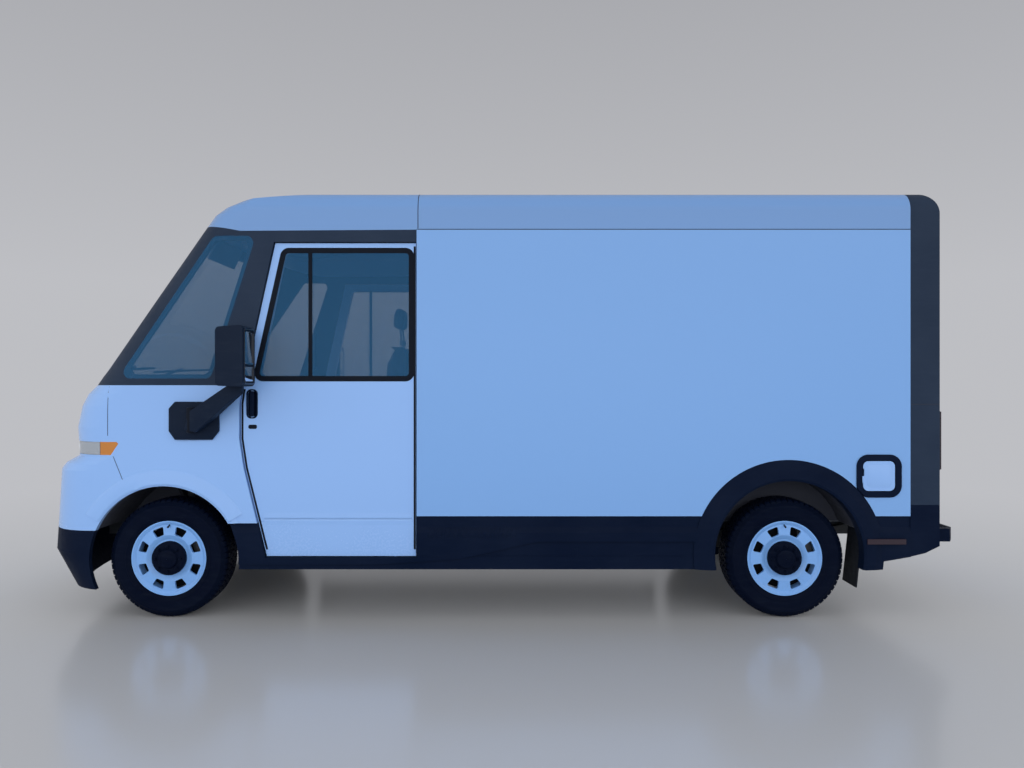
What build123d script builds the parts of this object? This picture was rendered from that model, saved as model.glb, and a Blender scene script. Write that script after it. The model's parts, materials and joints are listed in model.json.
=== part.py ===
from build123d import *
import os
from math import sqrt, cos, sin, radians

os.makedirs("parts", exist_ok=True)

# Electric walk-in delivery van, in millimetres.
# +X runs to the tail, +Y to the van's right side, +Z up. Z = 0 is the road,
# X = 0 is half way along the van and Y = 0 is its centreline.

# Running gear
WHEELBASE = 3886
FRONT_AXLE_X = -2035
REAR_AXLE_X = FRONT_AXLE_X + WHEELBASE
TYRE_RADIUS = 372
TYRE_WIDTH = 225
TYRE_OUTER_Y = 1004
BEAD_RADIUS = 222
RIM_FLANGE_RADIUS = 236
AXLE_Z = TYRE_RADIUS
WHEEL_Y = TYRE_OUTER_Y - TYRE_WIDTH / 2
KINGPIN_Y = WHEEL_Y - 60
SPINDLE_RADIUS = 28
RUNNING_GAP = 0.08
MOVING_GAP = 6

# Body
HALF_WIDTH = 1060
CAB_WALL = 35
CARGO_WALL = 50
CAB_REAR_X = -463
CARGO_REAR_X = 2790
POST_FRONT_X = 2608
BELT_Z = 1464
SEAM_Z = 2432
SILL_Z = 650
FENDER_FOOT_Z = 606
BUMPER_TOP_Z = 560
ROCKER_BOTTOM_Z = 318
ROOF_Z = 2697
ROOF_EDGE_DROP = 28
ROOF_EDGE_RADIUS = 120
NOSE_PLAN_RADIUS = 2500
GLASS = 6
LAMP_DEPTH = 24

# Horizontal sections of the cab's outer skin: height, nose x, corner radius
CAB_SECTIONS = [
    (190, -2835, 330),
    (420, -2966, 340),
    (BUMPER_TOP_Z, -2957, 340),
    (930, -2934, 330),
    (972, -2900, 320),
    (1016, -2817, 310),
    (1200, -2828, 310),
    (1331, -2800, 310),
    (1409, -2759, 305),
    (BELT_Z, -2701, 300),
    (2484, -1988, 270),
    (2544, -1944, 265),
    (2590, -1880, 260),
    (2640, -1760, 260),
    (2760, -1400, 260),
]

# Front side door, which slides back into a pocket in the side wall
DOOR_TOP_Z = 2350
DOOR_BOTTOM_Z = 399
DOOR_OUTER_Y = HALF_WIDTH - 17
DOOR_THICKNESS = 40
DOOR_INNER_Y = DOOR_OUTER_Y - DOOR_THICKNESS
DOOR_TRAVEL = 850
DOOR_REAR_X = CAB_REAR_X - MOVING_GAP
# Front edge of the door opening, top to bottom: x, z
DOOR_FRONT_EDGE = [(-1346, DOOR_TOP_Z), (-1546, 1440), (-1562, 1350), (-1562, 1130), (-1535, 950), (-1399, DOOR_BOTTOM_Z)]
POCKET_REAR_X = DOOR_REAR_X + DOOR_TRAVEL + 12
POCKET_SKIN = 12
POCKET_INNER_Y = DOOR_INNER_Y - 5

# Wheel arches
FRONT_ARCH_RADIUS = 466
REAR_ARCH_RADIUS = 462
REAR_FLARE_RADIUS = 592
REAR_ARCH_Z = 408
HOUSING_RADIUS = 474
HOUSING_WALL = 8

# Floors and chassis
CAB_FLOOR_Z = 600
CARGO_FLOOR_Z = 700
FLOOR_THICKNESS = 40
RAIL_Y = 470
RAIL_WIDTH = 70
RAIL_TOP_Z = 560
RAIL_HEIGHT = 125
BATTERY_FRONT_X = -1290
BATTERY_REAR_X = 1260
BATTERY_HALF_WIDTH = 760
BATTERY_BOTTOM_Z = 268
BULKHEAD_X = -430

# Rear doors
REAR_DOOR_THICKNESS = 45
REAR_DOOR_BOTTOM_Z = 640
REAR_DOOR_TOP_Z = 2420
REAR_DOOR_HINGE_Y = 980
REAR_DOOR_HINGE_X = CARGO_REAR_X + 12


def save(builder, name):
    """Label a finished piece and write it to its own STEP file."""
    builder.part.label = name
    export_step(builder.part, f"parts/{name}.step")


def side_prism(points, y_low, y_high):
    """A solid with a straight-sided outline in side view, between two Y planes."""
    with BuildPart() as prism:
        with BuildSketch(Plane.XZ.offset(-y_low)):
            with BuildLine():
                Polyline(*points, close=True)
            make_face()
        extrude(amount=y_low - y_high)
    return prism.part


def block(x_low, x_high, y_low, y_high, z_low, z_high):
    """A box given by its two corners."""
    size = (x_high - x_low, y_high - y_low, z_high - z_low)
    centre = ((x_low + x_high) / 2, (y_low + y_high) / 2, (z_low + z_high) / 2)
    return Pos(*centre) * Box(*size, mode=Mode.PRIVATE)


def drum(x, z, radius, y_low, y_high):
    """A cylinder along Y, between two Y planes."""
    middle = (y_low + y_high) / 2
    return Pos(x, middle, z) * Rot(90, 0, 0) * Cylinder(radius, y_high - y_low, mode=Mode.PRIVATE)


def pin(x, y, radius, z_low, z_high):
    """An upright cylinder."""
    return Pos(x, y, (z_low + z_high) / 2) * Cylinder(radius, z_high - z_low, mode=Mode.PRIVATE)


def cab_outline(nose_x, half_width, corner_radius, nose_radius, rear_x):
    """One horizontal outline: a bowed nose, two round corners, straight sides."""
    corner_y = half_width - corner_radius
    centre_x = nose_x + nose_radius
    corner_x = centre_x - sqrt((nose_radius - corner_radius) ** 2 - corner_y**2)
    share = nose_radius / (nose_radius - corner_radius)
    touch_x = centre_x + (corner_x - centre_x) * share
    touch_y = corner_y * share
    normal = Vector(touch_x - corner_x, touch_y - corner_y).normalized()
    bisector = (normal + Vector(0, 1)).normalized() * corner_radius
    mid_x, mid_y = corner_x + bisector.X, corner_y + bisector.Y
    with BuildSketch() as outline:
        with BuildLine():
            Line((rear_x, half_width), (rear_x, -half_width))
            Line((rear_x, -half_width), (corner_x, -half_width))
            ThreePointArc((corner_x, -half_width), (mid_x, -mid_y), (touch_x, -touch_y))
            ThreePointArc((touch_x, -touch_y), (nose_x, 0), (touch_x, touch_y))
            ThreePointArc((touch_x, touch_y), (mid_x, mid_y), (corner_x, half_width))
            Line((corner_x, half_width), (rear_x, half_width))
        make_face()
    return outline.sketch


def body_section(inset, x_low, x_high):
    """The van's cross-section: upright sides, rounded roof edges, a slight crown."""
    half = HALF_WIDTH - inset
    edge_z = ROOF_Z - ROOF_EDGE_DROP - inset
    with BuildPart() as section:
        with BuildSketch(Plane.YZ.offset(x_low)) as outline:
            with BuildLine():
                Line((-half, 0), (half, 0))
                Line((half, 0), (half, edge_z))
                ThreePointArc((half, edge_z), (0, ROOF_Z - inset), (-half, edge_z))
                Line((-half, edge_z), (-half, 0))
            make_face()
            fillet(outline.vertices().group_by(Axis.Y)[-1], ROOF_EDGE_RADIUS - inset)
        extrude(amount=x_high - x_low)
    return section.part


def cab_envelope(inset, rear_x):
    """The cab's outer form, or the same form stepped inwards."""
    with BuildPart() as envelope:
        for height, nose_x, corner_radius in CAB_SECTIONS:
            with BuildSketch(Plane.XY.offset(height)):
                add(cab_outline(nose_x + inset, HALF_WIDTH - inset, corner_radius - inset,
                                NOSE_PLAN_RADIUS - inset, rear_x))
        loft(ruled=True)
        add(body_section(inset, -3100, rear_x), mode=Mode.INTERSECT)
        with BuildSketch(Plane.XZ.offset(1200)):
            with BuildLine():
                ThreePointArc((rear_x, ROOF_Z - inset), (-1170, 2668 - inset), (-1960, 2560 - inset))
                Polyline((-1960, 2560 - inset), (-3100, 2300 - inset), (-3100, 0), (rear_x, 0),
                         (rear_x, ROOF_Z - inset))
            make_face()
        extrude(amount=-2400, mode=Mode.INTERSECT)
    return envelope.part


cab_outer = cab_envelope(0, CAB_REAR_X)
cab_inner = cab_envelope(CAB_WALL, CAB_REAR_X + 60)
cab_under_glass = cab_envelope(GLASS, CAB_REAR_X + 60)
cab_under_lamp = cab_envelope(LAMP_DEPTH, CAB_REAR_X + 60)

# Lines of the cab's panels in side view
ROOF_LINE = [(CAB_REAR_X, SEAM_Z), (-1560, 2425), (-2100, 2525), (-3100, 2700)]
NOSE_SEAM = [(-2424, BELT_Z), (-2424, 1114), (-2395, 1030), (-2280, 820), (-2290, BUMPER_TOP_Z)]
DOOR_OPENING = (
    [(CAB_REAR_X + 10, DOOR_TOP_Z + MOVING_GAP)]
    + [(x - MOVING_GAP, z + (MOVING_GAP if z == DOOR_TOP_Z else 0)) for x, z in DOOR_FRONT_EDGE[:-1]]
    + [(DOOR_FRONT_EDGE[-1][0] - MOVING_GAP, DOOR_BOTTOM_Z - MOVING_GAP)]
    + [(CAB_REAR_X + 10, DOOR_BOTTOM_Z - MOVING_GAP)]
)
door_openings = side_prism(DOOR_OPENING, -1200, -900) + side_prism(DOOR_OPENING, 900, 1200)
front_arch = drum(FRONT_AXLE_X, AXLE_Z, FRONT_ARCH_RADIUS, -1200, 1200)

# Window openings: outlines in side or front view, and how far the glass overlaps its frame
GLASS_LAP = 22
QUARTER_OPENING = [(-2285, 1532), (-1765, 1532), (-1498, 2368), (-1718, 2368)]
QUARTER_GLASS = [(-2330, 1506), (-1745, 1506), (-1462, 2394), (-1733, 2394)]
WINDSCREEN_BOTTOM_Z, WINDSCREEN_TOP_Z = 1530, 2434
WINDSCREEN_HALF_BOTTOM, WINDSCREEN_HALF_TOP = 925, 870


def front_prism(half_bottom, half_top, z_low, z_high, x_low, x_high, corner):
    """A solid with a round-cornered trapezium outline in front view."""
    with BuildPart() as prism:
        with BuildSketch(Plane.YZ.offset(x_low)) as outline:
            with BuildLine():
                Polyline((-half_bottom, z_low), (half_bottom, z_low), (half_top, z_high), (-half_top, z_high),
                         close=True)
            make_face()
            fillet(outline.vertices(), corner)
        extrude(amount=x_high - x_low)
    return prism.part


def rounded_side_prism(points, y_low, y_high, corner):
    """A side-view prism with rounded corners."""
    with BuildPart() as prism:
        with BuildSketch(Plane.XZ.offset(-y_low)) as outline:
            with BuildLine():
                Polyline(*points, close=True)
            make_face()
            fillet(outline.vertices(), corner)
        extrude(amount=y_low - y_high)
    return prism.part


windscreen_opening = front_prism(WINDSCREEN_HALF_BOTTOM, WINDSCREEN_HALF_TOP, WINDSCREEN_BOTTOM_Z,
                                 WINDSCREEN_TOP_Z, -3000, -1850, 60)
windscreen_sheet = front_prism(WINDSCREEN_HALF_BOTTOM + GLASS_LAP, WINDSCREEN_HALF_TOP + GLASS_LAP,
                               WINDSCREEN_BOTTOM_Z - GLASS_LAP, WINDSCREEN_TOP_Z + GLASS_LAP, -3000, -1850, 70)

with BuildPart() as windscreen:
    add(cab_outer)
    add(cab_under_glass, mode=Mode.SUBTRACT)
    add(windscreen_sheet, mode=Mode.INTERSECT)
save(windscreen, "windscreen")

quarter_glasses = {}
for side, y_low, y_high in (("left", -1100, -900), ("right", 900, 1100)):
    with BuildPart() as quarter_glass:
        add(cab_outer)
        add(cab_under_glass, mode=Mode.SUBTRACT)
        add(rounded_side_prism(QUARTER_GLASS, y_low, y_high, 45), mode=Mode.INTERSECT)
        add(windscreen_sheet, mode=Mode.SUBTRACT)
    save(quarter_glass, f"quarter_glass_{side}")
    quarter_glasses[side] = quarter_glass.part

with BuildPart() as cab_shell:
    add(cab_outer)
    add(cab_inner, mode=Mode.SUBTRACT)
    add(door_openings, mode=Mode.SUBTRACT)
    add(front_arch, mode=Mode.SUBTRACT)

with BuildPart() as pillar_frame:
    add(cab_shell.part)
    add(side_prism(ROOF_LINE + [(-3100, BELT_Z), (CAB_REAR_X, BELT_Z)], -1100, 1100), mode=Mode.INTERSECT)
    add(windscreen_opening, mode=Mode.SUBTRACT)
    add(windscreen.part, mode=Mode.SUBTRACT)
    for side, y_low, y_high in (("left", -1100, -900), ("right", 900, 1100)):
        add(rounded_side_prism(QUARTER_OPENING, y_low, y_high, 40), mode=Mode.SUBTRACT)
        add(quarter_glasses[side], mode=Mode.SUBTRACT)
save(pillar_frame, "pillar_frame")

with BuildPart() as cab_roof:
    add(cab_shell.part)
    add(side_prism(ROOF_LINE + [(-3100, 2800), (CAB_REAR_X, 2800)], -1100, 1100), mode=Mode.INTERSECT)
save(cab_roof, "cab_roof")

# Nose: upper panel round the hood lid, lamps and black band on its ledge, white lower panel
LAMP_BOTTOM_Z, LAMP_TOP_Z = 1030, 1112
LAMP_INNER_Y = 560
LAMP_OUTLINE = [(-3100, LAMP_BOTTOM_Z), (-2365, LAMP_BOTTOM_Z), (-2318, LAMP_TOP_Z - 12), (-2330, LAMP_TOP_Z),
                (-3100, LAMP_TOP_Z)]
HOOD_HALF_WIDTH = 600
HOOD_BOTTOM_Z, HOOD_TOP_Z = 1136, 1400
HOOD_LIFT_GAP = 10
HOOD_HINGE_X, HOOD_HINGE_Z = -2764, HOOD_TOP_Z
HOOD_KNUCKLE_RADIUS = 5
with BuildPart() as lamp_band:
    add(cab_outer)
    add(cab_under_lamp, mode=Mode.SUBTRACT)
    add(side_prism(LAMP_OUTLINE, -1100, 1100), mode=Mode.INTERSECT)
hood_hole = block(-3100, -2500, -HOOD_HALF_WIDTH - MOVING_GAP, HOOD_HALF_WIDTH + MOVING_GAP,
                  HOOD_BOTTOM_Z - HOOD_LIFT_GAP, HOOD_TOP_Z + MOVING_GAP)

with BuildPart() as front_fascia:
    add(cab_shell.part)
    add(side_prism(NOSE_SEAM + [(-3100, BUMPER_TOP_Z), (-3100, BELT_Z)], -1100, 1100), mode=Mode.INTERSECT)
    add(lamp_band.part, mode=Mode.SUBTRACT)
    add(hood_hole, mode=Mode.SUBTRACT)
    for sign in (-1, 1):
        y_low, y_high = sorted((sign * 150.5, sign * 190))
        add(drum(HOOD_HINGE_X, HOOD_HINGE_Z, HOOD_KNUCKLE_RADIUS, y_low, y_high))
        add(block(HOOD_HINGE_X - 3, HOOD_HINGE_X + 26, y_low, y_high, HOOD_HINGE_Z + 3, HOOD_HINGE_Z + 14))
save(front_fascia, "front_fascia")

with BuildPart() as hood:
    add(cab_shell.part)
    add(block(-3100, -2500, -HOOD_HALF_WIDTH, HOOD_HALF_WIDTH, HOOD_BOTTOM_Z, HOOD_TOP_Z), mode=Mode.INTERSECT)
    for sign in (-1, 1):
        y_low, y_high = sorted((sign * 110, sign * 150))
        notch_low, notch_high = sorted((sign * 144, sign * 196))
        add(block(-2800, HOOD_HINGE_X + 12, notch_low, notch_high, HOOD_HINGE_Z - 12, HOOD_HINGE_Z + 5),
            mode=Mode.SUBTRACT)
        add(drum(HOOD_HINGE_X, HOOD_HINGE_Z, HOOD_KNUCKLE_RADIUS, y_low, y_high))
        add(block(HOOD_HINGE_X - 3, HOOD_HINGE_X + 20, y_low, y_high, HOOD_HINGE_Z - 12, HOOD_HINGE_Z - 3))
save(hood, "hood")

with BuildPart() as nose_band:
    add(lamp_band.part)
    add(block(-3100, -2000, -LAMP_INNER_Y, LAMP_INNER_Y, 0, 2000), mode=Mode.INTERSECT)
save(nose_band, "nose_band")

with BuildPart() as headlamps:
    add(lamp_band.part)
    add(block(-3100, -2000, -LAMP_INNER_Y, LAMP_INNER_Y, 0, 2000), mode=Mode.SUBTRACT)
save(headlamps, "headlamps")

# Front wings with a raised lip round the arch
WING_LIP_RADIUS = 524
WING_LIP = 12
SIDES = (("left", -1), ("right", 1))


def arch_ring(x, z, profile, sign):
    """A ring round a wheel arch on one side, from a profile of (radius, distance from the centreline)."""
    with BuildPart() as ring:
        with BuildSketch(Plane(origin=(x, 0, z), x_dir=(1, 0, 0), z_dir=(0, 0, 1))):
            with BuildLine():
                Polyline(*[(radius, sign * y) for radius, y in profile], close=True)
            make_face()
        revolve(axis=Axis((x, 0, z), (0, 1, 0)))
    return ring.part


for side, sign in SIDES:
    y_low, y_high = sorted((sign * 900, sign * 1100))
    with BuildPart() as wing:
        add(arch_ring(FRONT_AXLE_X, AXLE_Z, [
            (FRONT_ARCH_RADIUS, HALF_WIDTH - CAB_WALL), (FRONT_ARCH_RADIUS, HALF_WIDTH + WING_LIP),
            (FRONT_ARCH_RADIUS + 22, HALF_WIDTH + WING_LIP), (WING_LIP_RADIUS, HALF_WIDTH - 2),
            (WING_LIP_RADIUS, HALF_WIDTH - CAB_WALL)], sign))
        add(block(FRONT_AXLE_X - 160, -1400, y_low, y_high, FENDER_FOOT_Z, BELT_Z), mode=Mode.INTERSECT)
        add(cab_shell.part.intersect(side_prism(
            NOSE_SEAM + [(FRONT_AXLE_X, BUMPER_TOP_Z), (FRONT_AXLE_X, FENDER_FOOT_Z), (-1400, FENDER_FOOT_Z),
                         (-1400, BELT_Z)], y_low, y_high)))
        add(lamp_band.part, mode=Mode.SUBTRACT)
        add(door_openings, mode=Mode.SUBTRACT)
    save(wing, f"front_wing_{side}")

with BuildPart() as front_bumper:
    add(cab_shell.part)
    add(side_prism([(-3100, 100), (-2400, 100), (-2400, BUMPER_TOP_Z), (-3100, BUMPER_TOP_Z)], -1100, 1100),
        mode=Mode.INTERSECT)
save(front_bumper, "front_bumper")

# Load space: cross-section shell with a rounded rear roof edge
with BuildPart() as cargo_shell:
    add(body_section(0, CAB_REAR_X, CARGO_REAR_X))
    with BuildSketch(Plane.XZ.offset(1200)):
        with BuildLine():
            Polyline((CARGO_REAR_X, 2540), (CARGO_REAR_X, 0), (CAB_REAR_X, 0), (CAB_REAR_X, 2800), (2560, 2800),
                     (2590, ROOF_Z))
            ThreePointArc((2590, ROOF_Z), (2735, 2650), (CARGO_REAR_X, 2540))
        make_face()
    extrude(amount=-2400, mode=Mode.INTERSECT)
    add(body_section(CARGO_WALL, CAB_REAR_X - 10, CARGO_REAR_X - CARGO_WALL), mode=Mode.SUBTRACT)

with BuildPart() as cargo_roof:
    add(cargo_shell.part)
    add(block(CAB_REAR_X, POST_FRONT_X, -1100, 1100, SEAM_Z, 2800), mode=Mode.INTERSECT)
save(cargo_roof, "cargo_roof")

# Charge port on the left rear side: a round-cornered ring, a cup behind it and a lid
PORT_X, PORT_Z = 2411, 900
PORT_WIDTH, PORT_HEIGHT, PORT_CORNER = 279, 267, 74
PORT_RING = 36
PORT_PROUD = 8
PORT_CUP_DEPTH = 42
LID_GAP = 5
LID_HINGE_X, LID_HINGE_Y = PORT_X - PORT_WIDTH / 2 + PORT_RING + LID_GAP / 2, -HALF_WIDTH - 6
LID_KNUCKLE_RADIUS = 4


def round_panel(x, z, width, height, corner, y_low, y_high):
    """A round-cornered plate standing across Y."""
    with BuildPart() as plate:
        with BuildSketch(Plane.XZ.offset(-y_low)):
            with Locations((x, z)):
                RectangleRounded(width, height, corner)
        extrude(amount=y_low - y_high)
    return plate.part


with BuildPart() as charge_port:
    add(round_panel(PORT_X, PORT_Z, PORT_WIDTH, PORT_HEIGHT, PORT_CORNER, -HALF_WIDTH - PORT_PROUD,
                    -HALF_WIDTH + PORT_CUP_DEPTH))
    add(round_panel(PORT_X, PORT_Z, PORT_WIDTH - 2 * PORT_RING, PORT_HEIGHT - 2 * PORT_RING, PORT_CORNER - PORT_RING,
                    -HALF_WIDTH - PORT_PROUD, -HALF_WIDTH + PORT_CUP_DEPTH - 6), mode=Mode.SUBTRACT)
    add(drum(PORT_X, PORT_Z, 42, -HALF_WIDTH + 22, -HALF_WIDTH + PORT_CUP_DEPTH))
    add(drum(PORT_X, PORT_Z, 34, -HALF_WIDTH + 20, -HALF_WIDTH + 30), mode=Mode.SUBTRACT)
    add(drum(REAR_AXLE_X, REAR_ARCH_Z, REAR_FLARE_RADIUS + 2, -1200, -900), mode=Mode.SUBTRACT)
    add(block(LID_HINGE_X - 9, LID_HINGE_X, -1075, -HALF_WIDTH + 10, PORT_Z - 46, PORT_Z + 0.5), mode=Mode.SUBTRACT)
    add(pin(LID_HINGE_X, LID_HINGE_Y, LID_KNUCKLE_RADIUS, PORT_Z + 0.5, PORT_Z + 40))
save(charge_port, "charge_port")

with BuildPart() as charge_lid:
    add(round_panel(PORT_X, PORT_Z, PORT_WIDTH - 2 * PORT_RING - 2 * LID_GAP,
                    PORT_HEIGHT - 2 * PORT_RING - 2 * LID_GAP, PORT_CORNER - PORT_RING - LID_GAP,
                    -HALF_WIDTH - 4, -HALF_WIDTH + 8))
    add(block(LID_HINGE_X, LID_HINGE_X + 9, -1075, -HALF_WIDTH + 10, PORT_Z, PORT_Z + 46), mode=Mode.SUBTRACT)
    add(pin(LID_HINGE_X, LID_HINGE_Y, LID_KNUCKLE_RADIUS, PORT_Z - 40, PORT_Z))
save(charge_lid, "charge_lid")

# Side panels, with a pocket behind the door
for side, sign in SIDES:
    y_low, y_high = sorted((sign * 960, sign * 1100))
    pocket_low, pocket_high = sorted((sign * POCKET_INNER_Y, sign * (DOOR_OUTER_Y + 5)))
    liner_low, liner_high = sorted((sign * (POCKET_INNER_Y - POCKET_SKIN), sign * (HALF_WIDTH - CARGO_WALL)))
    with BuildPart() as side_panel:
        add(cargo_shell.part)
        add(block(CAB_REAR_X, POST_FRONT_X, y_low, y_high, SILL_Z, SEAM_Z), mode=Mode.INTERSECT)
        add(block(CAB_REAR_X, POCKET_REAR_X + 20, liner_low, liner_high, SILL_Z, DOOR_TOP_Z + 34))
        add(block(CAB_REAR_X - 1, POCKET_REAR_X, pocket_low, pocket_high, SILL_Z - 1, DOOR_TOP_Z + 22),
            mode=Mode.SUBTRACT)
        add(drum(REAR_AXLE_X, REAR_ARCH_Z, REAR_FLARE_RADIUS - 12, y_low, y_high), mode=Mode.SUBTRACT)
        if side == "left":
            add(round_panel(PORT_X, PORT_Z, PORT_WIDTH, PORT_HEIGHT, PORT_CORNER, -1100, -HALF_WIDTH
                            + PORT_CUP_DEPTH), mode=Mode.SUBTRACT)
    save(side_panel, f"cargo_side_{side}")

# Black sills with the rear wheel flare: three steps of the outer face, then the flare
SILL_INNER_Y = 1000
SILL_SHOULDER_Y = 1054
SILL_NOSE_Y = 1066
SILL_TUCK_Y = 1053
SILL_OUTLINE = [
    (-1800, ROCKER_BOTTOM_Z), (-1800, FENDER_FOOT_Z), (-1452, FENDER_FOOT_Z), (-1405, DOOR_BOTTOM_Z - MOVING_GAP),
    (CAB_REAR_X, DOOR_BOTTOM_Z - MOVING_GAP), (CAB_REAR_X, SILL_Z), (POST_FRONT_X, SILL_Z),
    (POST_FRONT_X, 398), (2300, 345), (2200, ROCKER_BOTTOM_Z)]
sills = {}
SILL_TUCK = [(-1900, 200), (-1900, 350), (-700, 350), (-193, 386), (-7, 425), (180, 470), (300, 492), (1420, 492),
             (1420, 200)]
for side, sign in SIDES:
    y_low, y_high = sorted((sign * SILL_INNER_Y, sign * SILL_NOSE_Y))
    pocket_low, pocket_high = sorted((sign * (SILL_INNER_Y - 10), sign * (DOOR_OUTER_Y + 5)))
    housing_low, housing_high = sorted((sign * 900, sign * (HALF_WIDTH - CAB_WALL)))
    with BuildPart() as sill:
        add(side_prism(SILL_OUTLINE, y_low, y_high))
        with BuildSketch(Plane.YZ.offset(-1900)):
            with BuildLine():
                Polyline((sign * SILL_SHOULDER_Y, 900), (sign * SILL_SHOULDER_Y, 582), (sign * SILL_NOSE_Y, 548),
                         (sign * 1200, 548), (sign * 1200, 900), close=True)
            make_face()
        extrude(amount=4700, mode=Mode.SUBTRACT)
        tuck_low, tuck_high = sorted((sign * SILL_TUCK_Y, sign * 1200))
        add(side_prism(SILL_TUCK, tuck_low, tuck_high), mode=Mode.SUBTRACT)
        add(arch_ring(REAR_AXLE_X, REAR_ARCH_Z, [
            (REAR_ARCH_RADIUS, SILL_INNER_Y), (REAR_ARCH_RADIUS, HALF_WIDTH + 16),
            (REAR_ARCH_RADIUS + 14, HALF_WIDTH + 24), (REAR_ARCH_RADIUS + 74, HALF_WIDTH + 18),
            (REAR_FLARE_RADIUS, HALF_WIDTH + 1), (REAR_FLARE_RADIUS, HALF_WIDTH),
            (REAR_FLARE_RADIUS - 12, HALF_WIDTH), (REAR_FLARE_RADIUS - 12, SILL_INNER_Y)], sign))
        ring_low, ring_high = sorted((sign * 900, sign * 1200))
        add(block(-2600, 3000, ring_low, ring_high, -400, ROCKER_BOTTOM_Z), mode=Mode.SUBTRACT)
        add(drum(REAR_AXLE_X, REAR_ARCH_Z, REAR_ARCH_RADIUS, ring_low, ring_high), mode=Mode.SUBTRACT)
        add(front_arch, mode=Mode.SUBTRACT)
        add(drum(FRONT_AXLE_X, AXLE_Z, HOUSING_RADIUS + HOUSING_WALL, housing_low, housing_high), mode=Mode.SUBTRACT)
        add(block(CAB_REAR_X - 1, POCKET_REAR_X, pocket_low, pocket_high, DOOR_BOTTOM_Z - MOVING_GAP, 700),
            mode=Mode.SUBTRACT)
    save(sill, f"sill_{side}")
    sills[side] = sill.part

# Black rear frame with the doorway, and the bumper with its step
DOORWAY_HALF = REAR_DOOR_HINGE_Y
HINGE_HEIGHTS = (860, 1530, 2200)
HINGE_LENGTH = 120
HINGE_RADIUS = 10
POST_FOOT_Z = 720
BUMPER_FOOT = [(POST_FRONT_X, POST_FOOT_Z), (POST_FRONT_X, 398), (2700, 420), (CARGO_REAR_X, 464),
               (CARGO_REAR_X, POST_FOOT_Z)]
with BuildPart() as rear_frame:
    add(cargo_shell.part)
    add(block(POST_FRONT_X, 2900, -1100, 1100, POST_FOOT_Z, 2800), mode=Mode.INTERSECT)
    add(block(2600, 2900, -DOORWAY_HALF, DOORWAY_HALF, 600, REAR_DOOR_TOP_Z + MOVING_GAP), mode=Mode.SUBTRACT)
    for sign in (-1, 1):
        for height in HINGE_HEIGHTS:
            for end in (-1, 1):
                middle = height + end * HINGE_LENGTH / 3
                half = HINGE_LENGTH / 6 - 0.5
                y_low, y_high = sorted((sign * REAR_DOOR_HINGE_Y, sign * (REAR_DOOR_HINGE_Y + 40)))
                add(pin(REAR_DOOR_HINGE_X, sign * REAR_DOOR_HINGE_Y, HINGE_RADIUS, middle - half, middle + half))
                add(block(CARGO_REAR_X, REAR_DOOR_HINGE_X - 4, y_low, y_high, middle - half, middle + half))
save(rear_frame, "rear_frame")

STEP_REAR_X = 2966
STEP_TOP_Z, STEP_BOTTOM_Z = 548, 466
STEP_HALF = 930
with BuildPart() as rear_bumper:
    with BuildSketch(Plane.XZ.offset(HALF_WIDTH)):
        with BuildLine():
            Polyline(*BUMPER_FOOT, close=True)
        make_face()
    extrude(amount=-2 * HALF_WIDTH)
    add(block(2500, CARGO_REAR_X - CARGO_WALL, -HALF_WIDTH + CARGO_WALL, HALF_WIDTH - CARGO_WALL, 300, 800),
        mode=Mode.SUBTRACT)
    add(block(2500, 2900, -DOORWAY_HALF, DOORWAY_HALF, REAR_DOOR_BOTTOM_Z - MOVING_GAP, 800), mode=Mode.SUBTRACT)
    with BuildSketch(Plane.XY.offset(STEP_BOTTOM_Z)):
        with BuildLine():
            Polyline((CARGO_REAR_X - 20, -STEP_HALF), (STEP_REAR_X - 40, -STEP_HALF), (STEP_REAR_X, -STEP_HALF + 60),
                     (STEP_REAR_X, STEP_HALF - 60), (STEP_REAR_X - 40, STEP_HALF), (CARGO_REAR_X - 20, STEP_HALF),
                     close=True)
        make_face()
    extrude(amount=STEP_TOP_Z - STEP_BOTTOM_Z)
save(rear_bumper, "rear_bumper")

# Rear doors, hung on three hinges each
REAR_DOOR_INNER_X = CARGO_REAR_X - REAR_DOOR_THICKNESS
for side, sign in SIDES:
    y_low, y_high = sorted((sign * 4, sign * (REAR_DOOR_HINGE_Y - 5)))
    with BuildPart() as rear_door:
        add(block(REAR_DOOR_INNER_X, CARGO_REAR_X, y_low, y_high, REAR_DOOR_BOTTOM_Z, REAR_DOOR_TOP_Z))
        fillet(rear_door.edges().filter_by(Axis.X), 14)
        add(block(CARGO_REAR_X - 5, CARGO_REAR_X, min(y_low, y_high) + 70, max(y_low, y_high) - 70, 760, 1420),
            mode=Mode.SUBTRACT)
        add(block(CARGO_REAR_X - 5, CARGO_REAR_X, min(y_low, y_high) + 70, max(y_low, y_high) - 70, 1560, 2320),
            mode=Mode.SUBTRACT)
        for height in HINGE_HEIGHTS:
            half = HINGE_LENGTH / 6 - 0.5
            leaf_low, leaf_high = sorted((sign * (REAR_DOOR_HINGE_Y - 60), sign * REAR_DOOR_HINGE_Y))
            add(pin(REAR_DOOR_HINGE_X, sign * REAR_DOOR_HINGE_Y, HINGE_RADIUS, height - half, height + half))
            add(block(CARGO_REAR_X - 6, REAR_DOOR_HINGE_X - 4, leaf_low, leaf_high, height - half, height + half))
    save(rear_door, f"rear_door_{side}")

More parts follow.
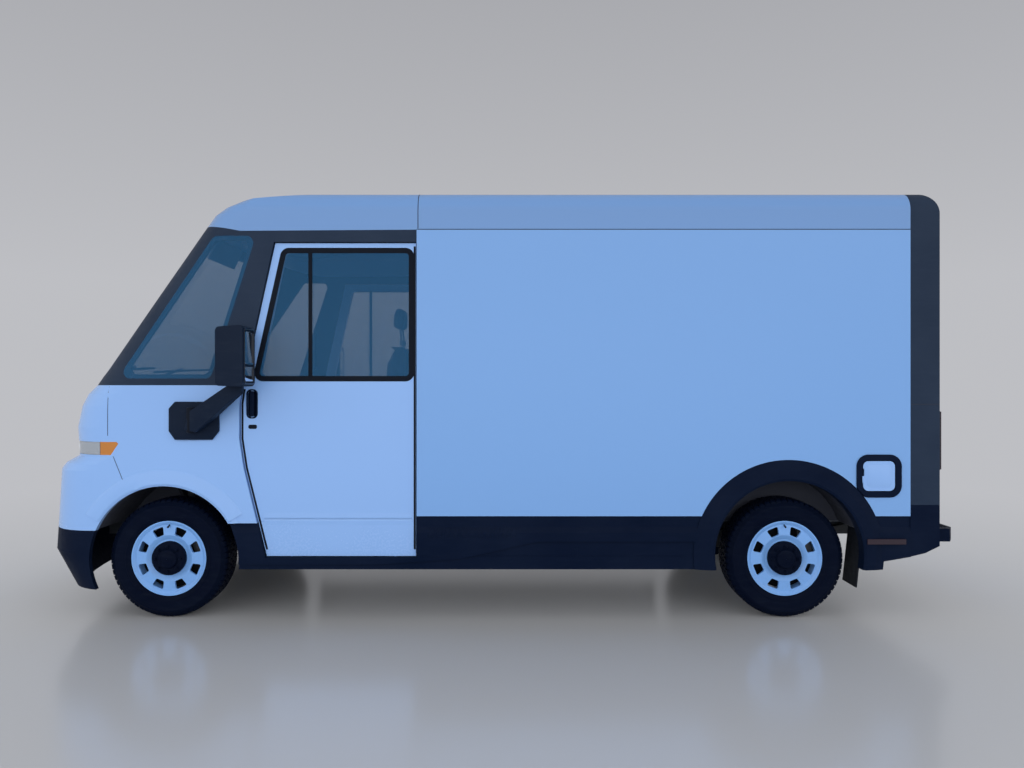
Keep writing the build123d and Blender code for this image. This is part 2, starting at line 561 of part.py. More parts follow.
# Sliding front doors: a panel with a window and two rollers under it, and glass with a division bar
WINDOW_OUTLINE = [(-1492, 1488), (-480, 1488), (-480, 2322), (-1306, 2322)]
WINDOW_HOLE = [(-1446, 1516), (-508, 1516), (-508, 2296), (-1284, 2296)]
DIVISION_X = -1128
ROLLER_RADIUS = 16
ROLLER_XS = (-1250, -600)
ROLLER_Z = DOOR_BOTTOM_Z - MOVING_GAP + RUNNING_GAP + ROLLER_RADIUS
for side, sign in SIDES:
    y_low, y_high = sorted((sign * DOOR_INNER_Y, sign * DOOR_OUTER_Y))
    rebate_low, rebate_high = sorted((sign * (DOOR_OUTER_Y - GLASS), sign * DOOR_OUTER_Y))
    crease_low, crease_high = sorted((sign * (DOOR_OUTER_Y - 3), sign * DOOR_OUTER_Y))
    grip_low, grip_high = sorted((sign * (DOOR_OUTER_Y - 24), sign * DOOR_OUTER_Y))
    roller_low, roller_high = sorted((sign * (DOOR_INNER_Y + 8), sign * (DOOR_OUTER_Y - 16)))
    with BuildPart() as door:
        add(side_prism(DOOR_FRONT_EDGE + [(DOOR_REAR_X, DOOR_BOTTOM_Z), (DOOR_REAR_X, DOOR_TOP_Z)], y_low, y_high))
        add(rounded_side_prism(WINDOW_OUTLINE, rebate_low, rebate_high, 55), mode=Mode.SUBTRACT)
        add(rounded_side_prism(WINDOW_HOLE, y_low, y_high, 40), mode=Mode.SUBTRACT)
        add(block(-1500, DOOR_REAR_X, crease_low, crease_high, 612, 618), mode=Mode.SUBTRACT)
        add(round_panel(-1492, 1348, 62, 172, 28, grip_low, grip_high), mode=Mode.SUBTRACT)
        add(block(-1500, -1484, grip_low, grip_high, 1262, 1434))
        for x in ROLLER_XS:
            add(drum(x, ROLLER_Z, ROLLER_RADIUS, roller_low, roller_high))
    save(door, f"side_door_{side}")
    with BuildPart() as door_glass:
        add(rounded_side_prism(WINDOW_OUTLINE, rebate_low, rebate_high, 55))
        bar_low, bar_high = sorted((sign * (DOOR_OUTER_Y - GLASS - 12), sign * (DOOR_OUTER_Y - GLASS)))
        add(block(DIVISION_X - 16, DIVISION_X + 16, bar_low, bar_high, WINDOW_HOLE[0][1], WINDOW_HOLE[2][1]))
    save(door_glass, f"side_door_glass_{side}")


# Chassis: two rails and crossmembers, with the battery under them
RAIL_FRONT_X, RAIL_REAR_X = -2660, 2700
CROSSMEMBER_XS = (-2600, -1420, -900, 0, 900, 1330, 2330, 2640)
LIFT_PAD_X, LIFT_PAD_DEPTH = 1350, 10
with BuildPart() as chassis_rails:
    for sign in (-1, 1):
        rail_low, rail_high = sorted((sign * (RAIL_Y - RAIL_WIDTH / 2), sign * (RAIL_Y + RAIL_WIDTH / 2)))
        add(block(RAIL_FRONT_X, RAIL_REAR_X, rail_low, rail_high, RAIL_TOP_Z - RAIL_HEIGHT, RAIL_TOP_Z))
save(chassis_rails, "chassis_rails")

with BuildPart() as crossmembers:
    for x in CROSSMEMBER_XS:
        add(block(x, x + 60, -RAIL_Y + RAIL_WIDTH / 2, RAIL_Y - RAIL_WIDTH / 2, RAIL_TOP_Z - 95, RAIL_TOP_Z - 20))
save(crossmembers, "crossmembers")

with BuildPart() as lift_pads:
    for sign in (-1, 1):
        rail_low, rail_high = sorted((sign * (RAIL_Y - RAIL_WIDTH / 2), sign * (RAIL_Y + RAIL_WIDTH / 2)))
        add(block(LIFT_PAD_X - 60, LIFT_PAD_X + 60, rail_low, rail_high, RAIL_TOP_Z - RAIL_HEIGHT - LIFT_PAD_DEPTH,
                  RAIL_TOP_Z - RAIL_HEIGHT))
save(lift_pads, "lift_pads")

with BuildPart() as battery_pack:
    with BuildSketch(Plane.XY.offset(BATTERY_BOTTOM_Z)):
        with Locations(((BATTERY_FRONT_X + BATTERY_REAR_X) / 2, 0)):
            RectangleRounded(BATTERY_REAR_X - BATTERY_FRONT_X, 2 * BATTERY_HALF_WIDTH, 90)
    extrude(amount=RAIL_TOP_Z - RAIL_HEIGHT - BATTERY_BOTTOM_Z)
    chamfer(battery_pack.faces().sort_by(Axis.Z)[0].edges(), 22)
save(battery_pack, "battery_pack")

# Cab floor with its step wells, wheel housings and the wall in front of the feet
FRONT_HOUSING_INNER_Y = 556
STEP_WELL_FRONT_X, STEP_WELL_REAR_X = -1390, -560
STEP_WELL_INNER_Y, STEP_WELL_Z = 780, 432
FLOOR_EDGE_Y = DOOR_INNER_Y - 6


def wheel_housing(x, z, inner_y, outer_y, sign):
    """A half-round wheel housing, open towards the outside and below."""
    y_low, y_high = sorted((sign * inner_y, sign * outer_y))
    cut_low, cut_high = sorted((sign * (inner_y + HOUSING_WALL), sign * (outer_y + 1)))
    with BuildPart() as housing:
        add(drum(x, z, HOUSING_RADIUS + HOUSING_WALL, y_low, y_high))
        add(drum(x, z, HOUSING_RADIUS, cut_low, cut_high), mode=Mode.SUBTRACT)
        add(block(x - 600, x + 600, y_low - 1, y_high + 1, z - 600, CAB_FLOOR_Z - FLOOR_THICKNESS),
            mode=Mode.SUBTRACT)
    return housing.part


with BuildPart() as cab_floor:
    add(block(-1545, BULKHEAD_X, -FLOOR_EDGE_Y, FLOOR_EDGE_Y, CAB_FLOOR_Z - FLOOR_THICKNESS, CAB_FLOOR_Z))
    add(block(-2560, -1545, -FRONT_HOUSING_INNER_Y - HOUSING_WALL, FRONT_HOUSING_INNER_Y + HOUSING_WALL,
              CAB_FLOOR_Z - FLOOR_THICKNESS, CAB_FLOOR_Z))
    add(block(-2560, -2520, -FRONT_HOUSING_INNER_Y, FRONT_HOUSING_INNER_Y, CAB_FLOOR_Z, 1160))
    for side, sign in SIDES:
        well_low, well_high = sorted((sign * (STEP_WELL_INNER_Y - 8), sign * FLOOR_EDGE_Y))
        hole_low, hole_high = sorted((sign * STEP_WELL_INNER_Y, sign * 1200))
        add(wheel_housing(FRONT_AXLE_X, AXLE_Z, FRONT_HOUSING_INNER_Y, HALF_WIDTH - CAB_WALL - 1, sign))
        add(block(STEP_WELL_FRONT_X - 8, STEP_WELL_REAR_X + 8, well_low, well_high, STEP_WELL_Z - 8, CAB_FLOOR_Z - 1))
        add(block(STEP_WELL_FRONT_X, STEP_WELL_REAR_X, hole_low, hole_high, STEP_WELL_Z, 700), mode=Mode.SUBTRACT)
    add(cab_inner, mode=Mode.INTERSECT)
save(cab_floor, "cab_floor")

# Load floor on cross bearers, with boxes over the rear wheels
BULKHEAD_THICKNESS = 28
REAR_HOUSING_INNER_Y = 716
BEARER_XS = (-300, 200, 700, 1200, 1850, 2450)
with BuildPart() as cargo_floor:
    add(block(BULKHEAD_X + BULKHEAD_THICKNESS, CARGO_REAR_X - CARGO_WALL - 1, -POCKET_INNER_Y + POCKET_SKIN,
              POCKET_INNER_Y - POCKET_SKIN, CARGO_FLOOR_Z - FLOOR_THICKNESS, CARGO_FLOOR_Z))
    add(block(POCKET_REAR_X + 20, CARGO_REAR_X - CARGO_WALL - 1, -HALF_WIDTH + CARGO_WALL, HALF_WIDTH - CARGO_WALL,
              CARGO_FLOOR_Z - FLOOR_THICKNESS, CARGO_FLOOR_Z))
    for x in BEARER_XS:
        add(block(x, x + 70, -700, 700, RAIL_TOP_Z, CARGO_FLOOR_Z - FLOOR_THICKNESS))
    for side, sign in SIDES:
        add(wheel_housing(REAR_AXLE_X, REAR_ARCH_Z, REAR_HOUSING_INNER_Y, SILL_INNER_Y, sign))
        hole_low, hole_high = sorted((sign * (REAR_HOUSING_INNER_Y + HOUSING_WALL), sign * SILL_INNER_Y))
        flare_low, flare_high = sorted((sign * SILL_INNER_Y, sign * HALF_WIDTH))
        add(drum(REAR_AXLE_X, REAR_ARCH_Z, HOUSING_RADIUS, hole_low, hole_high), mode=Mode.SUBTRACT)
        add(drum(REAR_AXLE_X, REAR_ARCH_Z, REAR_FLARE_RADIUS, flare_low, flare_high), mode=Mode.SUBTRACT)
save(cargo_floor, "cargo_floor")

# Wall between cab and load space, with a doorway and its sliding door behind
DOORWAY_LOW_Y, DOORWAY_HIGH_Y = -330, 330
DOORWAY_TOP_Z = 2360
PASS_DOOR_THICKNESS = 30
PASS_DOOR_LAP = 25
with BuildPart() as bulkhead:
    add(body_section(CARGO_WALL, BULKHEAD_X, BULKHEAD_X + BULKHEAD_THICKNESS))
    add(block(-500, 0, -1100, 1100, -10, CARGO_FLOOR_Z), mode=Mode.SUBTRACT)
    add(block(BULKHEAD_X, BULKHEAD_X + BULKHEAD_THICKNESS, -POCKET_INNER_Y + POCKET_SKIN,
              POCKET_INNER_Y - POCKET_SKIN, RAIL_TOP_Z, CARGO_FLOOR_Z))
    for sign in (-1, 1):
        cut_low, cut_high = sorted((sign * (POCKET_INNER_Y - POCKET_SKIN), sign * 1200))
        add(block(-500, 0, cut_low, cut_high, 0, DOOR_TOP_Z + 34), mode=Mode.SUBTRACT)
    add(block(-500, 0, DOORWAY_LOW_Y, DOORWAY_HIGH_Y, CARGO_FLOOR_Z, DOORWAY_TOP_Z), mode=Mode.SUBTRACT)
    add(block(BULKHEAD_X + BULKHEAD_THICKNESS, BULKHEAD_X + BULKHEAD_THICKNESS + 46, -360, 900, 2400, 2430))
save(bulkhead, "bulkhead")

PASS_DOOR_X = BULKHEAD_X + BULKHEAD_THICKNESS + MOVING_GAP
with BuildPart() as bulkhead_door:
    add(block(PASS_DOOR_X, PASS_DOOR_X + PASS_DOOR_THICKNESS, DOORWAY_LOW_Y - PASS_DOOR_LAP,
              DOORWAY_HIGH_Y + PASS_DOOR_LAP, CARGO_FLOOR_Z + MOVING_GAP, 2400 - RUNNING_GAP))
    add(block(PASS_DOOR_X - 1, PASS_DOOR_X + PASS_DOOR_THICKNESS + 1, -150, 150, 1500, 2150), mode=Mode.SUBTRACT)
    add(block(PASS_DOOR_X + 10, PASS_DOOR_X + 18, -165, 165, 1485, 2165))
save(bulkhead_door, "bulkhead_door")

# Front suspension: subframe, lower arms with ball pins, struts
ARM_Z, ARM_THICKNESS = 270, 36
BALL_PIN_RADIUS = 12
with BuildPart() as front_suspension:
    add(block(FRONT_AXLE_X - 90, FRONT_AXLE_X + 120, -440, 440, 306, 420))
    for sign in (-1, 1):
        seat_low, seat_high = sorted((sign * 380, sign * (RAIL_Y + RAIL_WIDTH / 2)))
        add(block(FRONT_AXLE_X - 60, FRONT_AXLE_X + 60, seat_low, seat_high, 400, RAIL_TOP_Z - RAIL_HEIGHT))
        with BuildSketch(Plane.XY.offset(ARM_Z)):
            with BuildLine():
                Polyline((FRONT_AXLE_X - 150, sign * 380), (FRONT_AXLE_X + 150, sign * 380),
                         (FRONT_AXLE_X + 26, sign * (KINGPIN_Y + 16)), (FRONT_AXLE_X - 26, sign * (KINGPIN_Y + 16)),
                         close=True)
            make_face()
        extrude(amount=ARM_THICKNESS)
        add(pin(FRONT_AXLE_X, sign * KINGPIN_Y, BALL_PIN_RADIUS, ARM_Z, ARM_Z + ARM_THICKNESS + 34))
        add(pin(FRONT_AXLE_X, sign * 640, 40, ARM_Z + ARM_THICKNESS - 2, 620))
        add(pin(FRONT_AXLE_X, sign * 640, 24, 600, AXLE_Z + HOUSING_RADIUS - 1))
save(front_suspension, "front_suspension")

# Steered knuckles with the spindles that carry the front wheels
KNUCKLE_BOTTOM_Z = ARM_Z + ARM_THICKNESS + RUNNING_GAP
SPINDLE_END_Y = TYRE_OUTER_Y - 18
for side, sign in SIDES:
    y_low, y_high = sorted((sign * (KINGPIN_Y - 30), sign * (KINGPIN_Y + 34)))
    spindle_low, spindle_high = sorted((sign * (KINGPIN_Y - 20), sign * SPINDLE_END_Y))
    flange_low, flange_high = sorted((sign * (KINGPIN_Y + 30), sign * (KINGPIN_Y + 46)))
    with BuildPart() as knuckle:
        add(block(FRONT_AXLE_X - 34, FRONT_AXLE_X + 34, y_low, y_high, KNUCKLE_BOTTOM_Z, AXLE_Z + 120))
        fillet(knuckle.edges().filter_by(Axis.Y), 14)
        add(drum(FRONT_AXLE_X, AXLE_Z, 62, flange_low, flange_high))
        add(drum(FRONT_AXLE_X, AXLE_Z, SPINDLE_RADIUS, spindle_low, spindle_high))
        add(pin(FRONT_AXLE_X, sign * KINGPIN_Y, BALL_PIN_RADIUS + RUNNING_GAP, KNUCKLE_BOTTOM_Z - 1,
                KNUCKLE_BOTTOM_Z + 36), mode=Mode.SUBTRACT)
    save(knuckle, f"knuckle_{side}")

# Rear axle: beam, drive unit, spindles, and leaf springs under the rails
SPRING_Y = 560
SPRING_HALF_LENGTH = 600
with BuildPart() as rear_axle:
    add(drum(REAR_AXLE_X, AXLE_Z, 46, -(KINGPIN_Y - 10), KINGPIN_Y - 10))
    add(drum(REAR_AXLE_X, AXLE_Z, 62, -(KINGPIN_Y + 46), -(KINGPIN_Y - 12)))
    add(drum(REAR_AXLE_X, AXLE_Z, 62, KINGPIN_Y - 12, KINGPIN_Y + 46))
    add(drum(REAR_AXLE_X, AXLE_Z, SPINDLE_RADIUS, -SPINDLE_END_Y, SPINDLE_END_Y))
    add(drum(REAR_AXLE_X, AXLE_Z, 118, -150, 150))
    add(drum(REAR_AXLE_X - 190, AXLE_Z + 10, 108, -190, 120))
    add(block(REAR_AXLE_X - 190, REAR_AXLE_X, -110, 110, AXLE_Z - 80, AXLE_Z + 96))
    for sign in (-1, 1):
        leaf_low, leaf_high = sorted((sign * (SPRING_Y - 32), sign * (SPRING_Y + 32)))
        with BuildSketch(Plane.XZ.offset(-leaf_low)):
            with BuildLine():
                ThreePointArc((REAR_AXLE_X - SPRING_HALF_LENGTH, 505), (REAR_AXLE_X, AXLE_Z + 46),
                              (REAR_AXLE_X + SPRING_HALF_LENGTH, 505))
                Line((REAR_AXLE_X + SPRING_HALF_LENGTH, 505), (REAR_AXLE_X + SPRING_HALF_LENGTH, 529))
                ThreePointArc((REAR_AXLE_X + SPRING_HALF_LENGTH, 529), (REAR_AXLE_X, AXLE_Z + 84),
                              (REAR_AXLE_X - SPRING_HALF_LENGTH, 529))
                Line((REAR_AXLE_X - SPRING_HALF_LENGTH, 529), (REAR_AXLE_X - SPRING_HALF_LENGTH, 505))
            make_face()
        extrude(amount=leaf_low - leaf_high)
        add(block(REAR_AXLE_X - 60, REAR_AXLE_X + 60, leaf_low, leaf_high, AXLE_Z, AXLE_Z + 60))
        hanger_low, hanger_high = sorted((sign * (RAIL_Y + RAIL_WIDTH / 2), sign * (SPRING_Y + 32)))
        for x in (REAR_AXLE_X - SPRING_HALF_LENGTH - 20, REAR_AXLE_X + SPRING_HALF_LENGTH - 30):
            add(block(x, x + 50, hanger_low, hanger_high, 498, 545))
save(rear_axle, "rear_axle")

# Wheels: pressed rims with eight windows and a bolted hub cap, and tyres
HUB_RADIUS = 82
HUB_CAP_RADIUS = 104
BARREL_WALL = 10
DISC_INNER_OFFSET = 62
WINDOW_COUNT = 8
WINDOW_PITCH = 174
WHEELS = [("front_left", FRONT_AXLE_X, -1), ("front_right", FRONT_AXLE_X, 1),
          ("rear_left", REAR_AXLE_X, -1), ("rear_right", REAR_AXLE_X, 1)]


# Tyre in flat facets: sections of its outside and of the hole that the rim fills, as radius and distance from the
# centreline
TYRE_FACETS = 52
TYRE_INNER_Y = TYRE_OUTER_Y - TYRE_WIDTH
RIM_INNER_Y = TYRE_INNER_Y + 22
RIM_OUTER_Y = TYRE_OUTER_Y - 14
TYRE_SECTIONS = [(330, TYRE_INNER_Y), (360, TYRE_INNER_Y + 14), (TYRE_RADIUS, TYRE_INNER_Y + 34),
                 (TYRE_RADIUS, TYRE_OUTER_Y - 34), (360, TYRE_OUTER_Y - 14), (330, TYRE_OUTER_Y)]
BEAD_SECTIONS = [(290, TYRE_INNER_Y), (RIM_FLANGE_RADIUS + 4, RIM_INNER_Y - 2), (RIM_FLANGE_RADIUS, RIM_INNER_Y + 6),
                 (BEAD_RADIUS - 6, RIM_INNER_Y + 12), (BEAD_RADIUS - 6, RIM_OUTER_Y - 14),
                 (RIM_FLANGE_RADIUS, RIM_OUTER_Y - 6), (RIM_FLANGE_RADIUS + 4, RIM_OUTER_Y + 2), (290, TYRE_OUTER_Y)]


def faceted_drum(x, sign, sections, share):
    """A drum of flat facets about the axle line, through sections of (radius, distance from the centreline)."""
    with BuildPart() as body:
        for radius, y in sections:
            with BuildSketch(Plane(origin=(x, sign * y, AXLE_Z), x_dir=(0, 0, -1), z_dir=(0, 1, 0))):
                RegularPolygon(radius * share, TYRE_FACETS)
        loft(ruled=True)
    return body.part


def wheel_profile(x, sign, points):
    """A ring about the axle line, from a profile of (radius, distance from the centreline)."""
    return arch_ring(x, AXLE_Z, points, sign)


for place, x, sign in WHEELS:
    disc_y = TYRE_OUTER_Y - 40
    bore = SPINDLE_RADIUS + RUNNING_GAP
    with BuildPart() as rim:
        add(wheel_profile(x, sign, [
            (RIM_FLANGE_RADIUS, RIM_INNER_Y), (RIM_FLANGE_RADIUS, RIM_INNER_Y + 6), (BEAD_RADIUS - 6, RIM_INNER_Y + 12),
            (BEAD_RADIUS - 6, RIM_OUTER_Y - 14), (RIM_FLANGE_RADIUS, RIM_OUTER_Y - 6), (RIM_FLANGE_RADIUS, RIM_OUTER_Y),
            (RIM_FLANGE_RADIUS - 8, RIM_OUTER_Y), (BEAD_RADIUS - 12, RIM_OUTER_Y - 12), (145, RIM_OUTER_Y - 6),
            (118, RIM_OUTER_Y - 20), (bore, RIM_OUTER_Y - 20), (bore, disc_y - DISC_INNER_OFFSET),
            (HUB_RADIUS, disc_y - DISC_INNER_OFFSET), (HUB_RADIUS, disc_y - 14), (150, disc_y + 2),
            (BEAD_RADIUS - 6 - BARREL_WALL, disc_y + 2), (BEAD_RADIUS - 6 - BARREL_WALL, RIM_INNER_Y)]))
        cut_low, cut_high = sorted((sign * (disc_y - 30), sign * (TYRE_OUTER_Y + 10)))
        with BuildSketch(Plane(origin=(x, cut_low, AXLE_Z), x_dir=(1, 0, 0), z_dir=(0, 1, 0))) as windows:
            with PolarLocations(WINDOW_PITCH, WINDOW_COUNT, start_angle=22.5):
                Trapezoid(76, 52, 76, rotation=90, align=(Align.CENTER, Align.CENTER))
            fillet(windows.vertices(), 10)
        extrude(amount=cut_high - cut_low, mode=Mode.SUBTRACT)
        add(wheel_profile(x, sign, [
            (0, RIM_OUTER_Y - 21), (HUB_CAP_RADIUS, RIM_OUTER_Y - 21), (HUB_CAP_RADIUS, RIM_OUTER_Y + 4),
            (HUB_CAP_RADIUS - 14, RIM_OUTER_Y + 12), (62, RIM_OUTER_Y + 14), (54, RIM_OUTER_Y + 26),
            (0, RIM_OUTER_Y + 26)]))
        end_low, end_high = sorted((sign * (disc_y - DISC_INNER_OFFSET - 1), sign * (SPINDLE_END_Y + RUNNING_GAP)))
        add(drum(x, AXLE_Z, bore, end_low, end_high), mode=Mode.SUBTRACT)
    save(rim, f"rim_{place}")
    with BuildPart() as tyre:
        add(faceted_drum(x, sign, TYRE_SECTIONS, 1))
        add(faceted_drum(x, sign, BEAD_SECTIONS, 1 / cos(radians(180 / TYRE_FACETS))), mode=Mode.SUBTRACT)
    save(tyre, f"tyre_{place}")

# Dashboard with the steering column, and the steering wheel on its shaft
SEAT_Y = 480
STEERING_X, STEERING_Z = -1380, 1350
COLUMN_ANGLE = 30
STEERING_RADIUS, STEERING_TUBE = 190, 15
COLUMN_RADIUS = 44
SHAFT_RADIUS = 16
DASH_OUTLINE = [(-2520, 1000), (-2520, 1400), (-2300, 1446), (-1950, 1430), (-1800, 1370), (-1780, 1250),
                (-1850, 1010), (-2100, 960), (-2440, 960)]
wheel_plane = Plane(origin=(STEERING_X, -SEAT_Y, STEERING_Z), x_dir=(0, 1, 0),
                    z_dir=(cos(radians(COLUMN_ANGLE)), 0, sin(radians(COLUMN_ANGLE))))
with BuildPart() as dashboard:
    add(rounded_side_prism(DASH_OUTLINE, -1000, 1000, 24))
    add(cab_inner, mode=Mode.INTERSECT)
    for sign in (-1, 1):
        low, high = sorted((sign * 900, sign * 1100))
        add(block(-1860, -1500, low, high, 900, 1500), mode=Mode.SUBTRACT)
    with BuildSketch(wheel_plane.offset(-60)):
        Circle(COLUMN_RADIUS)
    extrude(amount=-500)
    with BuildSketch(wheel_plane.offset(-59)):
        Circle(SHAFT_RADIUS + RUNNING_GAP)
    extrude(amount=-91, mode=Mode.SUBTRACT)
save(dashboard, "dashboard")

with BuildPart() as steering_wheel:
    with BuildSketch(Plane(origin=wheel_plane.origin, x_dir=wheel_plane.x_dir, z_dir=wheel_plane.y_dir)):
        with Locations((STEERING_RADIUS, 0)):
            Circle(STEERING_TUBE)
    revolve(axis=Axis(wheel_plane.origin, wheel_plane.z_dir))
    with BuildSketch(wheel_plane.offset(-46)):
        RectangleRounded(130, 100, 30)
    extrude(amount=40)
    with BuildSketch(wheel_plane.offset(-26)):
        Rectangle(2 * STEERING_RADIUS, 34)
        with Locations((0, -STEERING_RADIUS / 2)):
            Rectangle(38, STEERING_RADIUS)
    extrude(amount=14)
    with BuildSketch(wheel_plane.offset(-40)):
        Circle(SHAFT_RADIUS)
    extrude(amount=-109)
save(steering_wheel, "steering_wheel")

# Two seats: bases, cushions, backs with head rests
SEAT_WIDTH = 460
SEAT_BASE_TOP_Z = 890
CUSHION_TOP_Z = 1052
BACK_OUTLINE = [(-756, SEAT_BASE_TOP_Z), (-640, SEAT_BASE_TOP_Z), (-560, 1500), (-560, 1760), (-650, 1775),
                (-690, 1700), (-742, 1200)]
HEAD_REST = [(-705, 1834), (-590, 1834), (-594, 2008), (-690, 2008)]
with BuildPart() as seat_bases:
    for sign in (-1, 1):
        low, high = sorted((sign * (SEAT_Y - 190), sign * (SEAT_Y + 190)))
        add(side_prism([(-1120, CAB_FLOOR_Z), (-680, CAB_FLOOR_Z), (-640, SEAT_BASE_TOP_Z),
                        (-1170, SEAT_BASE_TOP_Z)], low, high))
save(seat_bases, "seat_bases")

with BuildPart() as seat_cushions:
    for sign in (-1, 1):
        low, high = sorted((sign * (SEAT_Y - SEAT_WIDTH / 2), sign * (SEAT_Y + SEAT_WIDTH / 2)))
        add(block(-1220, -770, low, high, SEAT_BASE_TOP_Z, CUSHION_TOP_Z))
    fillet(seat_cushions.edges().filter_by(Axis.Z), 60)
    fillet(seat_cushions.faces().filter_by(Axis.Z).group_by(Axis.Z)[-1].edges(), 38)
save(seat_cushions, "seat_cushions")

with BuildPart() as seat_backs:
    for sign in (-1, 1):
        low, high = sorted((sign * (SEAT_Y - SEAT_WIDTH / 2), sign * (SEAT_Y + SEAT_WIDTH / 2)))
        rest_low, rest_high = sorted((sign * (SEAT_Y - 130), sign * (SEAT_Y + 130)))
        add(rounded_side_prism(BACK_OUTLINE, low, high, 24))
        add(rounded_side_prism(HEAD_REST, rest_low, rest_high, 28))
        for offset in (-60, 60):
            add(pin(-640, sign * SEAT_Y + offset, 8, 1740, 1850))
save(seat_backs, "seat_backs")

# Mirrors: a base plate on each wing, a rising arm and a tall head
MIRROR_BASE = [(-1998, 1180), (-1960, 1126), (-1730, 1126), (-1688, 1180), (-1688, 1362), (-1960, 1362),
               (-1998, 1320)]
MIRROR_ARM = [(-1880, 1190), (-1800, 1178), (-1486, 1420), (-1486, 1470), (-1560, 1470), (-1850, 1300)]
MIRROR_HEAD = [(-1598, 1462), (-1437, 1456), (-1437, 1818), (-1598, 1806)]
with BuildPart() as mirrors:
    for sign in (-1, 1):
        base_low, base_high = sorted((sign * HALF_WIDTH, sign * (HALF_WIDTH + 18)))
        arm_low, arm_high = sorted((sign * (HALF_WIDTH + 18), sign * (HALF_WIDTH + 200)))
        head_low, head_high = sorted((sign * (HALF_WIDTH + 96), sign * (HALF_WIDTH + 316)))
        add(side_prism(MIRROR_BASE, base_low, base_high))
        with BuildPart() as arm:
            add(side_prism(MIRROR_ARM, arm_low, arm_high))
            with BuildSketch(Plane.XY.offset(1100)):
                with BuildLine():
                    Polyline((-1900, sign * (HALF_WIDTH + 18)), (-1760, sign * (HALF_WIDTH + 18)),
                             (-1480, sign * (HALF_WIDTH + 150)), (-1480, sign * (HALF_WIDTH + 196)),
                             (-1560, sign * (HALF_WIDTH + 196)), (-1900, sign * (HALF_WIDTH + 60)), close=True)
                make_face()
            extrude(amount=500, mode=Mode.INTERSECT)
        add(arm.part)
        add(rounded_side_prism(MIRROR_HEAD, head_low, head_high, 26))
save(mirrors, "mirrors")

# Wipers: arm and blade cut from a thin layer that follows the windscreen
WIPER_PIVOTS = (-560, 160)
wiper_skin = cab_envelope(-24, CAB_REAR_X)
with BuildPart() as wiper_bosses:
    for y in WIPER_PIVOTS:
        add(Pos(-2650, y, 1488) * Rot(0, 90, 0) * Cylinder(14, 300, mode=Mode.PRIVATE))
    add(wiper_skin, mode=Mode.INTERSECT)
    add(cab_outer, mode=Mode.SUBTRACT)
with BuildPart() as wipers:
    add(wiper_skin)
    add(cab_envelope(-8, CAB_REAR_X + 60), mode=Mode.SUBTRACT)
    with BuildSketch(Plane.YZ.offset(-3100)):
        for y in WIPER_PIVOTS:
            with BuildLine():
                Polyline((y - 14, 1478), (y + 14, 1478), (y + 334, 1590), (y + 326, 1606), (y - 14, 1496), close=True)
            make_face()
            with BuildLine():
                Polyline((y - 20, 1556), (y + 660, 1586), (y + 660, 1602), (y - 20, 1572), close=True)
            make_face()
    extrude(amount=1100, mode=Mode.INTERSECT)
    add(wiper_bosses.part)
save(wipers, "wipers")

# Red lamps: one on each rear post and one on the end of each sill
with BuildPart() as rear_lamps:
    for sign in (-1, 1):
        lamp_low, lamp_high = sorted((sign * (HALF_WIDTH - 38), sign * (HALF_WIDTH - 8)))
        marker_low, marker_high = sorted((sign * SILL_NOSE_Y, sign * (HALF_WIDTH + 30)))
        add(block(CARGO_REAR_X, CARGO_REAR_X + 14, lamp_low, lamp_high, 940, 1300))
        add(block(2328, 2567, marker_low, marker_high, 480, 512))
    for sill_part in sills.values():
        add(sill_part, mode=Mode.SUBTRACT)
save(rear_lamps, "rear_lamps")

# Mud flaps behind the rear wheels
with BuildPart() as mudflaps:
    for sign in (-1, 1):
        low, high = sorted((sign * 790, sign * 990))
        add(side_prism([(2338, CARGO_FLOOR_Z - FLOOR_THICKNESS), (2346, CARGO_FLOOR_Z - FLOOR_THICKNESS), (2346, 560),
                        (2306, 188), (2298, 188), (2338, 560)], low, high))
save(mudflaps, "mudflaps")
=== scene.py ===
"""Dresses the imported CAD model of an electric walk-in delivery van and sets up its studio.

The CAD nodes are the frame. Each class below adds the looks of one sub-assembly: it models its pieces with Blender's
own operators and modifiers, gives them a finish, and lets them ride on the CAD body that carries them.
Frame, in metres: +X runs to the tail, +Y to the van's right side, +Z up. Z = 0 is the road.
"""

from __future__ import annotations

import json
import logging
import math
from dataclasses import dataclass, field
from enum import Enum
from typing import Sequence

import bmesh
import bpy
from mathutils import Matrix, Vector
from mathutils.bvhtree import BVHTree

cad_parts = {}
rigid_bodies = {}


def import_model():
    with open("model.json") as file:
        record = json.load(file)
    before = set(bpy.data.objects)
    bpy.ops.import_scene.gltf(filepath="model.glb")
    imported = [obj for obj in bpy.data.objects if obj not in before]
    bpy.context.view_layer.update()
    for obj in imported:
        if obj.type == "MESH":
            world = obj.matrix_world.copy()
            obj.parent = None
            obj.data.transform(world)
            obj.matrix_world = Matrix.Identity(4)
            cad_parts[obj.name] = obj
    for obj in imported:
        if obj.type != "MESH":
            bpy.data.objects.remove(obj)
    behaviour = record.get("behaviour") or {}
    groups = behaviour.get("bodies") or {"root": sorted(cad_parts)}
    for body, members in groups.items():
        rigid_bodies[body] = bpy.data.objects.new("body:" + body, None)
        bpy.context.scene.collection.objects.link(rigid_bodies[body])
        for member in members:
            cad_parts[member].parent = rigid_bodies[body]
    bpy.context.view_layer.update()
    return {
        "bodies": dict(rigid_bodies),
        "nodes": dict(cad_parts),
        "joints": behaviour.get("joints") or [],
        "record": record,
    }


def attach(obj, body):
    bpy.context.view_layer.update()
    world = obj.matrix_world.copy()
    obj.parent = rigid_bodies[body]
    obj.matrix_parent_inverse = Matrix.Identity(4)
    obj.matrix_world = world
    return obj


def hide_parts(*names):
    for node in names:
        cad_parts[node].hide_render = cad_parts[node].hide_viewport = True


LOG = logging.getLogger("delivery_van")

Point = tuple[float, float, float]
Flat = tuple[float, float]
Colour = tuple[float, float, float, float]

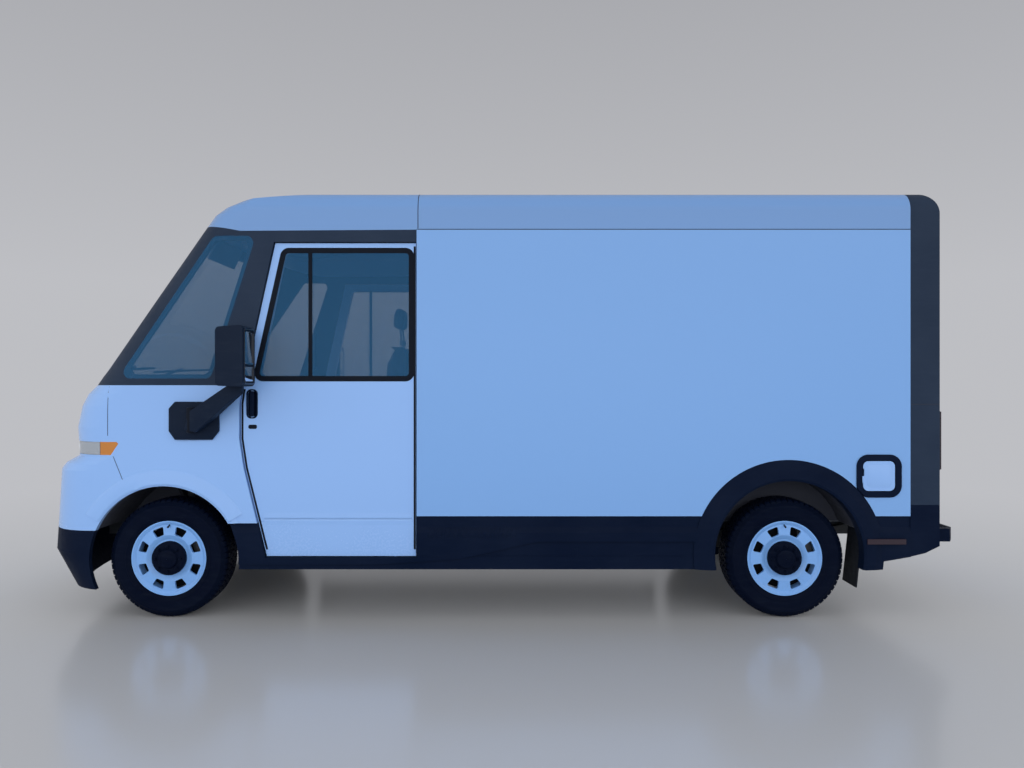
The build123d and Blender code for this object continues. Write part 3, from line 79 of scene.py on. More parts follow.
SKIN_TREES: dict[str, BVHTree] = {}


class Side(Enum):
    """The van's two sides, with the sign of Y on each."""

    LEFT = -1
    RIGHT = 1

    @property
    def word(self) -> str:
        """The side's name as the CAD nodes spell it."""
        return self.name.lower()


class Place(Enum):
    """The four wheels: axle position along X, and side."""

    FRONT_LEFT = (-2.035, Side.LEFT)
    FRONT_RIGHT = (-2.035, Side.RIGHT)
    REAR_LEFT = (1.851, Side.LEFT)
    REAR_RIGHT = (1.851, Side.RIGHT)

    @property
    def x(self) -> float:
        """The axle's place along the van."""
        return self.value[0]

    @property
    def side(self) -> Side:
        """The side the wheel is on."""
        return self.value[1]

    @property
    def word(self) -> str:
        """The wheel's name as the CAD nodes spell it."""
        return self.name.lower()


# Modelling with Blender's operators


def deselect_all() -> None:
    """Leaves object mode with nothing selected."""
    if bpy.context.object is not None and bpy.context.object.mode != "OBJECT":
        bpy.ops.object.mode_set(mode="OBJECT")
    bpy.ops.object.select_all(action="DESELECT")


def make_active(piece: bpy.types.Object) -> None:
    """Selects one object alone and makes it the active one.

    Args:
        piece: The object to work on.
    """
    deselect_all()
    piece.select_set(True)
    bpy.context.view_layer.objects.active = piece


def settle(piece: bpy.types.Object) -> bpy.types.Object:
    """Moves an object's place, turn and scale into its mesh.

    Args:
        piece: The object to settle.

    Returns:
        The same object, now at the origin.
    """
    make_active(piece)
    bpy.ops.object.transform_apply(location=True, rotation=True, scale=True)
    return piece


def apply_modifier(piece: bpy.types.Object, kind: str, **settings: object) -> bpy.types.Object:
    """Adds one modifier, sets it and applies it.

    Args:
        piece: The object to change.
        kind: Blender's name for the modifier type.
        **settings: The modifier's own settings.

    Returns:
        The same object.
    """
    make_active(piece)
    modifier = piece.modifiers.new(name=kind.title(), type=kind)
    for key, value in settings.items():
        setattr(modifier, key, value)
    bpy.ops.object.modifier_apply(modifier=modifier.name)
    return piece


def soften(piece: bpy.types.Object, width: float, segments: int = 2, angle: float = 32.0) -> bpy.types.Object:
    """Rounds the sharp edges and shades the rest smooth.

    Args:
        piece: The object to soften.
        width: How far the rounding reaches from each edge, in metres.
        segments: Steps across the rounding.
        angle: Edges sharper than this many degrees are rounded.

    Returns:
        The same object.
    """
    apply_modifier(
        piece,
        "BEVEL",
        width=width,
        segments=segments,
        limit_method="ANGLE",
        angle_limit=math.radians(angle),
        use_clamp_overlap=True,
    )
    shade_smooth(piece, 40.0)
    return piece


def shade_smooth(piece: bpy.types.Object, angle: float = 35.0) -> bpy.types.Object:
    """Shades an object smooth except over sharp edges.

    Args:
        piece: The object to shade.
        angle: Edges sharper than this many degrees stay crisp.

    Returns:
        The same object.
    """
    make_active(piece)
    bpy.ops.object.shade_smooth_by_angle(angle=math.radians(angle))
    return piece


def box_piece(name: str, low: Point, high: Point) -> bpy.types.Object:
    """A box between two corners, as a start for a piece.

    Args:
        name: The new object's name.
        low: Its lowest corner.
        high: Its highest corner.

    Returns:
        The new object, settled at the origin.
    """
    deselect_all()
    middle = [(a + b) / 2 for a, b in zip(low, high)]
    bpy.ops.mesh.primitive_cube_add(size=1.0, location=middle)
    piece = bpy.context.object
    piece.name = name
    piece.scale = [abs(b - a) for a, b in zip(low, high)]
    return settle(piece)


def block_piece(name: str, low: Point, high: Point, round_off: float = 0.004, segments: int = 3) -> bpy.types.Object:
    """A box between two corners with its edges rounded off.

    Args:
        name: The new object's name.
        low: Its lowest corner.
        high: Its highest corner.
        round_off: The rounding's reach.
        segments: Steps across the rounding.

    Returns:
        The new object.
    """
    return soften(box_piece(name, low, high), round_off, segments)


def rod_piece(name: str, start: Point, end: Point, radius: float, sides: int = 24) -> bpy.types.Object:
    """A round bar between two points.

    Args:
        name: The new object's name.
        start: The middle of its first end.
        end: The middle of its other end.
        radius: Its radius.
        sides: Flats round it.

    Returns:
        The new object, settled at the origin.
    """
    deselect_all()
    a, b = Vector(start), Vector(end)
    turn = (b - a).to_track_quat("Z", "Y").to_euler()
    bpy.ops.mesh.primitive_cylinder_add(
        vertices=sides, radius=radius, depth=(b - a).length, location=(a + b) / 2, rotation=turn
    )
    piece = bpy.context.object
    piece.name = name
    return settle(piece)


def lathe_piece(
    name: str, profile: Sequence[Flat], centre: Point, steps: int = 72, closed: bool = True
) -> bpy.types.Object:
    """Spins a profile about an axis along Y.

    Args:
        name: The new object's name.
        profile: Pairs of radius and Y, in order round the section.
        centre: A point on the axis; its Y is ignored.
        steps: Steps round the full turn.
        closed: Whether the last point joins the first.

    Returns:
        The new object, with its doubles merged and its faces outward.
    """
    deselect_all()
    mesh = bpy.data.meshes.new(name)
    points = [(centre[0] + radius, y, centre[2]) for radius, y in profile]
    count = len(points)
    edges = [(i, (i + 1) % count) for i in range(count if closed else count - 1)]
    mesh.from_pydata(points, edges, [])
    piece = bpy.data.objects.new(name, mesh)
    bpy.context.scene.collection.objects.link(piece)
    make_active(piece)
    bpy.ops.object.mode_set(mode="EDIT")
    bpy.ops.mesh.select_all(action="SELECT")
    bpy.ops.mesh.spin(
        steps=steps, angle=2 * math.pi, center=(centre[0], 0, centre[2]), axis=(0, 1, 0), use_auto_merge=True
    )
    bpy.ops.mesh.select_all(action="SELECT")
    bpy.ops.mesh.remove_doubles(threshold=1e-5)
    bpy.ops.mesh.normals_make_consistent(inside=False)
    bpy.ops.object.mode_set(mode="OBJECT")
    return piece


def plate_piece(name: str, outline: Sequence[Point], depth: Point) -> bpy.types.Object:
    """Extrudes a flat outline along a direction.

    Args:
        name: The new object's name.
        outline: The outline's corners in order.
        depth: How far and which way it is extruded.

    Returns:
        The new closed object, faces outward.
    """
    deselect_all()
    mesh = bpy.data.meshes.new(name)
    mesh.from_pydata(list(outline), [], [tuple(range(len(outline)))])
    piece = bpy.data.objects.new(name, mesh)
    bpy.context.scene.collection.objects.link(piece)
    make_active(piece)
    bpy.ops.object.mode_set(mode="EDIT")
    bpy.ops.mesh.select_all(action="SELECT")
    bpy.ops.mesh.extrude_region_move(TRANSFORM_OT_translate={"value": depth})
    bpy.ops.mesh.select_all(action="SELECT")
    bpy.ops.mesh.normals_make_consistent(inside=False)
    bpy.ops.object.mode_set(mode="OBJECT")
    return piece


def side_plate(name: str, outline: Sequence[Flat], y: float, depth: float) -> bpy.types.Object:
    """A plate whose outline is given in side view as X and Z.

    Args:
        name: The new object's name.
        outline: Corners as X and Z.
        y: The first face's Y.
        depth: The thickness, with its sign along Y.

    Returns:
        The new closed object.
    """
    return plate_piece(name, [(x, y, z) for x, z in outline], (0.0, depth, 0.0))


def rounded_outline(corners: Sequence[Flat], radius: float, steps: int = 5) -> list[Flat]:
    """Rounds the corners of a flat outline.

    Args:
        corners: The sharp corners in order.
        radius: The rounding's radius.
        steps: Points round each corner.

    Returns:
        The rounded outline's points in order.
    """
    rounded: list[Flat] = []
    count = len(corners)
    for i, corner in enumerate(corners):
        here = Vector(corner)
        back = (Vector(corners[i - 1]) - here).normalized()
        onward = (Vector(corners[(i + 1) % count]) - here).normalized()
        half = back.angle(onward) / 2
        reach = radius / math.tan(half)
        centre = here + (back + onward).normalized() * (radius / math.sin(half))
        start, end = here + back * reach - centre, here + onward * reach - centre
        sweep = start.angle_signed(end)
        for step in range(steps + 1):
            turn = Matrix.Rotation(-sweep * step / steps, 2)
            rounded.append(tuple(centre + turn @ start))
    return rounded


def inner_outline(outline: Sequence[Flat], inset: float) -> list[Flat]:
    """Steps a convex outline inwards by the same distance all round.

    Args:
        outline: The outline's points in order.
        inset: How far to step inwards.

    Returns:
        The inner outline, with as many points.
    """
    count = len(outline)
    middle = sum((Vector(p) for p in outline), Vector((0, 0))) / count
    inner: list[Flat] = []
    for i, point in enumerate(outline):
        here = Vector(point)
        before = Vector(outline[i - 1])
        after = Vector(outline[(i + 1) % count])
        along = (after - before).normalized()
        normal = Vector((-along.y, along.x))
        if normal.dot(middle - here) < 0:
            normal = -normal
        inner.append(tuple(here + normal * inset))
    return inner


def frame_piece(name: str, outline: Sequence[Flat], width: float, y: float, depth: float) -> bpy.types.Object:
    """A frame of even width that follows an outline in side view.

    Args:
        name: The new object's name.
        outline: The outer outline as X and Z.
        width: The frame's width inwards.
        y: The first face's Y.
        depth: The thickness, with its sign along Y.

    Returns:
        The new closed object.
    """
    deselect_all()
    inner = inner_outline(outline, width)
    count = len(outline)
    points = [(x, y, z) for x, z in outline] + [(x, y, z) for x, z in inner]
    faces = [(i, (i + 1) % count, count + (i + 1) % count, count + i) for i in range(count)]
    mesh = bpy.data.meshes.new(name)
    mesh.from_pydata(points, [], faces)
    piece = bpy.data.objects.new(name, mesh)
    bpy.context.scene.collection.objects.link(piece)
    make_active(piece)
    bpy.ops.object.mode_set(mode="EDIT")
    bpy.ops.mesh.select_all(action="SELECT")
    bpy.ops.mesh.extrude_region_move(TRANSFORM_OT_translate={"value": (0.0, depth, 0.0)})
    bpy.ops.mesh.select_all(action="SELECT")
    bpy.ops.mesh.normals_make_consistent(inside=False)
    bpy.ops.object.mode_set(mode="OBJECT")
    return piece


def join_pieces(name: str, pieces: Sequence[bpy.types.Object]) -> bpy.types.Object:
    """Joins several objects into one.

    Args:
        name: The joined object's name.
        pieces: The objects to join.

    Returns:
        The joined object.
    """
    deselect_all()
    for piece in pieces:
        piece.select_set(True)
    bpy.context.view_layer.objects.active = pieces[0]
    bpy.ops.object.join()
    pieces[0].name = name
    return pieces[0]


def copy_piece(piece: bpy.types.Object, name: str, change: Matrix) -> bpy.types.Object:
    """Copies an object with its own mesh and moves the copy.

    Args:
        piece: The object to copy.
        name: The copy's name.
        change: The move, turn or mirror for the copy.

    Returns:
        The copy, with its faces outward.
    """
    twin = piece.copy()
    twin.data = piece.data.copy()
    twin.name = name
    twin.modifiers.clear()
    bpy.context.scene.collection.objects.link(twin)
    twin.data.transform(change)
    if change.determinant() < 0:
        twin.data.flip_normals()
    return twin


def mirrored(piece: bpy.types.Object, name: str) -> bpy.types.Object:
    """The same piece on the van's other side."""
    return copy_piece(piece, name, Matrix.Scale(-1, 4, (0, 1, 0)))


def softened_copy(node: bpy.types.Object, name: str, width: float, segments: int = 2) -> bpy.types.Object:
    """A CAD node's shape with rounded edges.

    Args:
        node: The CAD node to copy.
        name: The copy's name.
        width: The rounding's reach.
        segments: Steps across it.

    Returns:
        The rounded copy, which can replace the node.
    """
    piece = bpy.data.objects.new(name, node.data.copy())
    bpy.context.scene.collection.objects.link(piece)
    make_active(piece)
    if piece.data.has_custom_normals:
        bpy.ops.mesh.customdata_custom_splitnormals_clear()
    bpy.ops.object.mode_set(mode="EDIT")
    bpy.ops.mesh.select_all(action="SELECT")
    bpy.ops.mesh.remove_doubles(threshold=2e-5)
    bpy.ops.mesh.dissolve_limited(angle_limit=math.radians(2.0))
    bpy.ops.object.mode_set(mode="OBJECT")
    return soften(piece, width, segments)


def touch(node: bpy.types.Object, start: Point, aim: Point) -> Vector:
    """The point where a straight line first meets a CAD node.

    Args:
        node: The CAD node.
        start: Where the line starts.
        aim: The line's direction.

    Returns:
        The point on the node, or the start where the line misses it.
    """
    if node.name not in SKIN_TREES:
        mesh = node.data
        SKIN_TREES[node.name] = BVHTree.FromPolygons(
            [vertex.co for vertex in mesh.vertices], [face.vertices for face in mesh.polygons]
        )
    place = SKIN_TREES[node.name].ray_cast(Vector(start), Vector(aim).normalized())[0]
    if place is None:
        LOG.warning("a line from %s misses %s", start, node.name)
        return Vector(start)
    return place


def ribbon_piece(name: str, points: Sequence[Point], rise: Point, thickness: float) -> bpy.types.Object:
    """A flat strip that follows a line of points.

    Args:
        name: The new object's name.
        points: The line along the strip's edge.
        rise: How far and which way the strip reaches from the line.
        thickness: The strip's thickness, half of it on each side.

    Returns:
        The new closed object.
    """
    deselect_all()
    mesh = bpy.data.meshes.new(name)
    mesh.from_pydata([tuple(p) for p in points], [(i, i + 1) for i in range(len(points) - 1)], [])
    piece = bpy.data.objects.new(name, mesh)
    bpy.context.scene.collection.objects.link(piece)
    make_active(piece)
    bpy.ops.object.mode_set(mode="EDIT")
    bpy.ops.mesh.select_all(action="SELECT")
    bpy.ops.mesh.extrude_region_move(TRANSFORM_OT_translate={"value": rise})
    bpy.ops.object.mode_set(mode="OBJECT")
    apply_modifier(piece, "SOLIDIFY", thickness=thickness, offset=0.0, use_even_offset=True)
    make_active(piece)
    bpy.ops.object.mode_set(mode="EDIT")
    bpy.ops.mesh.select_all(action="SELECT")
    bpy.ops.mesh.normals_make_consistent(inside=False)
    bpy.ops.object.mode_set(mode="OBJECT")
    return piece


def merged_copy(node: bpy.types.Object, name: str) -> bpy.types.Object:
    """A CAD node's shape as one joined mesh.

    Args:
        node: The CAD node to copy.
        name: The copy's name.

    Returns:
        The copy, with its doubles merged.
    """
    piece = bpy.data.objects.new(name, node.data.copy())
    bpy.context.scene.collection.objects.link(piece)
    make_active(piece)
    if piece.data.has_custom_normals:
        bpy.ops.mesh.customdata_custom_splitnormals_clear()
    bpy.ops.object.mode_set(mode="EDIT")
    bpy.ops.mesh.select_all(action="SELECT")
    bpy.ops.mesh.remove_doubles(threshold=2e-5)
    bpy.ops.object.mode_set(mode="OBJECT")
    return piece


def trimmed(piece: bpy.types.Object, point: Point, normal: Point) -> bpy.types.Object:
    """Cuts away what lies on the far side of a plane and closes the cut.

    Args:
        piece: The object to cut.
        point: A point on the plane.
        normal: The direction of the side that goes.

    Returns:
        The same object.
    """
    make_active(piece)
    bpy.ops.object.mode_set(mode="EDIT")
    bpy.ops.mesh.select_all(action="SELECT")
    bpy.ops.mesh.bisect(plane_co=point, plane_no=normal, use_fill=True, clear_outer=True)
    bpy.ops.object.mode_set(mode="OBJECT")
    return piece


def shrunk(piece: bpy.types.Object, depth: float) -> bpy.types.Object:
    """Draws an object's skin inwards by the same depth all over."""
    make_active(piece)
    bpy.ops.object.mode_set(mode="EDIT")
    bpy.ops.mesh.select_all(action="SELECT")
    bpy.ops.transform.shrink_fatten(value=-depth)
    bpy.ops.object.mode_set(mode="OBJECT")
    return piece


def tube_piece(name: str, points: Sequence[Point], radius: float, ring: bool = False) -> bpy.types.Object:
    """A round tube through points, smooth between them.

    Args:
        name: The new object's name.
        points: What the tube's middle follows.
        radius: The tube's radius.
        ring: Whether its ends join.

    Returns:
        The new closed mesh.
    """
    deselect_all()
    curve = bpy.data.curves.new(name, "CURVE")
    curve.dimensions = "3D"
    curve.bevel_depth = radius
    curve.bevel_resolution = 3
    curve.resolution_u = 3
    curve.use_fill_caps = True
    spline = curve.splines.new("NURBS")
    spline.points.add(len(points) - 1)
    for spot, place in zip(spline.points, points):
        spot.co = (*place, 1.0)
    spline.use_cyclic_u = ring
    spline.use_endpoint_u = not ring
    spline.order_u = 3
    piece = bpy.data.objects.new(name, curve)
    bpy.context.scene.collection.objects.link(piece)
    make_active(piece)
    bpy.ops.object.convert(target="MESH")
    return shade_smooth(bpy.context.object, 50.0)


def swollen(piece: bpy.types.Object, voxel: float, cap: float, rest_below: float) -> bpy.types.Object:
    """Turns a rough form into a stuffed pad: remeshed, blown up as cloth, and smoothed.

    Args:
        piece: The rough form, a little smaller than the pad.
        voxel: The remesh's cell.
        cap: The farthest that a point may move.
        rest_below: Points lower than this stay where they are.

    Returns:
        The same object, with no live modifier.
    """
    apply_modifier(piece, "REMESH", mode="VOXEL", voxel_size=voxel, use_smooth_shade=True)
    apply_modifier(piece, "SMOOTH", factor=0.5, iterations=5)
    start = [vertex.co.copy() for vertex in piece.data.vertices]
    pinned = piece.vertex_groups.new(name="pinned")
    pinned.add([i for i, place in enumerate(start) if place.z < rest_below], 1.0, "REPLACE")
    make_active(piece)
    cloth = piece.modifiers.new(name="Cloth", type="CLOTH")
    cloth.settings.use_pressure = True
    cloth.settings.uniform_pressure_force = 4.0
    cloth.settings.effector_weights.gravity = 0.0
    cloth.settings.vertex_group_mass = "pinned"
    cloth.settings.quality = 4
    cloth.point_cache.frame_start = 1
    cloth.point_cache.frame_end = 20
    scene = bpy.context.scene
    for number in range(1, 21):
        scene.frame_set(number)
    bpy.ops.object.modifier_apply(modifier=cloth.name)
    scene.frame_set(1)
    for vertex, place in zip(piece.data.vertices, start):
        move = vertex.co - place
        if move.length > cap:
            vertex.co = place + move * (cap / move.length)
    return apply_modifier(piece, "SMOOTH", factor=0.5, iterations=3)


def sewn(piece: bpy.types.Object, facing: Point, lines: Sequence[tuple[Point, Point]], depth: float,
         reach: float) -> bpy.types.Object:
    """Presses sewn channels into the face of a pad.

    Args:
        piece: The pad.
        facing: The way that the face looks; only that side is pressed.
        lines: The two ends of each channel.
        depth: How deep a channel is.
        reach: Half its width.

    Returns:
        The same object.
    """
    look = Vector(facing)
    flats = [(Vector(a) - look * look.dot(Vector(a)), Vector(b) - look * look.dot(Vector(b))) for a, b in lines]
    moves = []
    for vertex in piece.data.vertices:
        turn = vertex.normal.dot(look)
        if turn < 0.25:
            continue
        place = vertex.co - look * look.dot(vertex.co)
        near = min((place - closest_on(a, b, place)).length for a, b in flats)
        if near < 2.5 * reach:
            moves.append((vertex.index, -look * depth * min(1.0, turn * 1.6) * math.exp(-((near / reach) ** 2))))
    for index, move in moves:
        piece.data.vertices[index].co += move
    return piece


def closest_on(start: Vector, end: Vector, place: Vector) -> Vector:
    """The point of a straight line's run that is nearest to a place."""
    run = end - start
    share = max(0.0, min(1.0, (place - start).dot(run) / run.length_squared))
    return start + run * share


# Shader node groups that more than one finish uses


class NodeCanvas:
    """Adds and links nodes in one node tree, left to right."""

    def __init__(self, tree: bpy.types.NodeTree) -> None:
        """Starts on a tree.

        Args:
            tree: The material's or group's node tree.
        """
        self.tree = tree
        self.column = 0

    def node(self, kind: str, **settings: object) -> bpy.types.Node:
        """Adds a node.

        Args:
            kind: Blender's type name of the node.
            **settings: The node's own settings.

        Returns:
            The new node.
        """
        made = self.tree.nodes.new(kind)
        made.location = (self.column * 190, -60 * (self.column % 4))
        self.column += 1
        for key, value in settings.items():
            setattr(made, key, value)
        return made

    def link(self, start: bpy.types.NodeSocket, end: bpy.types.NodeSocket) -> None:
        """Links an output to an input."""
        self.tree.links.new(start, end)

    def noise(self, vector: bpy.types.NodeSocket, scale: float, detail: float = 3.0) -> bpy.types.NodeSocket:
        """A noise texture's value on the given coordinates."""
        made = self.node("ShaderNodeTexNoise")
        made.inputs["Scale"].default_value = scale
        made.inputs["Detail"].default_value = detail
        self.link(vector, made.inputs["Vector"])
        return made.outputs["Fac"]

    def ramp(self, value: bpy.types.NodeSocket, low: float, high: float, start: float,
             end: float) -> bpy.types.NodeSocket:
        """Maps a value from one range to another, held inside it.

        Args:
            value: The value to map.
            low: The value that gives start.
            high: The value that gives end.
            start: The result at low.
            end: The result at high.

        Returns:
            The mapped value.
        """
        made = self.node("ShaderNodeMapRange")
        for key, number in (("From Min", low), ("From Max", high), ("To Min", start), ("To Max", end)):
            made.inputs[key].default_value = number
        self.link(value, made.inputs["Value"])
        return made.outputs["Result"]

    def mix(self, share: bpy.types.NodeSocket, first: object, second: object) -> bpy.types.NodeSocket:
        """Mixes two colours, each a socket or a plain colour."""
        made = self.node("ShaderNodeMix", data_type="RGBA")
        self.link(share, made.inputs[0])
        for socket, colour in ((made.inputs[6], first), (made.inputs[7], second)):
            if isinstance(colour, bpy.types.NodeSocket):
                self.link(colour, socket)
            else:
                socket.default_value = colour
        return made.outputs[2]

    def math(self, operation: str, first: object, second: object) -> bpy.types.NodeSocket:
        """One sum on two values, each a socket or a plain number."""
        made = self.node("ShaderNodeMath", operation=operation)
        for socket, value in zip(made.inputs, (first, second)):
            if isinstance(value, bpy.types.NodeSocket):
                self.link(value, socket)
            else:
                socket.default_value = value
        return made.outputs[0]


class EffectGroup:
    """A shader node group with named inputs and outputs, built once."""

    name = "effect"
    inputs: tuple[tuple[str, str, object], ...] = ()
    outputs: tuple[tuple[str, str], ...] = ()

    def __init__(self) -> None:
        """Builds the group's tree and its sockets."""
        self.tree = bpy.data.node_groups.new(self.name, "ShaderNodeTree")
        for label, kind, value in self.inputs:
            socket = self.tree.interface.new_socket(name=label, in_out="INPUT", socket_type=kind)
            socket.default_value = value
        for label, kind in self.outputs:
            self.tree.interface.new_socket(name=label, in_out="OUTPUT", socket_type=kind)
        self.canvas = NodeCanvas(self.tree)
        self.entry = self.canvas.node("NodeGroupInput")
        self.exit = self.canvas.node("NodeGroupOutput")
        self.fill()

    def fill(self) -> None:
        """Lays the group's inner nodes; each effect has its own."""
        raise NotImplementedError

    def place(self, canvas: NodeCanvas, **values: object) -> bpy.types.Node:
        """Puts the group into a material.

        Args:
            canvas: The material's canvas.
            **values: Input values, with spaces in names written as underscores.

        Returns:
            The group's node.
        """
        made = canvas.node("ShaderNodeGroup", node_tree=self.tree)
        for key, value in values.items():
            made.inputs[key.replace("_", " ")].default_value = value
        return made


class RoadFilm(EffectGroup):
    """Dust and dried spray that thin out with height above the road."""

    name = "road_film"
    inputs = (
        ("Clean Colour", "NodeSocketColor", (0.5, 0.5, 0.5, 1.0)),
        ("Dust Colour", "NodeSocketColor", (0.2, 0.19, 0.17, 1.0)),
        ("Reach", "NodeSocketFloat", 1.0),
        ("Amount", "NodeSocketFloat", 0.2),
        ("Clean Roughness", "NodeSocketFloat", 0.3),
    )
    outputs = (("Colour", "NodeSocketColor"), ("Roughness", "NodeSocketFloat"))

    def fill(self) -> None:
        """Mixes dust in by height and broken noise."""
        c = self.canvas
        place = c.node("ShaderNodeTexCoord").outputs["Object"]
        parts = c.node("ShaderNodeSeparateXYZ")
        c.link(place, parts.inputs[0])
        height = c.math("DIVIDE", parts.outputs["Z"], self.entry.outputs["Reach"])
        low = c.ramp(height, 0.1, 1.0, 1.0, 0.0)
        blotch = c.ramp(c.noise(place, 2.3, 6.0), 0.3, 0.75, 0.35, 1.0)
        speck = c.ramp(c.noise(place, 70.0, 4.0), 0.42, 0.7, 0.55, 1.0)
        share = c.math("MULTIPLY", c.math("MULTIPLY", low, blotch), speck)
        share = c.math("MULTIPLY", share, self.entry.outputs["Amount"])
        colour = c.mix(share, self.entry.outputs["Clean Colour"], self.entry.outputs["Dust Colour"])
        c.link(colour, self.exit.inputs["Colour"])
        rough = c.math("ADD", self.entry.outputs["Clean Roughness"], c.math("MULTIPLY", share, 0.5))
        c.link(rough, self.exit.inputs["Roughness"])


class OrangePeel(EffectGroup):
    """The faint waviness of sprayed and baked paint."""

    name = "orange_peel"
    inputs = (("Wave Size", "NodeSocketFloat", 160.0), ("Depth", "NodeSocketFloat", 0.02))
    outputs = (("Normal", "NodeSocketVector"),)

    def fill(self) -> None:
        """Bumps the surface by soft noise at two sizes."""
        c = self.canvas
        place = c.node("ShaderNodeTexCoord").outputs["Object"]
        fine = c.node("ShaderNodeTexNoise")
        c.link(place, fine.inputs["Vector"])
        c.link(self.entry.outputs["Wave Size"], fine.inputs["Scale"])
        broad = c.noise(place, 1.7, 2.0)
        height = c.math("ADD", fine.outputs["Fac"], c.math("MULTIPLY", broad, 6.0))
        bump = c.node("ShaderNodeBump")
        bump.inputs["Distance"].default_value = 0.001
        c.link(self.entry.outputs["Depth"], bump.inputs["Strength"])
        c.link(height, bump.inputs["Height"])
        c.link(bump.outputs["Normal"], self.exit.inputs["Normal"])


class MouldedGrain(EffectGroup):
    """The pebbled grain of moulded plastic, with pale scuffs on it."""

    name = "moulded_grain"
    inputs = (
        ("Base Colour", "NodeSocketColor", (0.03, 0.03, 0.03, 1.0)),
        ("Scuff Colour", "NodeSocketColor", (0.1, 0.1, 0.1, 1.0)),
        ("Grain Size", "NodeSocketFloat", 700.0),
        ("Grain Depth", "NodeSocketFloat", 0.15),
        ("Scuffing", "NodeSocketFloat", 0.3),
    )
    outputs = (("Colour", "NodeSocketColor"), ("Roughness", "NodeSocketFloat"), ("Normal", "NodeSocketVector"))

    def fill(self) -> None:
        """Cells for the grain, stretched noise for the scuffs."""
        c = self.canvas
        place = c.node("ShaderNodeTexCoord").outputs["Object"]
        cells = c.node("ShaderNodeTexVoronoi", feature="F1")
        c.link(place, cells.inputs["Vector"])
        c.link(self.entry.outputs["Grain Size"], cells.inputs["Scale"])
        bump = c.node("ShaderNodeBump")
        bump.inputs["Distance"].default_value = 0.0006
        c.link(self.entry.outputs["Grain Depth"], bump.inputs["Strength"])
        c.link(cells.outputs["Distance"], bump.inputs["Height"])
        c.link(bump.outputs["Normal"], self.exit.inputs["Normal"])
        stretch = c.node("ShaderNodeMapping")
        stretch.inputs["Scale"].default_value = (1.0, 1.0, 5.0)
        c.link(place, stretch.inputs["Vector"])
        scuff = c.ramp(c.noise(stretch.outputs["Vector"], 9.0, 8.0), 0.5, 0.78, 0.0, 1.0)
        share = c.math("MULTIPLY", scuff, self.entry.outputs["Scuffing"])
        tone = c.ramp(c.noise(place, 3.1, 2.0), 0.3, 0.7, 0.0, 0.22)
        shaded = c.mix(tone, self.entry.outputs["Base Colour"], self.entry.outputs["Scuff Colour"])
        colour = c.mix(share, shaded, self.entry.outputs["Scuff Colour"])
        c.link(colour, self.exit.inputs["Colour"])
        rough = c.ramp(c.noise(place, 24.0, 4.0), 0.25, 0.75, 0.42, 0.62)
        c.link(rough, self.exit.inputs["Roughness"])


class WovenCloth(EffectGroup):
    """A plain weave of two close colours."""

    name = "woven_cloth"
    inputs = (
        ("Warp Colour", "NodeSocketColor", (0.05, 0.05, 0.06, 1.0)),
        ("Weft Colour", "NodeSocketColor", (0.08, 0.08, 0.1, 1.0)),
        ("Threads", "NodeSocketFloat", 700.0),
    )
    outputs = (("Colour", "NodeSocketColor"), ("Roughness", "NodeSocketFloat"), ("Normal", "NodeSocketVector"))

    def fill(self) -> None:
        """Crossed waves make the weave; noise keeps it from looking printed."""
        c = self.canvas
        place = c.node("ShaderNodeTexCoord").outputs["Object"]
        waves = []
        for direction in ("X", "Y", "Z"):
            wave = c.node("ShaderNodeTexWave", bands_direction=direction)
            wave.inputs["Distortion"].default_value = 0.6
            c.link(place, wave.inputs["Vector"])
            c.link(self.entry.outputs["Threads"], wave.inputs["Scale"])
            waves.append(wave.outputs["Fac"])
        weave = c.math("MULTIPLY", c.math("ADD", waves[0], waves[1]), c.math("ADD", waves[2], 0.4))
        share = c.ramp(weave, 0.2, 1.4, 0.0, 1.0)
        pill = c.ramp(c.noise(place, 36.0, 5.0), 0.4, 0.7, 0.0, 0.35)
        woven = c.mix(share, self.entry.outputs["Warp Colour"], self.entry.outputs["Weft Colour"])
        colour = c.mix(pill, woven, self.entry.outputs["Weft Colour"])
        c.link(colour, self.exit.inputs["Colour"])
        c.link(c.ramp(share, 0.0, 1.0, 0.75, 0.95), self.exit.inputs["Roughness"])
        bump = c.node("ShaderNodeBump")
        bump.inputs["Strength"].default_value = 0.5
        bump.inputs["Distance"].default_value = 0.0008
        c.link(weave, bump.inputs["Height"])
        c.link(bump.outputs["Normal"], self.exit.inputs["Normal"])


@dataclass
class Effects:
    """The shader groups, each built once."""

    road_film: RoadFilm = field(default_factory=RoadFilm)
    orange_peel: OrangePeel = field(default_factory=OrangePeel)
    moulded_grain: MouldedGrain = field(default_factory=MouldedGrain)
    woven_cloth: WovenCloth = field(default_factory=WovenCloth)


# Finishes


@dataclass(frozen=True)
class Finish:
    """A surface finish that makes its own material.

    Attributes:
        name: The material's name.
        slot: The record's material slot that it stands for.
        colour: Its main colour, linear.
    """

    name: str
    slot: str
    colour: Colour

    def start(self) -> tuple[bpy.types.Material, NodeCanvas, bpy.types.Node]:
        """Makes an empty material with one Principled shader.

        Returns:
            The material, a canvas on its tree, and the shader node.
        """
        material = bpy.data.materials.new(self.name)
        material.use_nodes = True
        material.diffuse_color = self.colour
        canvas = NodeCanvas(material.node_tree)
        shader = material.node_tree.nodes["Principled BSDF"]
        shader.inputs["Base Color"].default_value = self.colour
        return material, canvas, shader

    def make(self, effects: Effects) -> bpy.types.Material:
        """Builds the material.

        Args:
            effects: The shared shader groups.

        Returns:
            The finished material.
        """
        raise NotImplementedError


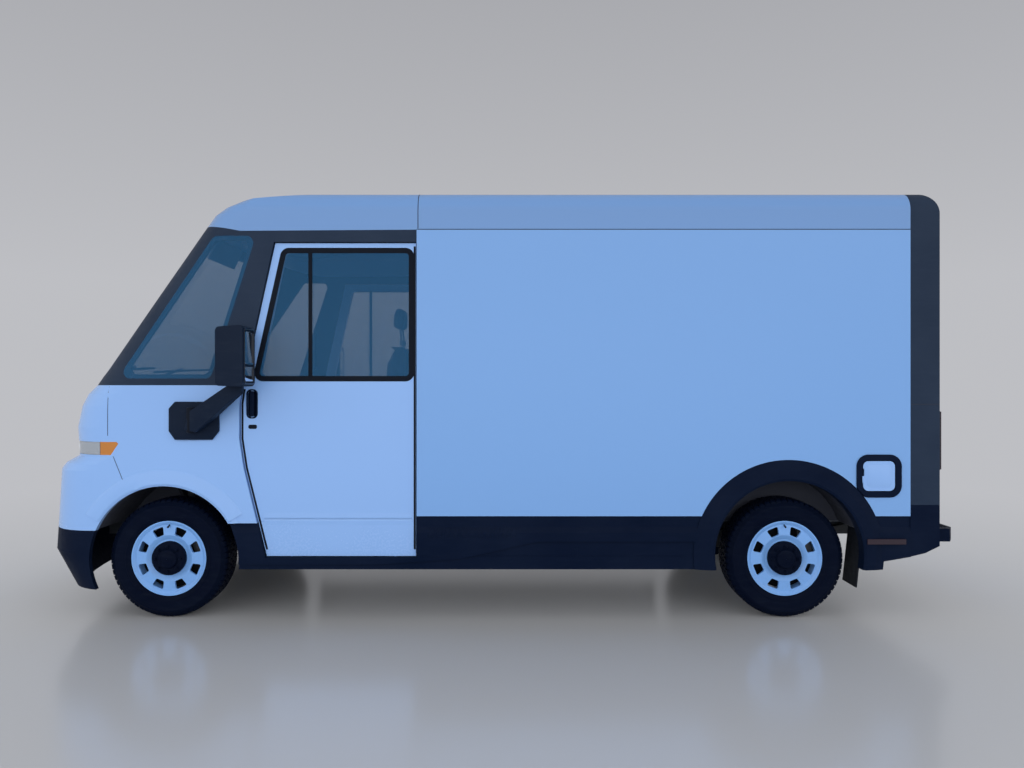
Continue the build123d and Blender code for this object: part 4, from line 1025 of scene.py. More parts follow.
@dataclass(frozen=True)
class Paint(Finish):
    """Sprayed paint under clear coat.

    Attributes:
        coat: How much clear coat shows.
        metallic: Share of metal in the paint.
        dust: How much road dust lies low down.
        gloss: The clean paint's roughness.
    """

    coat: float = 0.6
    metallic: float = 0.0
    dust: float = 0.3
    gloss: float = 0.26

    def make(self, effects: Effects) -> bpy.types.Material:
        """Builds paint with orange peel and a film of dust."""
        material, canvas, shader = self.start()
        film = effects.road_film.place(
            canvas, Clean_Colour=self.colour, Dust_Colour=(0.12, 0.14, 0.18, 1.0), Reach=0.95, Amount=self.dust,
            Clean_Roughness=self.gloss
        )
        peel = effects.orange_peel.place(canvas, Wave_Size=190.0, Depth=0.05)
        canvas.link(film.outputs["Colour"], shader.inputs["Base Color"])
        canvas.link(film.outputs["Roughness"], shader.inputs["Roughness"])
        canvas.link(peel.outputs["Normal"], shader.inputs["Normal"])
        shader.inputs["Metallic"].default_value = self.metallic
        shader.inputs["Coat Weight"].default_value = self.coat
        shader.inputs["Coat Roughness"].default_value = 0.06
        return material


@dataclass(frozen=True)
class Moulding(Finish):
    """Moulded plastic or rubber with grain.

    Attributes:
        scuff: Colour of the scuffs.
        grain: Cells per metre of the grain.
        depth: How deep the grain is.
        scuffing: How much is scuffed.
        shine: How strongly it mirrors.
    """

    scuff: Colour = (0.05, 0.055, 0.07, 1.0)
    grain: float = 650.0
    depth: float = 0.18
    scuffing: float = 0.25
    shine: float = 0.14

    def make(self, effects: Effects) -> bpy.types.Material:
        """Builds grained plastic with scuffs."""
        material, canvas, shader = self.start()
        grain = effects.moulded_grain.place(
            canvas, Base_Colour=self.colour, Scuff_Colour=self.scuff, Grain_Size=self.grain, Grain_Depth=self.depth,
            Scuffing=self.scuffing
        )
        canvas.link(grain.outputs["Colour"], shader.inputs["Base Color"])
        canvas.link(grain.outputs["Roughness"], shader.inputs["Roughness"])
        canvas.link(grain.outputs["Normal"], shader.inputs["Normal"])
        shader.inputs["Specular IOR Level"].default_value = self.shine
        return material


@dataclass(frozen=True)
class Gloss(Finish):
    """Smooth gloss plastic or lens.

    Attributes:
        roughness: The surface's roughness.
        see_through: Share of light that passes.
        glow: Strength of its own colour as light.
    """

    roughness: float = 0.08
    see_through: float = 0.0
    glow: float = 0.0

    def make(self, effects: Effects) -> bpy.types.Material:
        """Builds a glossy shell with the faintest waviness."""
        material, canvas, shader = self.start()
        peel = effects.orange_peel.place(canvas, Wave_Size=60.0, Depth=0.03)
        canvas.link(peel.outputs["Normal"], shader.inputs["Normal"])
        shader.inputs["Roughness"].default_value = self.roughness
        shader.inputs["Coat Weight"].default_value = 0.5
        shader.inputs["Alpha"].default_value = 1.0 - self.see_through
        if self.glow:
            shader.inputs["Emission Color"].default_value = self.colour
            shader.inputs["Emission Strength"].default_value = self.glow
        return material


@dataclass(frozen=True)
class Metal(Finish):
    """Bare or plated metal with fine brushing.

    Attributes:
        roughness: Lowest roughness.
        dust: How much road dust lies low down.
    """

    roughness: float = 0.3
    dust: float = 0.3

    def make(self, effects: Effects) -> bpy.types.Material:
        """Builds metal with a film of dust over it."""
        material, canvas, shader = self.start()
        film = effects.road_film.place(
            canvas, Clean_Colour=self.colour, Dust_Colour=(0.1, 0.1, 0.1, 1.0), Reach=0.9, Amount=self.dust,
            Clean_Roughness=self.roughness
        )
        peel = effects.orange_peel.place(canvas, Wave_Size=420.0, Depth=0.12)
        canvas.link(film.outputs["Colour"], shader.inputs["Base Color"])
        canvas.link(film.outputs["Roughness"], shader.inputs["Roughness"])
        canvas.link(peel.outputs["Normal"], shader.inputs["Normal"])
        shader.inputs["Metallic"].default_value = 1.0
        return material


@dataclass(frozen=True)
class Cloth(Finish):
    """Woven seat cloth.

    Attributes:
        weft: The second thread's colour.
        threads: Threads per metre.
    """

    weft: Colour = (0.09, 0.1, 0.13, 1.0)
    threads: float = 420.0

    def make(self, effects: Effects) -> bpy.types.Material:
        """Builds woven cloth with a little sheen."""
        material, canvas, shader = self.start()
        weave = effects.woven_cloth.place(
            canvas, Warp_Colour=self.colour, Weft_Colour=self.weft, Threads=self.threads
        )
        canvas.link(weave.outputs["Colour"], shader.inputs["Base Color"])
        canvas.link(weave.outputs["Roughness"], shader.inputs["Roughness"])
        canvas.link(weave.outputs["Normal"], shader.inputs["Normal"])
        shader.inputs["Sheen Weight"].default_value = 0.25
        shader.inputs["Sheen Roughness"].default_value = 0.5
        return material


@dataclass(frozen=True)
class Pane(Finish):
    """Tinted window glass: a glossy film that lets part of the light through.

    Attributes:
        density: Share of light that the tint stops.
    """

    density: float = 0.5

    def make(self, effects: Effects) -> bpy.types.Material:
        """Builds a tinted pane whose tint deepens towards the bottom, a painted darkening that stands in for the darker
        reflection low on the panes, all of it on the face towards the viewer.
        """
        material, canvas, shader = self.start()
        place = canvas.node("ShaderNodeTexCoord").outputs["Object"]
        parts = canvas.node("ShaderNodeSeparateXYZ")
        canvas.link(place, parts.inputs[0])
        # Painted reflection: the tint's density rises towards the bottom of the panes.
        depth = canvas.ramp(parts.outputs["Z"], 1.4, 2.4, self.density + 0.04, self.density - 0.03)
        inside = canvas.node("ShaderNodeNewGeometry").outputs["Backfacing"]
        canvas.link(canvas.math("MULTIPLY", depth, canvas.math("SUBTRACT", 1.0, inside)), shader.inputs["Alpha"])
        shader.inputs["Roughness"].default_value = 0.03
        shader.inputs["Specular IOR Level"].default_value = 0.4
        shader.inputs["Coat Weight"].default_value = 0.1
        shader.inputs["Coat Roughness"].default_value = 0.02
        return material


class Palette:
    """All finishes of the van, made into materials once."""

    FINISHES: tuple[Finish, ...] = (
        Paint("body_paint", "body_paint", (0.250, 0.445, 0.83, 1.0), coat=0.45, dust=0.1),
        # The load space's sides take a darker copy of the one body paint: painted shade.
        Paint("side_paint", "body_paint", (0.180, 0.372, 0.735, 1.0), coat=0.45, dust=0.1),
        # The cab and load space roofs take a still darker copy of the body paint: painted shade.
        Paint("roof_paint", "body_paint", (0.155, 0.305, 0.60, 1.0), coat=0.35, dust=0.05),
        # The rim paint is darkened below the white body paint: painted shade on the rims.
        Paint("rim_paint", "rim_paint", (0.18, 0.40, 0.82, 1.0), coat=0.3, dust=0.3, gloss=0.36),
        Paint("chassis_paint", "chassis_steel", (0.02, 0.024, 0.03, 1.0), coat=0.1, dust=0.6, gloss=0.5),
        Paint("load_floor_paint", "load_floor", (0.30, 0.34, 0.40, 1.0), coat=0.1, dust=0.3, gloss=0.42),
        Moulding("black_trim", "black_trim", (0.0015, 0.006, 0.022, 1.0), scuff=(0.012, 0.02, 0.045, 1.0),
                 scuffing=0.12, shine=0.06),
        # The rear frame and pillar frame take a lighter copy of the one black trim: painted light.
        Moulding("post_trim", "black_trim", (0.017, 0.03, 0.058, 1.0), scuff=(0.04, 0.06, 0.1, 1.0),
                 scuffing=0.12, shine=0.1),
        # The mirror housings take a lighter copy of the one black trim: painted light.
        Moulding("mirror_trim", "black_trim", (0.005, 0.012, 0.030, 1.0), scuff=(0.02, 0.03, 0.05, 1.0),
                 scuffing=0.3, shine=0.10),
        Moulding("window_gasket", "black_trim", (0.003, 0.006, 0.014, 1.0), scuff=(0.01, 0.014, 0.02, 1.0),
                 grain=1400.0, depth=0.06, scuffing=0.1),
        Moulding("tyre_rubber", "tyre", (0.0008, 0.003, 0.013, 1.0), scuff=(0.008, 0.013, 0.026, 1.0), grain=1600.0,
                 depth=0.12, scuffing=0.35, shine=0.05),
        Moulding("flap_rubber", "flap_rubber", (0.006, 0.008, 0.014, 1.0), grain=500.0, depth=0.3),
        Moulding("floor_liner", "floor_liner", (0.02, 0.022, 0.028, 1.0), grain=260.0, depth=0.6),
        Moulding("cab_plastic", "interior_plastic", (0.022, 0.028, 0.042, 1.0), grain=900.0, depth=0.2,
                 scuffing=0.1),
        Moulding("cab_lining", "interior_plastic", (0.16, 0.2, 0.27, 1.0), scuff=(0.2, 0.24, 0.3, 1.0), grain=900.0,
                 depth=0.15, scuffing=0.1),
        Gloss("gloss_black", "gloss_black", (0.006, 0.01, 0.02, 1.0)),
        Gloss("screen_black", "interior_plastic", (0.004, 0.005, 0.008, 1.0), roughness=0.05),
        Gloss("lens_clear", "lamp_clear", (0.75, 0.82, 0.88, 1.0), roughness=0.03, see_through=0.72),
        Gloss("lens_amber", "lamp_clear", (0.50, 0.185, 0.03, 1.0), roughness=0.1),
        Gloss("lens_red", "lamp_red", (0.014, 0.003, 0.012, 1.0), roughness=0.12),
        Gloss("lens_red_bright", "lamp_red", (0.32, 0.02, 0.03, 1.0), roughness=0.08, glow=0.15),
        Gloss("lamp_white", "lamp_clear", (0.8, 0.86, 0.92, 1.0), roughness=0.2, glow=0.25),
        Metal("reflector_metal", "lamp_clear", (0.42, 0.46, 0.52, 1.0), roughness=0.12, dust=0.0),
        Metal("hardware_metal", "cast_parts", (0.5, 0.53, 0.58, 1.0), roughness=0.3),
        Metal("cast_metal", "cast_parts", (0.09, 0.095, 0.1, 1.0), roughness=0.5, dust=0.6),
        Paint("panel_gap", "black_trim", (0.012, 0.022, 0.045, 1.0), coat=0.0, dust=0.2, gloss=0.7),
        # The brake discs are near black so that the rim's windows look dark: painted shade.
        Metal("brake_iron", "cast_parts", (0.012, 0.014, 0.018, 1.0), roughness=0.55, dust=0.3),
        Metal("battery_metal", "battery_case", (0.2, 0.21, 0.23, 1.0), roughness=0.42, dust=0.5),
        Cloth("seat_cloth", "seat_fabric", (0.02, 0.03, 0.055, 1.0), weft=(0.05, 0.07, 0.11, 1.0)),
        Cloth("seat_bolster", "seat_fabric", (0.012, 0.018, 0.032, 1.0), weft=(0.025, 0.032, 0.05, 1.0)),
        Pane("window_glass", "glass", (0.011, 0.090, 0.205, 1.0), density=0.66),
        Gloss("window_glass_dark", "glass", (0.006, 0.012, 0.024, 1.0), roughness=0.04),
        # The arch liners' colour is lightened to stand in for light inside the arches' tops: painted light.
        Moulding("liner_felt", "black_trim", (0.045, 0.05, 0.07, 1.0), scuff=(0.06, 0.065, 0.08, 1.0), grain=420.0,
                 depth=0.5, scuffing=0.3, shine=0.05),
        Metal("mirror_face", "black_trim", (0.8, 0.84, 0.9, 1.0), roughness=0.02, dust=0.0),
    )

    SLOT_DEFAULTS: dict[str, str] = {
        "body_paint": "body_paint", "rim_paint": "rim_paint", "chassis_steel": "chassis_paint",
        "load_floor": "load_floor_paint", "black_trim": "black_trim", "tyre": "tyre_rubber",
        "flap_rubber": "flap_rubber", "floor_liner": "floor_liner", "interior_plastic": "cab_plastic",
        "gloss_black": "gloss_black", "lamp_clear": "lens_clear", "lamp_red": "lens_red",
        "cast_parts": "cast_metal", "battery_case": "battery_metal", "seat_fabric": "seat_cloth",
        "glass": "window_glass",
    }

    def __init__(self) -> None:
        """Makes every finish's material."""
        effects = Effects()
        self.finishes = {finish.name: finish for finish in self.FINISHES}
        self.materials = {finish.name: finish.make(effects) for finish in self.FINISHES}

    # The load space's sides and the roofs take darker copies of the body paint as painted shade; the rear frame and
    # pillar frame take a lighter copy of the black trim as painted light.
    NODE_FINISHES: dict[str, str] = {
        "cargo_side_left": "side_paint", "cargo_side_right": "side_paint", "cargo_roof": "roof_paint",
        "cab_roof": "roof_paint", "rear_frame": "post_trim", "pillar_frame": "post_trim",
    }

    def dress_nodes(self, frame: dict) -> None:
        """Gives every CAD node the finish of its slot.
        """
        for entry in frame["record"]["subparts"]:
            node = frame["nodes"][entry["node"]]
            finish = self.NODE_FINISHES.get(entry["node"], self.SLOT_DEFAULTS[entry["material_slot"]])
            material = self.materials[finish]
            if not node.data.materials:
                node.data.materials.append(material)
            for slot in node.material_slots:
                slot.material = material

    def dress(self, piece: bpy.types.Object, finish: str, body: str) -> bpy.types.Object:
        """Gives a new piece its finish and the body that it rides on.

        Args:
            piece: The new piece.
            finish: The finish's name.
            body: The CAD body that carries it.

        Returns:
            The same piece.
        """
        piece.data.materials.clear()
        piece.data.materials.append(self.materials[finish])
        for face in piece.data.polygons:
            face.material_index = 0
        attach(piece, body)
        LOG.info("%s rides on %s in %s", piece.name, body, finish)
        return piece


# Sub-assemblies


@dataclass
class Wheels:
    """Treaded tyres, black hub covers with nuts, valves and brake discs, on all four wheels."""

    palette: Palette
    axle_z: float = 0.372
    pitches: int = 62
    tread_radius: float = 0.3715
    block_length: float = 0.029
    carcass: tuple[Flat, ...] = (
        (0.2405, 0.992), (0.246, 0.9965), (0.262, 1.0), (0.2655, 1.0022), (0.2685, 1.0022), (0.271, 1.0004),
        (0.300, 1.0025), (0.3225, 1.0025), (0.325, 1.0038), (0.334, 1.0034), (0.3365, 1.001), (0.348, 0.9945),
        (0.3575, 0.986), (0.3625, 0.974), (0.3645, 0.955), (0.3645, 0.828), (0.3625, 0.809), (0.3575, 0.797),
        (0.348, 0.7885), (0.334, 0.782), (0.3225, 0.7795), (0.300, 0.7795), (0.262, 0.783), (0.2405, 0.791),
        (0.2335, 0.800), (0.2335, 0.983),
    )
    ribs: tuple[tuple[float, float, float, float], ...] = (
        (0.911, 0.940, -0.007, 0.5), (0.8775, 0.9055, 0.007, 0.0), (0.843, 0.872, -0.007, 0.5)
    )
    shoulder: tuple[Flat, ...] = (
        (0.946, 0.362), (0.946, 0.3715), (0.968, 0.3715), (0.980, 0.3680), (0.989, 0.3600), (0.9925, 0.3530),
        (0.985, 0.3500), (0.966, 0.3600)
    )
    hub: tuple[Flat, ...] = (
        (0.001, 0.968), (0.1065, 0.968), (0.1065, 0.9930), (0.1045, 0.9985), (0.0960, 1.0035), (0.0930, 1.0062),
        (0.0660, 1.0075), (0.0630, 1.0065), (0.0605, 1.0095), (0.0580, 1.0170), (0.0540, 1.0200), (0.0420, 1.0206),
        (0.0400, 1.0192), (0.0370, 1.0206), (0.001, 1.0212)
    )
    nuts: int = 8
    nut_circle: float = 0.0795

    def build(self) -> None:
        """Builds one wheel's looks and copies them to the other three."""
        first = Place.FRONT_LEFT
        tyre = self.tyre(first)
        cover = self.hub_cover(first)
        disc = self.brake_disc(first)
        valve = self.valve(first)
        for place in Place:
            change = self.change(first, place)
            body = f"wheel_{place.word}"
            for piece, finish in ((tyre, "tyre_rubber"), (cover, "tyre_rubber"), (disc, "brake_iron"),
                                  (valve, "flap_rubber")):
                name = piece.name.replace(first.word, place.word)
                twin = piece if place is first else copy_piece(piece, name, change)
                self.palette.dress(twin, finish, body)
            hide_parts(f"tyre_{place.word}")

    def change(self, first: Place, place: Place) -> Matrix:
        """The move, and the mirror where needed, from one wheel to another.

        Args:
            first: The wheel that is modelled.
            place: The wheel that takes the copy.

        Returns:
            The change for a copy's mesh.
        """
        move = Matrix.Translation((place.x - first.x, 0.0, 0.0))
        if place.side is first.side:
            return move
        return move @ Matrix.Scale(-1, 4, (0, 1, 0))

    def turned(self, piece: bpy.types.Object, place: Place, count: int, name: str) -> bpy.types.Object:
        """Copies a piece evenly round the wheel and joins the copies.

        Args:
            piece: The piece at the top of the wheel.
            place: The wheel.
            count: How many in the full turn.
            name: The joined object's name.

        Returns:
            The joined ring.
        """
        centre = Matrix.Translation((place.x, 0.0, self.axle_z))
        ring = [piece]
        for i in range(1, count):
            turn = centre @ Matrix.Rotation(2 * math.pi * i / count, 4, "Y") @ centre.inverted()
            ring.append(copy_piece(piece, f"{name}_{i}", turn))
        return join_pieces(name, ring)

    def tread_pitch(self, place: Place) -> bpy.types.Object:
        """One pitch of the tread: three skewed rib blocks and two shoulder blocks.

        Args:
            place: The wheel.

        Returns:
            The pitch at the top of the wheel.
        """
        sign = place.side.value
        half = self.block_length / 2
        arc = 2 * math.pi * self.tread_radius / self.pitches
        blocks = []
        for i, (low, high, skew, phase) in enumerate(self.ribs):
            x = place.x + phase * arc
            z = self.axle_z + 0.362
            outline = [(x - half, sign * low, z), (x + half, sign * low, z), (x + half + skew, sign * high, z),
                       (x - half + skew, sign * high, z)]
            blocks.append(plate_piece(f"rib_{i}", outline, (0.0, 0.0, self.tread_radius - 0.362)))
        middle = 2 * 0.8915
        for i, flip in enumerate((False, True)):
            outline = [
                (place.x - half, sign * (middle - y if flip else y), self.axle_z + z) for y, z in self.shoulder
            ]
            blocks.append(plate_piece(f"shoulder_{i}", outline, (self.block_length, 0.0, 0.0)))
        return join_pieces("tread_pitch", blocks)

    def tyre(self, place: Place) -> bpy.types.Object:
        """The tyre: a ribbed carcass and the ring of tread blocks.

        Args:
            place: The wheel.

        Returns:
            The tyre.
        """
        sign = place.side.value
        profile = [(radius, sign * y) for radius, y in self.carcass]
        carcass = lathe_piece("carcass", profile, (place.x, 0.0, self.axle_z), steps=96)
        shade_smooth(carcass, 28.0)
        tread = self.turned(self.tread_pitch(place), place, self.pitches, "tread_ring")
        return join_pieces(f"tread_{place.word}", [carcass, tread])

    def hub_cover(self, place: Place) -> bpy.types.Object:
        """The black cover over the hub, with its ring of nuts.

        Args:
            place: The wheel.

        Returns:
            The cover.
        """
        sign = place.side.value
        profile = [(radius, sign * y) for radius, y in self.hub]
        cover = lathe_piece("cover", profile, (place.x, 0.0, self.axle_z), steps=64, closed=False)
        shade_smooth(cover, 35.0)
        top = self.axle_z + self.nut_circle
        nut = rod_piece("nut", (place.x, sign * 1.003, top), (place.x, sign * 1.0185, top), 0.0112, sides=6)
        soften(nut, 0.0022, 2)
        dome = rod_piece("dome", (place.x, sign * 1.017, top), (place.x, sign * 1.0235, top), 0.0078, sides=16)
        soften(dome, 0.0035, 3)
        nuts = self.turned(join_pieces("nut_pair", [nut, dome]), place, self.nuts, "nut_ring")
        return join_pieces(f"hub_cover_{place.word}", [cover, nuts])

    def brake_disc(self, place: Place) -> bpy.types.Object:
        """The brake disc that shows through the rim's windows, near black as painted shade behind them.

        Args:
            place: The wheel.

        Returns:
            The disc.
        """
        sign = place.side.value
        profile = [(0.0835, 0.906), (0.0835, 0.934), (0.100, 0.934), (0.108, 0.918), (0.112, 0.9175), (0.196, 0.9175),
                   (0.198, 0.9165), (0.198, 0.907), (0.196, 0.906)]
        disc = lathe_piece(
            f"brake_disc_{place.word}", [(radius, sign * y) for radius, y in profile], (place.x, 0.0, self.axle_z),
            steps=64
        )
        return shade_smooth(disc, 35.0)

    def valve(self, place: Place) -> bpy.types.Object:
        """The rubber valve at the rim's edge.

        Args:
            place: The wheel.

        Returns:
            The valve.
        """
        sign = place.side.value
        foot = (place.x, sign * 0.966, self.axle_z + 0.212)
        tip = (place.x, sign * 1.000, self.axle_z + 0.200)
        stem = rod_piece("stem", foot, tip, 0.0048, sides=14)
        soften(stem, 0.0012, 2)
        cap = rod_piece("cap", (place.x, sign * 0.994, self.axle_z + 0.2022),
                        (place.x, sign * 1.0055, self.axle_z + 0.198),
                        0.0058, sides=14)
        soften(cap, 0.0015, 2)
        return join_pieces(f"valve_{place.word}", [stem, cap])


@dataclass
class SideDoors:
    """What the sliding front doors carry: window bands, handles, locks and inner panels."""

    palette: Palette
    outer_y: float = 1.043
    inner_y: float = 1.003
    window: tuple[Flat, ...] = ((-1.492, 1.488), (-0.480, 1.488), (-0.480, 2.322), (-1.306, 2.322))
    window_radius: float = 0.055
    band_width: float = 0.034
    division_x: float = -1.128
    handle_x: float = -1.492
    handle_z: float = 1.348
    lock_z: float = 1.205

    def build(self) -> None:
        """Builds the left door's pieces and their twins on the right."""
        for piece, finish in (
            (self.window_band(), "window_gasket"), (self.division_bar(), "window_gasket"),
            (self.handle(), "black_trim"),
            (self.lock(), "window_gasket"), (self.sill_seal(), "flap_rubber"), (self.inner_panel(), "cab_lining"),
            (self.edge_seals(), "window_gasket"), (self.crease(), "body_paint"), (self.inner_pull(), "cab_plastic"),
        ):
            name = piece.name
            piece.name = f"{name}_left"
            twin = mirrored(piece, f"{name}_right")
            self.palette.dress(piece, finish, "side_door_left")
            self.palette.dress(twin, finish, "side_door_right")

    def window_band(self) -> bpy.types.Object:
        """The black band round the window glass."""
        outline = rounded_outline(self.window, self.window_radius, 6)
        band = frame_piece("window_band", outline, self.band_width, -self.outer_y - 0.0016, 0.0030)
        return soften(band, 0.0012, 2)

    def edge_seals(self) -> bpy.types.Object:
        """The rubber strips down the door's front and rear edges."""
        y = -self.outer_y - 0.0002
        front = [(-1.544, y, 1.440), (-1.558, y, 1.350), (-1.558, y, 1.130), (-1.531, y, 0.950), (-1.404, y, 0.440)]
        rear = [(-0.4835, y, 0.440), (-0.4835, y, 1.400), (-0.4835, y, 2.330)]
        return join_pieces("door_edge_seal", [
            ribbon_piece("front", front, (0.0125, 0, 0), 0.0016), ribbon_piece("rear", rear, (0.0130, 0, 0), 0.0016)
        ])

    def crease(self) -> bpy.types.Object:
        """The pressed line across the door's foot, between two shallow swells."""
        profile = ((-0.004, 0.668), (0.0, 0.668), (0.0018, 0.640), (0.0, 0.631), (0.0, 0.629), (0.0018, 0.620),
                   (0.0, 0.592), (-0.004, 0.592))
        outline = [(-1.417, -self.outer_y - out, z) for out, z in profile]
        return plate_piece("door_crease", outline, (0.922, 0.0, 0.0))

    def division_bar(self) -> bpy.types.Object:
        """The upright bar between the window's fixed and sliding panes."""
        top, bottom = self.window[2][1] - 0.030, self.window[0][1] + 0.030
        bar = box_piece("division_bar", (self.division_x - 0.0125, -self.outer_y - 0.0012, bottom),
                        (self.division_x + 0.0125, -self.outer_y + 0.0012, top))
        return soften(bar, 0.0009, 2)

    def handle(self) -> bpy.types.Object:
        """The pull handle: a dished surround and an upright grip.

        Returns:
            The handle, which stands in the door's recess.
        """
        x, z, face = self.handle_x, self.handle_z, -self.outer_y
        corners = ((x - 0.036, z - 0.092), (x + 0.036, z - 0.092), (x + 0.036, z + 0.092), (x - 0.036, z + 0.092))
        surround = frame_piece("surround", rounded_outline(corners, 0.031, 6), 0.009, face - 0.0030, 0.0060)
        soften(surround, 0.0018, 2)
        dish = side_plate("dish", rounded_outline(corners, 0.031, 6), face + 0.0215, 0.0020)
        grip_corners = ((x - 0.014, z - 0.080), (x + 0.014, z - 0.080), (x + 0.014, z + 0.080), (x - 0.014, z + 0.080))
        grip = side_plate("grip", rounded_outline(grip_corners, 0.0135, 6), face - 0.0100, 0.0230)
        soften(grip, 0.0050, 3)
        return join_pieces("door_handle", [surround, dish, grip])

    def lock(self) -> bpy.types.Object:
        """The lock's round plate with its key slot, below the handle."""
        x, z, face = self.handle_x + 0.004, self.lock_z, -self.outer_y
        corners = ((x - 0.027, z - 0.013), (x + 0.027, z - 0.013), (x + 0.027, z + 0.013), (x - 0.027, z + 0.013))
        plate = side_plate("plate", rounded_outline(corners, 0.011, 5), face - 0.0025, 0.0025)
        soften(plate, 0.0010, 2)
        core = rod_piece("core", (x - 0.010, face - 0.0045, z), (x - 0.010, face, z), 0.0072, sides=24)
        soften(core, 0.0008, 2)
        return join_pieces("door_lock", [plate, core])

    def sill_seal(self) -> bpy.types.Object:
        """The rubber strip along the door's lower edge."""
        seal = box_piece("door_foot_seal", (-1.405, -self.outer_y + 0.006, 0.4085),
                         (-0.4700, -self.outer_y + 0.022, 0.4150))
        return soften(seal, 0.0020, 2)

    def inner_panel(self) -> bpy.types.Object:
        """The padded lining on the door's inner face, below the window.

        Returns:
            The lining with its pressed field.
        """
        corners = ((-1.355, 0.470), (-0.500, 0.470), (-0.500, 1.440), (-1.440, 1.440))
        outline = rounded_outline(corners, 0.050, 5)
        panel = side_plate("door_lining", outline, -self.inner_y, 0.0045)
        make_active(panel)
        bpy.ops.object.mode_set(mode="EDIT")
        mesh = bmesh.from_edit_mesh(panel.data)
        for face in mesh.faces:
            face.select_set(face.normal.y > 0.9)
        bmesh.update_edit_mesh(panel.data)
        bpy.ops.mesh.inset(thickness=0.035)
        bpy.ops.mesh.inset(thickness=0.006, depth=-0.0025)
        bpy.ops.object.mode_set(mode="OBJECT")
        return soften(panel, 0.0012, 2)

    def inner_pull(self) -> bpy.types.Object:
        """The inner grab handle across the lining."""
        bar = box_piece("door_pull", (-1.150, -self.inner_y + 0.0018, 1.135), (-0.800, -self.inner_y + 0.0043, 1.175))
        return soften(bar, 0.0006, 2)


@dataclass
class Nose:
    """Head lamps, bumper openings and trims on the cab's front."""

    palette: Palette
    nodes: dict
    amber_start: float = -2.435
    lamp_z: float = 1.071
    lamp_lenses: tuple[float, ...] = (0.640, 0.735, 0.830)
    grille_levels: tuple[float, ...] = (0.262, 0.296, 0.330, 0.364)
    grille_half: float = 0.60
    cowl_levels: tuple[float, ...] = (1.4685, 1.4815, 1.4945)

    def build(self) -> None:
        """Builds the lamps, the grille and the cowl."""
        self.build_lamps()
        for piece, finish in (
            (self.grille(), "gloss_black"), (self.plate_panel(), "black_trim"), (self.cowl_slats(), "black_trim"),
            (self.band_line(), "gloss_black"),
        ):
            self.palette.dress(piece, finish, "van")
        for side in Side:
            for piece, finish in ((self.fog_ring(side), "gloss_black"), (self.fog_lens(side), "lens_clear")):
                self.palette.dress(piece, finish, "van")

    def build_lamps(self) -> None:
        """The clear lens with its reflector, the amber tip, and three bright lenses a side."""
        node = self.nodes["headlamps"]
        lens = trimmed(merged_copy(node, "lamp_glass"), (self.amber_start, 0, 0), (1, 0, 0))
        shade_smooth(lens, 30.0)
        tip = trimmed(merged_copy(node, "lamp_amber"), (self.amber_start + 0.003, 0, 0), (-1, 0, 0))
        shade_smooth(tip, 30.0)
        core = shrunk(trimmed(merged_copy(node, "lamp_reflector"), (self.amber_start, 0, 0), (1, 0, 0)), 0.0045)
        shade_smooth(core, 30.0)
        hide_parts("headlamps")
        for piece, finish in ((lens, "lens_clear"), (tip, "lens_amber"), (core, "reflector_metal")):
            self.palette.dress(piece, finish, "van")
        bulbs = []
        for side in Side:
            for y in self.lamp_lenses:
                front = touch(node, (-3.3, side.value * y, self.lamp_z), (1, 0, 0))
                bulb = rod_piece("bulb", (front.x + 0.0015, front.y, front.z), (front.x + 0.020, front.y, front.z),
                                 0.024)
                bulbs.append(soften(bulb, 0.006, 3))
        self.palette.dress(join_pieces("lamp_lenses", bulbs), "lamp_white", "van")

    def front_line(self, node: str, z: float, half: float, count: int = 15, sink: float = 0.0) -> list[Point]:
        """A level line across a node's front face.

        Args:
            node: The CAD node's name.
            z: The line's height.
            half: How far the line reaches each side.
            count: How many points it has.
            sink: How far the line lies behind the face.

        Returns:
            The line's points from left to right.
        """
        line = []
        for i in range(count):
            y = -half + 2 * half * i / (count - 1)
            place = touch(self.nodes[node], (-3.3, y, z), (1, 0, 0))
            line.append((place.x + sink, y, z))
        return line

    def grille(self) -> bpy.types.Object:
        """Four slats low in the bumper."""
        slats = []
        for z in self.grille_levels:
            slat = ribbon_piece("slat", self.front_line("front_bumper", z, self.grille_half), (0, 0, 0.013), 0.012)
            slats.append(soften(slat, 0.0022, 2))
        return join_pieces("bumper_grille", slats)

    def plate_panel(self) -> bpy.types.Object:
        """The blank plate holder in the middle of the bumper."""
        panel = ribbon_piece("plate_holder", self.front_line("front_bumper", 0.425, 0.260, 9, -0.002), (0, 0, 0.112),
                             0.012)
        return soften(panel, 0.0035, 2)

    def band_line(self) -> bpy.types.Object:
        """A fine raised line along the black band between the lamps."""
        line = ribbon_piece("band_line", self.front_line("nose_band", 1.068, 0.545, 15), (0, 0, 0.007), 0.003)
        return soften(line, 0.0006, 1)

    def cowl_slats(self) -> bpy.types.Object:
        """Three slats in the cowl under the windscreen."""
        slats = []
        for z in self.cowl_levels:
            slat = ribbon_piece("cowl_slat", self.front_line("pillar_frame", z, 0.62, 13), (0, 0, 0.006), 0.006)
            slats.append(soften(slat, 0.0015, 2))
        return join_pieces("cowl_slats", slats)

    def fog_spot(self, side: Side) -> Vector:
        """Where the fog lamp sits on the bumper."""
        return touch(self.nodes["front_bumper"], (-3.3, side.value * 0.735, 0.470), (1, 0, 0))

    def fog_ring(self, side: Side) -> bpy.types.Object:
        """The fog lamp's surround."""
        spot = self.fog_spot(side)
        deselect_all()
        bpy.ops.mesh.primitive_torus_add(
            major_radius=0.046, minor_radius=0.008, major_segments=40, minor_segments=12,
            location=spot, rotation=(0, math.pi / 2, side.value * -0.25)
        )
        ring = bpy.context.object
        ring.name = f"fog_ring_{side.word}"
        settle(ring)
        return shade_smooth(ring, 60.0)

    def fog_lens(self, side: Side) -> bpy.types.Object:
        """The fog lamp's lens."""
        spot = self.fog_spot(side)
        lens = rod_piece(f"fog_lens_{side.word}", (spot.x - 0.004, spot.y, spot.z), (spot.x + 0.024, spot.y, spot.z),
                         0.043)
        return soften(lens, 0.009, 3)


